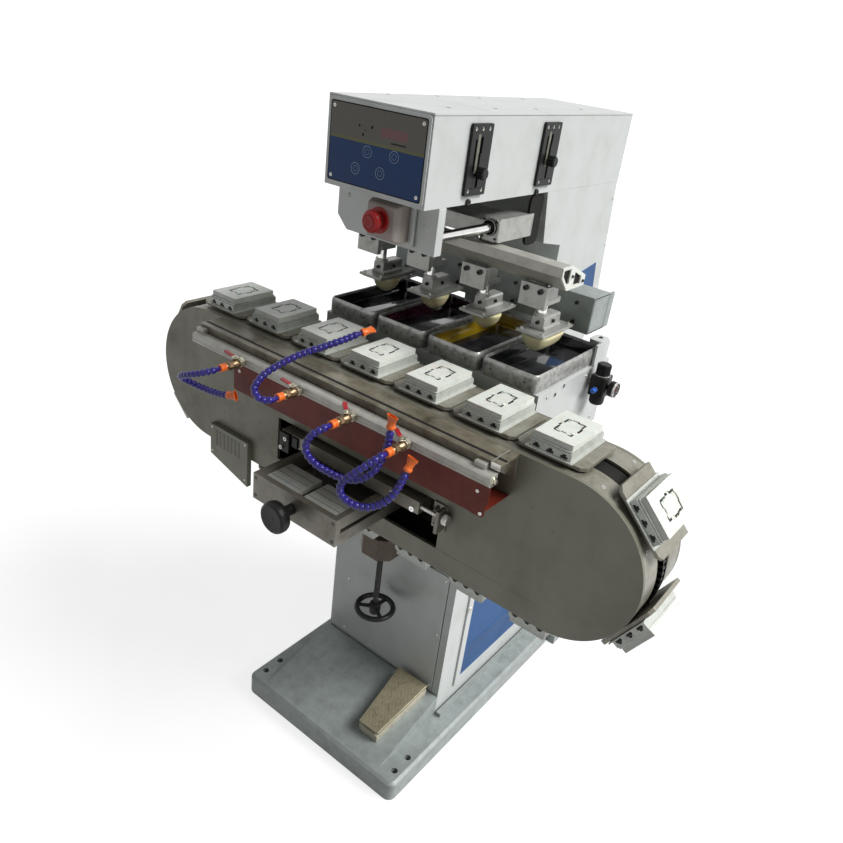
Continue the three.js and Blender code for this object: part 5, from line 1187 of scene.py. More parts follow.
station_places = {
    "top": [((first_x + i * station_pitch, 0, oval_z), (0.0, 0.0, 0.0), 1.0) for i in range(7)],
    "bottom": [((first_back_x - i * station_pitch, 0, oval_z), (0.0, math.pi, 0.0), 1.0) for i in range(7)],
    "right": [((oval_x, 0, oval_z), (0.0, math.radians(a), 0.0), 1.0) for a in (44.55, 119.0)],
    "left": [((-oval_x, 0, oval_z), (0.0, -math.radians(a), 0.0), 1.0) for a in (135.45, 61.0)],
}
with_jig = {run: places[:1] if run == "left" else places for run, places in station_places.items()}
print("stations:", {run: len(places) for run, places in station_places.items()})


# %% Station parts
slot_xs = (-block_wide / 3, 0, block_wide / 3)


def slat():
    corner = 10
    return Shape().prism("z", [
        (-slat_wide / 2, slat_y1), (-slat_wide / 2, slat_y0 + corner), (-slat_wide / 2 + corner, slat_y0),
        (slat_wide / 2 - corner, slat_y0), (slat_wide / 2, slat_y0 + corner), (slat_wide / 2, slat_y1),
    ], slat_radius, block_radius)


def slotted_block():
    """Extruded block: each T-slot is a hole in its outline, wide inside and narrow towards the jig."""
    low, high = block_radius + 0.1, jig_radius - 0.1
    slots = []
    for x in slot_xs:
        slots.append(shifted(x, low, [
            (-7, 4), (7, 4), (7, 9.5), (3.6, 9.5), (3.6, 13), (-3.6, 13), (-3.6, 9.5), (-7, 9.5),
        ]))
    outline = rectangle(-block_wide / 2, block_wide / 2, low, high)
    block = Shape().prism("y", [outline, *slots], block_y0, block_y1)
    foot = block_wide / 2 + 6
    return block.box(-foot, foot, block_y0 - 5, block_y1 + 3, low, low + 2.4)


def slot_shade_blocks():
    """Near-black blocks inside the T-slots: painted shade for their hollows."""
    shape = Shape()
    for x in slot_xs:
        shape.box(x - 6.9, x + 6.9, block_y0 + 5, block_y1 - 5, block_radius + 4.3, block_radius + 9.4)
        shape.box(x - 3.5, x + 3.5, block_y0 + 4, block_y1 - 4, block_radius + 8.4, block_radius + 13)
    return shape


def jig_base():
    half = block_wide / 2 - 1
    outline = rounded(-half, half, jig_y0 - 3, jig_y1 + 3, 1.5, 3)
    return Shape().prism("z", outline, jig_radius + 0.1, jig_radius + 4.2)


jig_middle = (jig_y0 + jig_y1) / 2
recess_outer = [
    (-20, -31), (-6, -31), (-4, -28), (8, -28), (10, -32), (20, -32), (20, -12), (23, -9), (23, 8), (20, 12),
    (20, 31), (5, 31), (2, 34), (-9, 34), (-12, 31), (-20, 31), (-20, 14), (-23, 11), (-23, -4), (-20, -8),
]
recess_inner = [(u * 0.78, v * 0.86) for u, v in recess_outer]


def jig_top():
    """White jig: a lower layer, and an upper layer that is cut through along the recess."""
    ring = [(u, jig_middle + v) for u, v in recess_outer]
    island = [(u, jig_middle + v) for u, v in recess_inner]
    outline = rounded(-jig_wide / 2, jig_wide / 2, jig_y0, jig_y1, 2, 3)
    shape = Shape().prism("z", outline, jig_radius + 4.3, station_radius - 2.6)
    shape.prism("z", [outline, ring], station_radius - 2.6, station_radius)
    return shape.prism("z", island, station_radius - 2.7, station_radius - 0.2)


def jig_marks():
    """Dark residue, clips and pins in and beside the recess."""
    shape = Shape()
    floor_z, rim_z = station_radius - 2.6, station_radius - 0.4
    pins = (
        (-20, -22), (-20, 20), (19, -24), (19, 24), (0, -29.5), (4, 31), (-21.3, 3), (21.3, -1), (-9, 12),
        (8, -13),
    )
    for u, v in pins:
        shape.rod("z", u * 0.9, jig_middle + v * 0.94, 3.3, floor_z, rim_z, 10)
    bars = (
        (-7, -29.6, 17, 3.2), (8, 30.0, 15, 3.2), (-19.2, -14, 3.0, 13), (19.6, 13, 3.0, 15),
        (-19, 27, 8, 3.4), (17, -28, 7, 3.4), (-11, 9, 7, 2.4), (-11, 12, 2.2, 9), (10, -10, 8, 2.4),
        (11, -14, 2.2, 8), (2, 20, 9, 2.0),
    )
    for u, v, wide, deep in bars:
        wide, deep = wide + 1.2, deep + 1.2
        middle_y = jig_middle + v * 0.96
        shape.box(u - wide / 2, u + wide / 2, middle_y - deep / 2, middle_y + deep / 2, floor_z, rim_z)
    return shape


station_parts = [
    ("slats", slat, slat_steel, station_places, 0.8, 2),
    ("blocks", slotted_block, block_aluminium, with_jig, 0.5, 1),
    ("slot_inside", slot_shade_blocks, black_steel, with_jig, 0, 1),
    ("jig_bases", jig_base, block_aluminium, with_jig, 0.6, 1),
    ("jigs", jig_top, jig_white, with_jig, 0.9, 2),
    ("jig_marks", jig_marks, black_steel, with_jig, 0.2, 1),
]
for run, places in station_places.items():
    for label, make, finish, spots, edge, steps in station_parts:
        stands_for = f"station_run_{run}" if label == "jigs" else ()
        repeated(f"{run}_{label}", make(), spots[run], finish, edge, f"stations_{run}", stands_for, steps)
print("station parts made for", len(station_places), "runs")

# %% [markdown]
# ## Screws on the stations and the chain under them
# Black cap screws sit in the mouths of the T-slots, and two pairs hold each jig. The chain shows between
# the slats as a dark strip of links, so each run gets a row of link plates along its own stretch.

# %% Station screws and chain
def turned_place(place, x, y, radius):
    """A place on a station, from its own x, y and distance."""
    centre, turn, size = place
    return Vector(centre) + Euler(turn).to_matrix() @ Vector((x, y, radius))


for run, places in with_jig.items():
    front_spots, top_spots = [], []
    for place in places:
        turn = Euler(place[1]).to_matrix()
        out = (turn @ Euler((quarter, 0, 0)).to_matrix()).to_euler()
        for x in slot_xs:
            front_spots.append((turned_place(place, x, block_y0 + 4.6, block_radius + 7), tuple(out), 0.72))
        for x in (-13.5, 13.5):
            for y in (jig_middle - 20, jig_middle + 20):
                top_spots.append((turned_place(place, x, y, station_radius - 0.4), place[1], 0.40))
    repeated(f"{run}_slot_screws", cap_head(), front_spots, black_steel, body=f"stations_{run}")
    repeated(f"{run}_jig_screws", flush_head(), top_spots, black_steel, body=f"stations_{run}")


def chain_link():
    """Two link plates and a roller, one link long, lying along X."""
    shape = Shape()
    for y in (-9, 7):
        shape.prism("y", [*arc(6.4, 0, 4.6, -90, 90, 6), *arc(-6.4, 0, 4.6, 90, 270, 6)], y, y + 2)
    return shape.rod("y", 6.4, 0, 3.6, -7, 7, 12)


def spread(low, high, step):
    """Places a step apart, as many as fit, in the middle between two limits."""
    count = int((high - low) / step)
    return [(low + high) / 2 + (i - (count - 1) / 2) * step for i in range(count)]


chain_radius = 169.5
chain_y = (slot_front + slot_back) / 2
link_pitch = 12.7
margin = 33 / chain_radius
for run, places in station_places.items():
    spots = []
    if run in ("top", "bottom"):
        x0, x1 = span(f"station_run_{run}")[:2]
        z = oval_z + (chain_radius if run == "top" else -chain_radius)
        for x in spread(x0 + slat_wide / 4, x1 - slat_wide / 4, link_pitch):
            spots.append(((x, chain_y, z), (0.0, 0.0, 0.0), 1.0))
    else:
        turns = sorted(place[1][1] for place in places)
        for turn in spread(turns[0] - margin, turns[1] + margin, link_pitch / chain_radius):
            x, z = places[0][0][0] + chain_radius * math.sin(turn), oval_z + chain_radius * math.cos(turn)
            spots.append(((x, chain_y, z), (0.0, turn, 0.0), 1.0))
    repeated(f"{run}_chain", chain_link(), spots, black_steel, 0, f"stations_{run}")
print("chain links at radius", chain_radius)

# %% [markdown]
# ## Drive housing
# A shallow folded box with louvres hides the drive at the left end. The louvres are slots in the sheet with
# a lip pressed out above each. The lips repeat along the sheet, so they are copies.

# %% Drive housing
from_node("drive_housing", plate_steel, 1.2, "conveyor")
drive_x0, drive_x1, drive_y0, _, drive_z0, drive_z1 = span("drive_housing")
louvre_x, louvre_pitch, louvre_wide = drive_x0 + 20, 14.0, 7.0
louvre_top = drive_z1 - 12
lip = Shape().loft([
    [(-3.4, 0, 0), (3.4, 0, 0), (3.4, 0, -42), (-3.4, 0, -42)],
    [(-3.4, -0.4, -1), (-1.6, -2.2, -2), (-1.6, -2.2, -40), (-3.4, -0.4, -41)],
])
lips = [((louvre_x + louvre_wide / 2 + i * louvre_pitch, drive_y0, louvre_top), (0.0, 0.0, 0.0), 1.0)
        for i in range(7)]
repeated("louvre_lips", lip, lips, plate_steel, body="conveyor")
behind = Shape().box(drive_x0 + 8, drive_x1 - 8, drive_y0 + 4, drive_y0 + 5, louvre_top - 46, louvre_top + 3)
piece("louvre_shadow", behind, dark_inside, 0.2, "conveyor")
screws("drive_screws", [(x, drive_y0, z, "front") for x, z in (
    (drive_x0 + 8, drive_z1 - 8), (drive_x1 - 8, drive_z1 - 8), (drive_x0 + 8, drive_z1 - 76),
    (drive_x1 - 8, drive_z0 + 18),
)], 3.0, "round", zinc, "conveyor")
print("louvres:", len(lips))

# %% [markdown]
# ## Cross slide under the conveyor
# A box frame reaches out towards the operator. A round black knob turns a lead screw in it, and a saddle
# slides on it and carries the conveyor. The frame is a milled box, so a copy of the CAD mesh with broken
# edges is enough. A screw thread is a spiral with a small profile swept along it, which a tree makes for
# any length and radius.

# %% Screw threads
threads = Modeller("screw_thread")
thread_turns = threads.input("Turns")
thread_radius = threads.input("Thread radius")
thread_length = threads.input("Thread length")
thread_depth = threads.input("Thread depth")
helix = threads.add("GeometryNodeCurveSpiral", {}, {
    "Resolution": 20, "Rotations": thread_turns, "Start Radius": thread_radius, "End Radius": thread_radius,
    "Height": thread_length,
})
thread_profile = threads.add("GeometryNodeCurvePrimitiveCircle", {"mode": "RADIUS"}, {
    "Resolution": 4, "Radius": thread_depth,
})
threads.close(threads.add("GeometryNodeCurveToMesh", {}, {
    "Curve": helix, "Profile Curve": thread_profile, "Fill Caps": True,
}))


def thread(name, place, way, radius, length, pitch, finish, body):
    """A thread from a place, running the way that a screw head would face."""
    mesh = bpy.data.meshes.new(name)
    mesh.from_pydata([(0, 0, 0)], [], [])
    thing = threads.run(name, mesh, finish, {
        "Turns": length / pitch, "Thread radius": radius * MM, "Thread length": length * MM,
        "Thread depth": pitch * 0.32 * MM,
    })
    thing.data.transform(Matrix.Translation(Vector(place) * MM) @ Euler(facing[way]).to_matrix().to_4x4())
    softened(thing, 0, 1, 40)
    return dress(thing, finish, body)


print("thread tree has", len(threads.graph.nodes), "nodes")

# %% Box frame and saddle
knob_x, knob_z = -22.0, 772.0
frame_x0, frame_x1, frame_y0, frame_y1, frame_z0, frame_z1 = span("cross_slide_frame")
from_node("cross_slide_frame", frame_steel, body="knee")
frame_corners = grid((frame_x0 + 8, frame_x1 - 8), frame_y0, (frame_z0 + 10, frame_z1 - 10), "front")
screws("frame_front_screws", frame_corners, 4.0, "flush", black_steel, "knee")
# A near-black sheet in the frame's slot: painted shade.
frame_slot_shade = Shape().box(frame_x1 - 6.5, frame_x1 - 4.5, frame_y0 + 15, plate_front - 1, 768.5, 777.5)
piece("frame_slot_dark", frame_slot_shade, dark_inside, 0.2, "knee")
guides = Shape()
for x in (frame_x0 + 22, frame_x1 - 52):
    guides.box(x, x + 30, frame_y0 + 15, frame_y1 - 16, frame_z0 + 10.2, frame_z0 + 24)
piece("frame_guides", guides, zinc, 0.6, "knee")
end_plates, end_grooves = Shape(), Shape()
plate_top = frame_z1 - 9
for x0, x1 in ((frame_x0 + 15, knob_x - 8), (knob_x + 8, frame_x1 - 15)):
    end_plates.box(x0, x1, frame_y0 + 16, frame_y0 + 96, plate_top - 12, plate_top)
    for y in (frame_y0 + 36, frame_y0 + 56, frame_y0 + 76):
        end_grooves.box(x0 + 2, x1 - 2, y - 0.5, y + 0.5, plate_top - 0.5, plate_top + 0.12)
piece("frame_end_plates", end_plates, jig_white, 1.0, "knee")
piece("frame_end_grooves", end_grooves, dark_inside, 0, "knee")

from_node("cross_saddle", frame_steel, 0.8, "saddle")
saddle_front = -330.0
stop_block = Shape().box(-199, -168, saddle_front - 9, saddle_front + 0.2, 789, 837)
stop_block.box(-163, -146, saddle_front - 5, saddle_front + 0.2, 809, 835)
piece("saddle_stop_block", stop_block, black_plastic, 1.2, "saddle")
stop_places = [(x, saddle_front - 9, z, "front") for x, z in ((-190, 800), (-177, 826))]
screws("saddle_stop_screws", stop_places, 5.0, "cap", zinc, "saddle")
adjuster_places = [(x, saddle_front, z, "front") for x, z in ((131, 815), (131, 830), (186, 818))]
screws("saddle_rail_screws", adjuster_places, 6.0, "cap", chrome, "saddle")
print("frame front at", round(frame_y0, 1))

# %% Knob and lead screw of the cross slide
knob_y0 = span("in_out_knob")[2]
knob_long = frame_y0 - 0.4 - knob_y0
knob = Shape().lathe("y", knob_x, knob_z, [
    (0, 1.5), (12, 1.2), (24, 0.2), (29, 0), (33.5, 3.5), (35, 8), (35, 18), (33, 23), (26, 26), (15, 27.5),
    (13.5, 34), (12, 44), (12, knob_long), (0, knob_long),
], 64, start=knob_y0)
piece("in_out_knob_turned", knob, black_plastic, 0, "in_out_screw", "in_out_knob")
lead = Shape().rod("y", knob_x, knob_z, 6.2, frame_y0 - 0.5, frame_y1 - 19, 28)
piece("in_out_screw_core", lead, black_steel, 0.3, "in_out_screw")
thread_start = (knob_x, frame_y0 + 15, knob_z)
thread("in_out_screw_thread", thread_start, "back", 6.1, 355, 4.0, black_steel, "in_out_screw")
knob_middle = [(knob_x, knob_y0 + 1.2, knob_z, "front")]
screws("in_out_knob_screw", knob_middle, 4.5, "flush", black_steel, "in_out_screw")
print("knob front at", round(knob_y0, 1))

# %% Side screw, its bracket and chrome knob
side_y, side_z = -320.0, 823.0
bracket_x0, bracket_x1 = 245.0, 253.0
bracket = Shape().prism("x", [
    [(-335, 790), (plate_front + 0.5, 790), (plate_front + 0.5, 842), (-335, 842)],
    circle(side_y, side_z, 5.5, 24),
], bracket_x0, bracket_x1)
bracket.box(bracket_x0 - 22, bracket_x1 + 4, plate_front - 4, plate_front - 0.2, 786, 846)
piece("side_screw_bracket", bracket, frame_steel, 1.0, "conveyor")
bracket_places = grid((bracket_x0 - 12,), plate_front - 4, (797, 835), "front")
screws("side_bracket_screws", bracket_places, 4.0, "cap", black_steel, "conveyor")
side_end = span("side_knob")[1]
side_knob = Shape().lathe("x", side_y, side_z, [
    (0, bracket_x1 + 0.4), (7, bracket_x1 + 0.4), (7, bracket_x1 + 2), (10.6, bracket_x1 + 2.6),
    (11, bracket_x1 + 4), (11, side_end - 2), (10, side_end - 0.6), (7, side_end), (0, side_end),
], 40)
piece("side_knob_turned", side_knob, zinc, 0, "side_screw", "side_knob")
side_rod = Shape().rod("x", side_y, side_z, 4.5, 181, bracket_x1 + 1, 24)
piece("side_screw_rod", side_rod, zinc, 0.2, "side_screw")
thread("side_screw_thread", (200.5, side_y, side_z), "right", 4.5, 44, 2.5, zinc, "side_screw")
knurl = Shape().prism("x", [(-0.5, 0), (0.5, 0), (0, 0.6)], bracket_x1 + 4, side_end - 2.4)
spots = []
for i in range(36):
    angle = math.tau * i / 36
    point = (0, side_y + 10.9 * math.cos(angle), side_z + 10.9 * math.sin(angle))
    spots.append((point, (angle - quarter, 0.0, 0.0), 1.0))
repeated("side_knob_knurl", knurl, spots, zinc, 0, "side_screw")
print("side knob ends at", round(side_end, 1))

# %% [markdown]
# ## Knee and handwheel
# A brown casting sticks out of the pedestal and holds the nut of the lift screw. Castings have rounder
# edges and a coarser skin than milled parts. The handwheel has a round rim, three tapered spokes and a hub.

# %% Knee, lift screw and handwheel
from_node("knee_bracket", cast_knee, 3.0, "knee", steps=3)
screw_x, screw_y = 10.0, -182.0
knee_z0 = span("knee_bracket")[4]
boss = Shape().tube("z", screw_x, screw_y, 26, 8.4, knee_z0 - 9, knee_z0 + 0.5, 40)
piece("knee_bosses", boss, cast_knee, 1.2, "knee")
wheel_z, wheel_radius = 354.0, 54.0
rim = [(wheel_radius - 7.5 + 7.2 * u, wheel_z + 6.6 * v) for u, v in circle(0, 0, 1, 16)]
wheel = Shape().lathe("z", screw_x, screw_y, rim, 72, closed=True)
wheel.lathe("z", screw_x, screw_y, [
    (8.2, -14), (13, -15), (14, -13), (15.5, 0), (14, 13), (13, 15), (8.2, 15),
], 40, start=wheel_z)
spoke_rule = ((11, 8, 4.6, 2), (20, 6.2, 4.2, 1), (32, 5.4, 3.8, 0), (44, 7, 4.4, 0))
for i in range(3):
    angle = quarter + math.tau * i / 3
    turn = Matrix.Translation((screw_x, screw_y, wheel_z)) @ Matrix.Rotation(angle, 4, "Z")
    rings = []
    for distance, wide, thick, rise in spoke_rule:
        rings.append([(distance, wide * u, rise + thick * v) for u, v in circle(0, 0, 1, 16)])
    spoke = Shape().loft(rings).moved(turn)
    wheel.add(spoke.points, spoke.faces)
piece("lift_wheel_body", wheel, black_plastic, 0, "lift_wheel", "lift_handwheel")
screw_top = span("lift_handwheel")[5]
lift = Shape().lathe("z", screw_x, screw_y, [
    (6, wheel_z - 17), (7.4, wheel_z - 16), (7.4, wheel_z + 34), (6.6, wheel_z + 35), (6.6, screw_top - 4),
    (11.5, screw_top - 3.8), (11.5, screw_top - 0.4), (10, screw_top),
], 36)
piece("lift_screw_core", lift, black_steel, 0, "lift_wheel")
thread_start = (screw_x, screw_y, wheel_z + 36)
thread_long = screw_top - wheel_z - 44
thread("lift_screw_thread", thread_start, "up", 6.5, thread_long, 4.0, black_steel, "lift_wheel")
set_place = [(screw_x, screw_y - 14.4, wheel_z + 9, "front")]
screws("wheel_set_screw", set_place, 3.0, "cap", black_steel, "lift_wheel")
print("wheel", 2 * wheel_radius, "mm across")

# %% [markdown]
# ## Base, pedestal, cover and door
# The pedestal stands on a welded pan, whose front slopes up under the pedal. Sheet parts get a slightly
# larger bevel, which reads as a folded edge. The door is a blue pane in a light frame, with a folded ridge
# near its foot.

# %% Base and pedestal
base_x0, base_x1, base_y0, base_y1, base_z0, _ = span("base_frame")
# The pan takes the darker grey, which is painted shade.
from_node("base_frame", base_paint, 3.5, steps=3)
# Near-black rims and discs in the bolt holes: painted shade in them.
rings = Shape()
base_top = 58.0
for x in (-233, 233):
    for y in (-322, -270, 360):
        rings.tube("z", x, y, 7.9, 6.9, base_top - 3, base_top + 0.15, 28)
        rings.rod("z", x, y, 7.0, 4, 10, 24)
piece("bolt_hole_rims", rings, dark_inside, 0)
from_node("pedestal_shell", grey_paint, 1.6)
pedestal_front = -110.0
from_node("front_cover", grey_paint)
cover_x0, cover_x1, cover_y0, _, cover_z0, cover_z1 = span("front_cover")
lip = Shape().box(cover_x0 + 51, cover_x1 - 52, cover_y0 - 2.2, cover_y0 + 0.5, cover_z1 - 6, cover_z1 + 1.4)
piece("cover_lip", lip, aluminium, 0.6)
seams = Shape()
for x0, x1, z0, z1 in (
    (cover_x0 - 1.2, cover_x0 - 0.1, cover_z0, cover_z1),
    (cover_x1 + 0.1, cover_x1 + 1.2, cover_z0, cover_z1),
    (cover_x0 - 1.2, cover_x1 + 1.2, cover_z0 - 1.2, cover_z0 - 0.1),
):
    seams.box(x0, x1, pedestal_front - 0.5, pedestal_front + 0.5, z0, z1)
piece("cover_seams", seams, dark_inside, 0)
cover_zs = (cover_z0 + 12, (cover_z0 + cover_z1) / 2, cover_z1 - 14)
screws("cover_screws", grid((cover_x0 + 9, cover_x1 - 9), cover_y0, cover_zs, "front"), 3.2)
screws("foot_bolts", [(x, 448, base_z0 + 30, "up") for x in (base_x0 + 25, base_x1 - 25)], 7.0, "cap")
print("base", round(base_x1 - base_x0), "by", round(base_y1 - base_y0), "mm")

# %% Rear panel
pedestal_back = span("pedestal_shell")[3]
rear_x, rear_z0, rear_z1 = 165.0, 150.0, 820.0
rear_y = pedestal_back + 2.4
rear_outline = rounded(-rear_x, rear_x, rear_z0, rear_z1, 5, 4)
piece("rear_panel", Shape().prism("y", rear_outline, pedestal_back + 0.2, rear_y), grey_paint, 0.8)
rear_zs = (rear_z0 + 14, (rear_z0 + rear_z1) / 2, rear_z1 - 14)
screws("rear_panel_screws", grid((12 - rear_x, rear_x - 12), rear_y, rear_zs, "back"), 3.6)
rear_lip = Shape().loft([
    [(-45, 0, -5), (45, 0, -5), (45, 0, 5), (-45, 0, 5)],
    [(-42, 4.5, -4), (42, 4.5, -4), (42, 1.2, 4), (-42, 1.2, 4)],
])
rear_lips = [((x, pedestal_back + 2.3, z), (0.0, 0.0, 0.0), 1.0)
             for x in (-70, 70) for z in (rear_z0 + 50 + 18 * i for i in range(9))]
repeated("rear_louvres", rear_lip, rear_lips, grey_paint, 0.8)
print("rear louvres:", len(rear_lips))

# %% Side door
door_x0, door_x1, door_y0, door_y1, door_z0, door_z1 = span("side_door")
door_rim, pane_gap = 22.0, 0.4
frame_loop = rounded(door_y0, door_y1, door_z0, door_z1, 4, 3)
pane_loop = rectangle(door_y0 + door_rim, door_y1 - door_rim, door_z0 + door_rim, door_z1 - door_rim)
door = Shape().prism("x", [frame_loop, pane_loop], door_x0, door_x1)
piece("door_frame", door, grey_paint, 1.0, instead_of="side_door")
ridge_rise = 120
pane_low, pane_high = door_rim + pane_gap, door_z1 - door_z0 - door_rim - pane_gap
pane = Shape().prism("y", shifted(door_x0, door_z0, [
    (0.2, pane_low), (2.0, pane_low), (2.0, ridge_rise - 9), (4.6, ridge_rise), (2.0, ridge_rise + 9),
    (2.0, pane_high), (0.2, pane_high),
]), door_y0 + door_rim + pane_gap, door_y1 - door_rim - pane_gap)
piece("door_pane", pane, blue_paint)
lock_y, lock_z = door_y0 + 11, (door_z0 + door_z1) / 2
lock = Shape().lathe("x", lock_y, lock_z, [(9, -0.2), (9, 1), (8, 2), (0, 2)], 28, start=door_x1)
lock.box(door_x1 + 1.9, door_x1 + 2.4, lock_y - 0.8, lock_y + 0.8, lock_z - 4, lock_z + 4)
piece("door_lock", lock, zinc, 0.2)
hinges = Shape()
for z in (door_z0 + 70, door_z1 - 70):
    hinges.rod("z", door_x0 + 3.5, door_y1 + 4, 3.6, z - 22, z + 22, 20)
piece("door_hinges", hinges, zinc, 0.4)
print("door", round(door_y1 - door_y0), "by", round(door_z1 - door_z0), "mm")

# %% [markdown]
# ## Bed and ink trays
# Four trays stand side by side on the bed. Each is a shallow box with round corners, a rolled shoulder and
# rough rims, and holds a printing plate and a pool of ink. The rim is lofted from rounded outlines at
# several heights, which gives the shoulder its curve. The ink is a thin film that has run up the walls
# unevenly.

# %% Bed
from_node("bed_housing", grey_paint, 1.4)
bed_x0, bed_x1, _, _, _, bed_z1 = span("bed_housing")
screws("bed_wing_screws", both_sides(bed_x1 + 0.1, ((-60, 1030), (120, 1030), (200, 900), (-60, 900))), 4.0)
ear_tops = Shape()
for side in (-1, 1):
    ear_tops.tube("z", side * (bed_x1 - 17), 196, 6, 3.4, bed_z1 - 0.4, bed_z1, 20)
piece("ear_washers", ear_tops, zinc, 0)
ear_places = [(x, 196, bed_z1 - 1.6, "up") for x in (17 - bed_x1, bed_x1 - 17)]
screws("ear_screws", ear_places, 3.6, "cap", black_steel)
print("bed", round(bed_x1 - bed_x0), "mm wide")

# %% Trays
tray_wall, tray_floor, tray_corner = 7.0, 10.0, 16.0
smear_inks = [black_ink, magenta_ink, yellow_ink, black_ink]
yellow_tray = 3


def tray_loops(tray, steps, radius=tray_corner):
    """Round outlines inside a tray's box, from pairs of an inset and a height."""
    x0, x1, y0, y1, _, _ = span(tray)
    loops = []
    for inset, z in steps:
        outline = rounded(x0 + inset, x1 - inset, y0 + inset, y1 - inset, max(radius - inset, 2), 8)
        loops.append([(x, y, z) for x, y in outline])
    return loops


tray_screws = []
for i, smear_ink in enumerate(smear_inks, 1):
    tray = f"ink_tray_{i}"
    x0, x1, y0, y1, z0, z1 = span(tray)
    floor_z = z0 + tray_floor
    rings = tray_loops(tray, [
        (3, z0), (1, z0 + 1), (0, z0 + 4), (0, z1 - 9), (0.8, z1 - 4.5), (2.4, z1 - 1.2), (3.6, z1),
        (5.6, z1), (6.6, z1 - 1.2), (tray_wall, z1 - 4), (tray_wall + 0.4, floor_z + 3),
        (tray_wall + 2, floor_z),
    ])
    piece(f"tray_{i}", Shape().loft(rings), tray_aluminium, 0, instead_of=tray)
    smear = tray_loops(tray, [
        (tray_wall - 0.2, z1 - 7), (tray_wall + 0.5, z1 - 6), (tray_wall + 1.0, floor_z + 4),
        (tray_wall + 4, floor_z + 1.0), (tray_wall + 4, floor_z - 0.4), (tray_wall - 0.2, floor_z - 0.4),
    ])
    piece(f"tray_{i}_ink_wall", Shape().loft(smear, closed=True), smear_ink, 0)
    inset = 24 if i == yellow_tray else 9
    pool_steps = [(inset, floor_z + 0.2), (inset + 0.6, floor_z + 1.4), (inset + 2, floor_z + 1.8)]
    piece(f"tray_{i}_pool", Shape().loft(tray_loops(tray, pool_steps, tray_corner + 8)), black_ink, 0)
    if i == yellow_tray:
        floor_film = Shape().loft(tray_loops(tray, [(9.5, floor_z + 0.05), (10.0, floor_z + 0.8)]))
        piece(f"tray_{i}_ink_floor", floor_film, smear_ink, 0)
    tray_screws += grid((x0 + 28, x1 - 28), y0, (z0 + 20,), "front")
    tray_screws.append(((x0 + x1) / 2, y1, z0 + 20, "back"))
screws("tray_screws", tray_screws, 2.6, "flush", black_steel)
print("trays:", len(smear_inks))

# %% [markdown]
# ## Column and rear cross beam
# The column is a channel of two cut side plates. A blue panel lies on each side, with its rear edge
# parallel to the plate's. The cross beam behind the pads is a plain square tube. The large plates are
# copies of the CAD mesh with softened edges, because their outline is already right.

# %% Column and cross beam
from_node("machine_column", grey_paint, 1.6)
# The cross beam and its end caps take the darker grey, which is painted shade.
from_node("rear_crossbeam", base_paint, 2.0)
column_x = span("machine_column")[1]
blue_outline = [(300, 1171), (451, 1197), (474, 1085), (300, 1060)]
for side, low in (("right", column_x + 0.1), ("left", -column_x - 1.2)):
    piece(f"column_panel_{side}", Shape().prism("x", blue_outline, low, low + 1.1), blue_paint, 0.3)
column_edge = [(880, 416), (1027, 515), (1401, 468)]
rear_screws = []
for z in (900, 1000, 1120, 1240, 1360):
    (low, low_y), (high, high_y) = column_edge[:2] if z < column_edge[1][0] else column_edge[1:]
    y = low_y + (z - low) * (high_y - low_y) / (high - low)
    rear_screws += both_sides(column_x + 0.1, [(y - 8, z)])
screws("column_side_screws", rear_screws, 3.4)
beam_x0, beam_x1, beam_y0, beam_y1, beam_z0, beam_z1 = span("rear_crossbeam")
beam_z = (beam_z0 + beam_z1) / 2
beam_places = grid((-240, -80, 80, 240), beam_y0, (beam_z - 22, beam_z + 22), "front")
screws("beam_front_screws", beam_places, 4.2, "cap", black_steel)
caps = Shape()
cap_outline = rounded(beam_y0 + 1, beam_y1 - 1, beam_z0 + 1, beam_z1 - 1, 6, 4)
for low, high in ((beam_x0, beam_x0 + 3), (beam_x1 - 3, beam_x1)):
    caps.prism("x", cap_outline, low, high)
piece("beam_end_caps", caps, base_paint, 0.6)
cradles = Shape()
for low, high in ((column_x - 12, column_x - 6), (6 - column_x, 12 - column_x)):
    cradles.prism("x", rounded(62, 115.5, 1288, 1398, 16, 6), low, high)
piece("column_cradles", cradles, dark_inside, 0.8)
print("column right side at", column_x)

# %% [markdown]
# ## Head and control panel
# The head is a large sheet box, so its seams, screws and slightly raised lid matter more than its form. The
# panel is a membrane on a plate: grey above and blue below, with a dark red display and four round keys.
# Its rings and lines are thin printed pieces, which stay sharp at any distance, where a picture would blur.

# %% Head shell
head_x0, head_x1, head_y0, head_y1, _, head_z1 = span("head_shell")
from_node("head_shell", grey_paint, 2.4, steps=3)
lid_gap = Shape().prism("z", [
    rectangle(head_x0 - 0.25, head_x1 + 0.25, head_y0 - 0.25, head_y1 + 0.25),
    rectangle(head_x0 + 1, head_x1 - 1, head_y0 + 1, head_y1 - 1),
], head_z1 - 4.2, head_z1 - 3.6)
piece("head_lid_seam", lid_gap, dark_inside, 0)
lid_spots = [(-110, -173), (-101, -26), (-87, 110), (55, -199), (62, -53), (64, 100), (-90, 300), (66, 300)]
lid_screws = Shape()
for x, y in lid_spots:
    lid_screws.rod("z", x, y, 5.0, head_z1 - 1, head_z1 + 0.04, 20)
piece("head_lid_screws", lid_screws, dark_inside, 0)
edge_places = [(x, y, 1406, way) for x, way in ((head_x1, "right"), (head_x0, "left")) for y in (-194, 59)]
screws("head_side_screws", edge_places, 5.5, "cap", black_steel)
screws("head_rear_screws", grid((-104, 104), head_y1, (1416, 1544), "back"), 4.0)
print("head", round(head_y1 - head_y0), "mm deep")

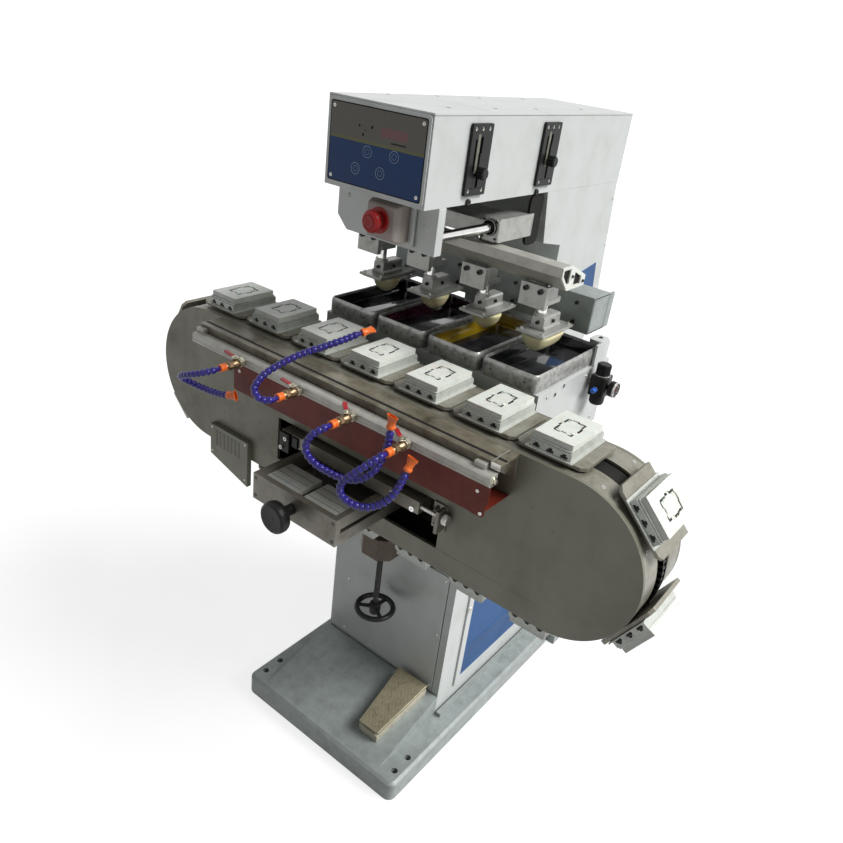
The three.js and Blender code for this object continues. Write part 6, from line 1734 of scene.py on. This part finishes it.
# %% Membrane panel
panel_x0, panel_x1, panel_y0, panel_y1, panel_z0, panel_z1 = span("control_panel")
split_z = 1488.0
film = Finish("membrane", "panel_film")
film_grain = film.noise(0.9, 2.0)
film_cloud = film.noise(40.0, 4.0)
film_z = film.axis("Z")
film_upper = film.mix(film_cloud, (0.165, 0.155, 0.135), (0.20, 0.19, 0.165))
film_lower = film.mix(film_cloud, (0.008, 0.040, 0.145), (0.013, 0.055, 0.18))
film_split = film.math("GREATER_THAN", film_z, split_z)
film_line_mask = film_split * film.math("LESS_THAN", film_z, split_z + 5)
film_colour = film.mix(film_split, film_lower, film_upper)
film_colour = film.mix(film_line_mask * 0.8, film_colour, (0.20, 0.21, 0.08))
membrane = film.done(film_colour, 0.30 + film_cloud * 0.18, 0.0, film_grain, 0.01, 0.22)

panel = Shape().prism("y", rounded(panel_x0, panel_x1, panel_z0, panel_z1, 7, 5), panel_y0 + 0.6, panel_y1)
piece("panel_plate", panel, grey_paint, 0.6, instead_of="control_panel")
inner = rounded(panel_x0 + 6, panel_x1 - 6, panel_z0 + 6, panel_z1 - 6, 5, 5)
piece("panel_border", Shape().prism("y", inner, panel_y0 + 0.2, panel_y0 + 1), dark_inside, 0)
sheet = rounded(panel_x0 + 8, panel_x1 - 8, panel_z0 + 8, panel_z1 - 8, 4, 5)
piece("panel_membrane", Shape().prism("y", sheet, panel_y0, panel_y0 + 0.9), membrane, 0.1)
window = Shape().prism("y", rounded(9.5, 72, 1505, 1521, 1, 3), panel_y0 - 0.1, panel_y0 + 0.5)
piece("panel_display", window, display_red, 0)
print_y0, print_y1 = panel_y0 - 0.08, panel_y0 + 0.4
keys = Shape()
for x, z in ((-17, 1475), (45, 1477), (-42.5, 1442), (16, 1444)):
    keys.tube("y", x, z, 10.5, 9.6, print_y0, print_y1, 36)
    keys.tube("y", x, z, 5.2, 4.6, print_y0, print_y1, 24)
piece("panel_key_rings", keys, film_line, 0)
marks = Shape()
for x, z, wide, tall in (
    (-40, 1516, 4, 4), (-10, 1517, 5, 5), (-30, 1502, 4, 5), (-26, 1510, 5, 1), (52, 1498, 34, 2.2),
):
    marks.box(x - wide / 2, x + wide / 2, print_y0, print_y1, z - tall / 2, z + tall / 2)
piece("panel_marks", marks, dark_inside, 0)
corners = grid((panel_x0 + 15, panel_x1 - 15), panel_y0, (panel_z0 + 15, panel_z1 - 15), "front")
screws("panel_screws", corners, 3.2, "flush")
print("panel", round(panel_x1 - panel_x0), "by", round(panel_z1 - panel_z0), "mm")

# %% [markdown]
# ## Slider plates
# Two black plates on the head's right side guide the knobs that set the stroke's end points. Each has two
# slots side by side, ringed holes above and below, and a notched knob that rides in the longer slot.

# %% Slider plates and knobs
ring_radius, knob_sides = 3.9, 48
for label in ("front", "rear"):
    x0, x1, y0, y1, z0, z1 = span(f"slider_plate_{label}")
    middle = (y0 + y1) / 2
    holes = [(middle + y, z0 + 9) for y in (-22, 22)] + [(middle + y, z1 - 9) for y in (-22, 0, 22)]
    long_slot = rounded(middle - 3.5, middle + 3.5, z0 + 14, z1 - 22, 3.4, 5)
    short_slot = rounded(middle - 20, middle - 15, z0 + 44, z1 - 26, 2.4, 4)
    cut_outs = [long_slot, short_slot, *[circle(y, z, ring_radius, 20) for y, z in holes]]
    plate = Shape().prism("x", [rounded(y0, y1, z0, z1, 3, 3), *cut_outs], x0, x1)
    piece(f"slider_{label}_plate", plate, black_plastic, instead_of=f"slider_plate_{label}")
    face = Shape().prism("x", [rectangle(middle - 13, middle - 6, z0 + 40, z1 - 18)], x1 - 0.2, x1 + 0.25)
    piece(f"slider_{label}_scale", face, plate_steel, 0)
    # A near-black sheet behind the slots: painted shade in them.
    slot_shade_sheet = Shape().box(x0 - 0.2, x0 + 1.5, middle - 21, middle + 4, z0 + 13, z1 - 21)
    piece(f"slider_{label}_backing", slot_shade_sheet, dark_inside, 0)
    eyelets = Shape()
    for y, z in holes:
        eyelets.tube("x", y, z, ring_radius, 2.2, x0 + 1, x1 - 1.2, 20)
    piece(f"slider_{label}_eyelets", eyelets, jig_white, 0.2)
    knob_x0, knob_x1, knob_y0, knob_y1, knob_z0, knob_z1 = span(f"slider_knob_{label}")
    knob_y, knob_z = (knob_y0 + knob_y1) / 2, knob_z0 + 11
    notches = []
    for i, (u, v) in enumerate(circle(0, 0, 1, knob_sides)):
        radius = 11.0 if i % 4 < 2 else 9.6
        notches.append((knob_y + radius * u, knob_z + radius * v))
    knob = Shape().prism("x", notches, x1 + 3.5, knob_x1 - 1)
    knob.rod("x", knob_y, knob_z, 7.5, x1 + 0.5, x1 + 3.6, 28)
    knob.rod("x", knob_y, knob_z, 8.6, knob_x1 - 1.2, knob_x1, 28)
    knob.box(x1 + 0.6, x1 + 3.2, knob_y - 4, knob_y + 4, knob_z, knob_z1)
    knob.rod("x", knob_y, knob_z, 3, knob_x0, x1 + 1, 20)
    piece(f"slider_{label}_knob", knob, black_plastic, 0.5, f"slider_{label}", f"slider_knob_{label}")
print("slider plates at y", [round(span(f"slider_plate_{label}")[2]) for label in ("front", "rear")])

# %% [markdown]
# ## Apron, emergency stop, shafts and carriage
# The apron closes the front under the head. It carries the emergency stop in a pinkish grey box, and the
# front ends of two chromed shafts. On them slides the carriage, in two bearing blocks with black ring
# seals.

# %% Apron and emergency stop
apron_x0, apron_x1, _, apron_back, apron_z0, apron_z1 = span("apron_plate")
apron_front = -280.0
chamfer = 26.0
apron = Shape().prism("y", [
    (apron_x0, apron_z1), (apron_x0, apron_z0 + chamfer), (apron_x0 + chamfer, apron_z0),
    (apron_x1, apron_z0), (apron_x1, apron_z1),
], apron_front, apron_back)
piece("apron_sheet", apron, grey_paint, 1.2, instead_of="apron_plate")
stop_x0, stop_x1, stop_z0, stop_z1 = -16.0, 60.0, 1325.0, 1395.0
stop_y0 = -322.0
stop_x, stop_z = 20.0, 1362.0
rings = []
for inset, y, radius in (
    (0, apron_front - 0.3, 4), (0, stop_y0 + 14, 4), (1.2, stop_y0 + 12, 4), (3.5, stop_y0 + 3, 5),
    (6.5, stop_y0, 5),
):
    outline = rounded(stop_x0 + inset, stop_x1 - inset, stop_z0 + inset, stop_z1 - inset, radius, 4)
    rings.append([(x, y, z) for x, z in outline])
piece("stop_box", Shape().loft(rings), stop_box_grey, 0.6)
flange_z0, flange_z1 = apron_z0 + 8, apron_z1 - 3
flange = Shape().box(stop_x1 + 9, stop_x1 + 15, apron_front - 9, apron_front - 0.3, flange_z0, flange_z1)
flange.box(stop_x1 + 0.4, stop_x1 + 15, apron_front - 3, apron_front - 0.3, flange_z0, flange_z1)
piece("stop_flange", flange, grey_paint, 0.8)
apron_places = [(x, apron_front, z, "front") for x, z in ((95, 1362), (-95, 1380))]
screws("apron_screws", apron_places, 4.2, "round", grey_paint)
button_y0 = span("estop_button")[2]
button = Shape().lathe("y", stop_x, stop_z, [
    (0, 0.8), (8, 0.4), (11.5, 0.1), (12, 1.2), (13.6, 1.3), (14.2, 0.3), (17.5, 2.2), (20, 5.2), (21, 9),
    (20.4, 13), (17.5, 16), (9.4, 16.2), (8.6, 20), (8.6, 44), (0, 44),
], 56, start=button_y0)
piece("stop_button_head", button, signal_red, 0, "stop_button", "estop_button")
arrows = Shape()
for start in (20, 140, 260):
    end = start + 70
    tip_rule = ((11, end), (8.4, end + 14), (5.8, end))
    tip = [arc(stop_x, stop_z, radius, angle, angle, 1)[0] for radius, angle in tip_rule]
    outer, inner = arc(stop_x, stop_z, 9.2, start, end, 8), arc(stop_x, stop_z, 7.6, end, start, 8)
    arrows.prism("y", outer + tip + inner, button_y0, button_y0 + 0.9)
piece("stop_button_arrows", arrows, lever_red, 0, "stop_button")
ring = Shape().lathe("y", stop_x, stop_z, [
    (12, -0.1), (24, -0.1), (24, -1.6), (22, -2.6), (12, -2.6),
], 48, closed=True, start=stop_y0)
piece("stop_ring", ring, signal_red, 0)
print("button front at", round(button_y0, 1))

# %% Shafts and carriage
for node in ("guide_shaft_left", "guide_shaft_right"):
    x0, x1, y0, y1, z0, z1 = span(node)
    shaft = Shape().rod("y", (x0 + x1) / 2, (z0 + z1) / 2, (x1 - x0) / 2, y0, y1, 56)
    piece(node + "_turned", shaft, chrome, 0.8, instead_of=node)
shaft_x, shaft_z = 95.0, 1338.0
carriage_y0, carriage_y1 = span("carriage_block")[2], span("carriage_block")[3]
from_node("carriage_block", aluminium, body="carriage")
caps, seals, seal_long = Shape(), Shape(), 5.4
cap_outline = [(-22, -20), (-14, -28), (14, -28), (22, -20), (22, 12), (14, 20), (-14, 20), (-22, 12)]
seal_profile = [(10.6, 0), (15, 0), (17, 2), (17, seal_long), (10.6, seal_long)]
bearing_places, bearing_zs = [], (shaft_z - 21, shaft_z + 14)
for centre in (-shaft_x, shaft_x):
    for low in (carriage_y0 + 5, carriage_y1 - 8):
        caps.prism("y", [shifted(centre, shaft_z, cap_outline), circle(centre, shaft_z, 15.5)], low, low + 3)
    for low in (carriage_y0, carriage_y1 - seal_long):
        seals.lathe("y", centre, shaft_z, seal_profile, closed=True, start=low)
    bearing_places += grid((centre - 16, centre + 16), carriage_y0 + 5, bearing_zs, "front")
piece("bearing_end_caps", caps, aluminium, 0.5, "carriage")
piece("bearing_seals", seals, black_rubber, 0, "carriage")
screws("bearing_screws", bearing_places, 2.6, "cap", black_steel, "carriage")
print("carriage", round(carriage_y1 - carriage_y0), "mm long")

# %% [markdown]
# ## Pad beam, holders and pads
# The sloping beam is a bent plate with end plates, and under it hang four holders: a bracket, a chromed
# rod, a clamp block and a backing plate. The pads are turned silicone forms that are round at the tip. One
# is long like a boat. A pad's outline at every height is an ellipse, squarer on the long one, and one list
# says how far it has shrunk at each height, so one loft makes both kinds.

# %% Pad beam
beam_front, beam_half = -75.0, 285.0
heel_front, nose = -45.0, 30.0
beam_outside = [(beam_front, 1305), (beam_front, 1285), (heel_front, 1255), (nose, 1255), (nose, 1277)]
beam_section = [*beam_outside, (-35, 1305)]
fold = [
    *beam_outside, (nose - 5, 1276), (nose - 5, 1260), (heel_front + 2, 1260), (beam_front + 5, 1287),
    (beam_front + 5, 1300), (-36, 1300), (-5, 1288), (-3, 1292), (-35, 1305),
]
beam = Shape().prism("x", fold, 4 - beam_half, beam_half - 4)
piece("pad_beam_fold", beam, rail_aluminium, 0.8, "pad_head", "pad_beam")
ends = Shape()
hole_one = [(-69, 1299), (-69, 1288), (-50, 1269), (-41, 1269), (-41, 1299)]
hole_two = [(-20, 1290), (-20, 1262), (10, 1262), (10, 1277)]
for low, high in ((-beam_half, -beam_half + 4), (beam_half - 4, beam_half)):
    ends.prism("x", [beam_section, hole_one, hole_two], low, high)
piece("pad_beam_ends", ends, jig_white, 0.6, "pad_head")
# Near-black plates just inside the end plates' holes: painted shade in the hollow beam.
dark = Shape()
for side in (-1, 1):
    low, high = sorted((side * (beam_half - 8), side * (beam_half - 4.2)))
    dark.prism("x", [(-70, 1300), (-70, 1288), (-46, 1262), (22, 1262), (22, 1274), (-36, 1299)], low, high)
piece("pad_beam_hollow", dark, dark_inside, 0.2, "pad_head")
end_places = both_sides(beam_half, ((-31, 1283), (20, 1266)))
screws("pad_beam_screws", end_places, 3.0, "cap", black_steel, "pad_head")
piece("pad_beam_core", Shape().box(-140, 140, -50, 20, 1262, 1286), aluminium, 1.0, "pad_head")
posts = Shape()
for side in (-1, 1):
    posts.rod("z", side * 45, -28, 10, 1284, 1346, 32)
piece("stroke_posts", posts, chrome, 0.6, "pad_head")
print("beam", 2 * beam_half, "mm long")

# %% Pad holders
pad_xs = [(span(f"pad_{i}")[0] + span(f"pad_{i}")[1]) / 2 for i in range(1, 5)]
plate_z0, plate_z1 = 1137.0, 1147.0
clamp_outline = [
    (-19, 0.3), (19, 0.3), (19, 5), (15, 9), (15, 26), (12, 30), (-12, 30), (-15, 26), (-15, 9), (-19, 5),
]
brackets, rods, clamps, plates = Shape(), Shape(), Shape(), Shape()
for x in pad_xs:
    brackets.box(x - 31, x + 31, -62, -48, 1206, 1255)
    brackets.box(x - 31, x + 31, -48, 5, 1214, 1226)
    brackets.box(x - 31, x - 24, -48, -12, 1226, 1254)
    brackets.box(x + 24, x + 31, -48, -12, 1226, 1254)
    rods.rod("z", x, -6, 11, 1177, 1220, 36)
    rods.rod("z", x, -6, 6, 1225, 1250, 24)
    clamps.prism("y", shifted(x, plate_z1, clamp_outline), -15, 55)
    clamps.tube("z", x, -6, 15, 11.2, 1176, 1184, 32)
    plates.box(x - 33.5, x + 33.5, -44, 90, plate_z0 + 4, plate_z1)
    plates.box(x - 29, x + 29, -36, 82, plate_z0, plate_z0 + 4.2)
piece("pad_brackets", brackets, aluminium, 1.2, "pad_head")
piece("pad_rods", rods, chrome, 0.6, "pad_head")
piece("pad_clamps", clamps, aluminium, 1.0, "pad_head")
piece("pad_plates", plates, aluminium, 0.8, "pad_head")
bracket_screws, clamp_screws, plate_screws = [], [], []
for x in pad_xs:
    bracket_screws += [(x + u, -62, 1243, "front") for u in (-17, 17)]
    clamp_screws += [(x, -15, 1163, "front"), (x + 15, 22, 1164, "right"), (x - 15, 22, 1164, "left")]
    plate_screws += [(x + u, v, plate_z1, "up") for u in (-26, 26) for v in (-34, 80)]
screws("bracket_screws", bracket_screws, 5.6, "cap", black_steel, "pad_head")
screws("clamp_screws", clamp_screws, 4.2, "cap", black_steel, "pad_head")
screws("plate_screws", plate_screws, 3.4, "cap", zinc, "pad_head")
print("pads at x", [round(x, 1) for x in pad_xs])

# %% Silicone pads
pad_rule = [
    (0.0, 0.94), (0.03, 1.0), (0.16, 1.0), (0.22, 0.97), (0.40, 0.90), (0.56, 0.80), (0.70, 0.66),
    (0.82, 0.49), (0.91, 0.32), (0.97, 0.16), (1.0, 0.0),
]
for i in range(1, 5):
    x0, x1, y0, y1, z0, z1 = span(f"pad_{i}")
    middle_x, middle_y, wide, long = (x0 + x1) / 2, (y0 + y1) / 2, (x1 - x0) / 2, (y1 - y0) / 2
    boat = long > 1.3 * wide
    square = 0.62 if boat else 1.0
    rings = []
    for drop, share in pad_rule:
        across = max(share, 0.001)
        lengthwise = 0.45 + 0.55 * share if boat else across
        z = z1 - (z1 - z0) * drop
        ring = []
        for u, v in circle(0, 0, 1, 56):
            u, v = math.copysign(abs(u) ** square, u), math.copysign(abs(v) ** square, v)
            ring.append((middle_x + wide * across * u, middle_y + long * lengthwise * v, z))
        rings.append(ring)
    piece(f"pad_{i}_silicone", Shape().loft(rings), silicone, 0, "pad_head", f"pad_{i}", crease=60)
print("pads:", 4)

# %% [markdown]
# ## Air regulator
# A small regulator hangs on the right wing: a black body with a ribbed knob above and a bowl below, a gauge
# that faces out, nickel fittings and two blue push-in connectors. Ribs round a knob are copies turned about
# its axis.

# %% Regulator
reg_x, reg_y, reg_z = 326.0, 150.0, 1010.0
reg_low, reg_high = span("air_regulator")[4], span("air_regulator")[5]
reg_outline = rounded(reg_x - 19, reg_x + 19, reg_y - 21, reg_y + 21, 6, 5)
body = Shape().prism("z", reg_outline, reg_z - 24, reg_z + 24)
bowl = [(9, reg_low), (14.5, reg_low + 1.5), (17, reg_low + 6), (17.5, reg_z - 24)]
body.lathe("z", reg_x, reg_y, bowl, 36)
body.lathe("z", reg_x, reg_y, [
    (18, reg_z + 24), (18, reg_z + 26), (15, reg_z + 27), (15, reg_high - 1.5), (13, reg_high),
])
piece("regulator_body", body, black_plastic, 1.0, instead_of="air_regulator")
rib = Shape().box(-0.9, 0.9, 14.4, 16.2, reg_z + 29, reg_high - 2)
ribs = [((reg_x, reg_y, 0), (0.0, 0.0, math.tau * i / 22), 1.0) for i in range(22)]
repeated("regulator_knob_ribs", rib, ribs, black_plastic)
ring = Shape().tube("z", reg_x, reg_y, 18.6, 15.2, reg_z + 24.4, reg_z + 26.2, 40)
piece("regulator_ring", ring, zinc, 0.3)
gauge_end = span("air_regulator")[1]
gauge_profile = [(6, reg_x + 18 - gauge_end), (6, -18), (17, -16.5), (18.4, -14), (18.4, -3)]
piece("gauge_case", Shape().lathe("x", reg_y, reg_z, gauge_profile, 44, start=gauge_end), black_plastic)
bezel = Shape().tube("x", reg_y, reg_z, 18.8, 16.4, gauge_end - 4, gauge_end, 44)
piece("gauge_bezel", bezel, polished_steel)
dial = Shape().rod("x", reg_y, reg_z, 16.5, gauge_end - 3.2, gauge_end - 2.2, 44)
piece("gauge_dial", dial, black_plastic, 0)
tick = Shape().box(-0.1, 0.3, -0.5, 0.5, 10.5, 13)
ticks = [((gauge_end - 2.2, reg_y, reg_z), (math.radians(a), 0.0, 0.0), 1.0) for a in range(-130, 131, 20)]
repeated("gauge_ticks", tick, ticks, jig_white, 0)
needle_outline = shifted(reg_y, reg_z, [(-1, -3), (1, -3), (6.3, 10)])
piece("gauge_needle", Shape().prism("x", needle_outline, gauge_end - 2, gauge_end - 1.4), signal_red, 0)
fittings = Shape()
fittings.prism("y", circle(reg_x, reg_z + 4, 7, 6), reg_y + 17, reg_y + 25)
fittings.lathe("y", reg_x, reg_z + 4, [(4, 25), (5.4, 26), (5.4, 33)], 24, start=reg_y)
fittings.prism("y", circle(reg_x, reg_z - 6, 7, 6), reg_y - 25, reg_y - 17)
fittings.prism("x", circle(reg_y, reg_z - 2, 8, 6), bed_x1 + 0.2, reg_x - 17)
piece("regulator_fittings", fittings, nickel)
push = Shape()
push.lathe("y", reg_x, reg_z - 6, [(6.2, -25), (6.2, -36), (5, -38), (3.2, -38)], 28, start=reg_y)
push.lathe("y", reg_x, reg_z + 4, [(6.2, 33), (6.2, 43), (5, 45), (3.2, 45)], 28, start=reg_y)
piece("regulator_push_fittings", push, fitting_blue, 0.3)
print("regulator at", reg_x, reg_y, reg_z)

# %% [markdown]
# ## Foot pedal
# The pedal is a casting with a diamond tread and a lighter skirt. The diamonds stand in offset rows on a
# sloping plate, so each copy is turned with the slope. A short steel cable goes from its back into the
# pedestal.

# %% Pedal
tread_x0, tread_x1, tread_y0, tread_y1, tread_z0, tread_z1 = span("pedal_treadle")
skirt_tall = 20.0
pedal_x = (tread_x0 + tread_x1) / 2
toe_half, heel_half = 31.0, (tread_x1 - tread_x0) / 2 - 8
tread_thick = 6.0
tread_rise = (tread_z1 - tread_z0 - tread_thick) / (tread_y1 - tread_y0)
from_node("pedal_cable", zinc, 0)


def tread_half(y):
    return toe_half + (heel_half - toe_half) * (y - tread_y0) / (tread_y1 - tread_y0)


def tread_top(y):
    return tread_z0 + tread_thick + tread_rise * (y - tread_y0)


def pedal_layer(inset, lower, y_inset=0.0):
    """One outline of the tapered pedal, that far inside its edge and below its sloping top."""
    toe, heel = tread_y0 + y_inset, tread_y1 - y_inset
    ring = []
    for y, side in ((toe, -1), (toe, 1), (heel, 1), (heel, -1)):
        ring.append((pedal_x + side * (tread_half(y) - inset), y, tread_top(y) - lower))
    return ring


base_gap = tread_z1 - span("pedal_base")[5]
treadle = Shape().loft([pedal_layer(0, tread_thick), pedal_layer(0, 1.5), pedal_layer(1.5, 0, 1.5)])
piece("pedal_tread_plate", treadle, cast_pedal, 1.4, "treadle", "pedal_treadle", steps=3)
skirt = Shape().loft([
    pedal_layer(1, base_gap + skirt_tall), pedal_layer(1, base_gap + 1.0), pedal_layer(4, base_gap, 3),
])
piece("pedal_skirt", skirt, cast_skirt, 1.2, instead_of="pedal_base")
tread_normal = Vector((0, -tread_rise, 1)).normalized()
tread_turn = tread_normal.to_track_quat("Z", "Y")
diamond = Shape().loft([
    [(-5.0, 0, -0.2), (0, -2.6, -0.2), (5.0, 0, -0.2), (0, 2.6, -0.2)],
    [(-3.0, 0, 1.1), (0, -1.3, 1.1), (3.0, 0, 1.1), (0, 1.3, 1.1)],
])
diamond_step, diamond_row = 11.0, 7.0
spots = []
for row in range(1, int((tread_y1 - tread_y0 - 6) / diamond_row)):
    y = tread_y0 + row * diamond_row + 4
    count = int(2 * (tread_half(y) - 7) / diamond_step)
    for column in range(count + 1 - row % 2):
        x = pedal_x + (column - (count - row % 2) / 2) * diamond_step
        lean = Euler((0, 0, 0.5 if (row + column) % 2 else -0.5)).to_quaternion()
        spots.append(((x, y, tread_top(y) - 0.1), tuple((tread_turn @ lean).to_euler()), 1.0))
repeated("pedal_diamonds", diamond, spots, cast_pedal, 0, "treadle")
print("pedal diamonds:", len(spots), "tread rise:", round(tread_rise, 3))
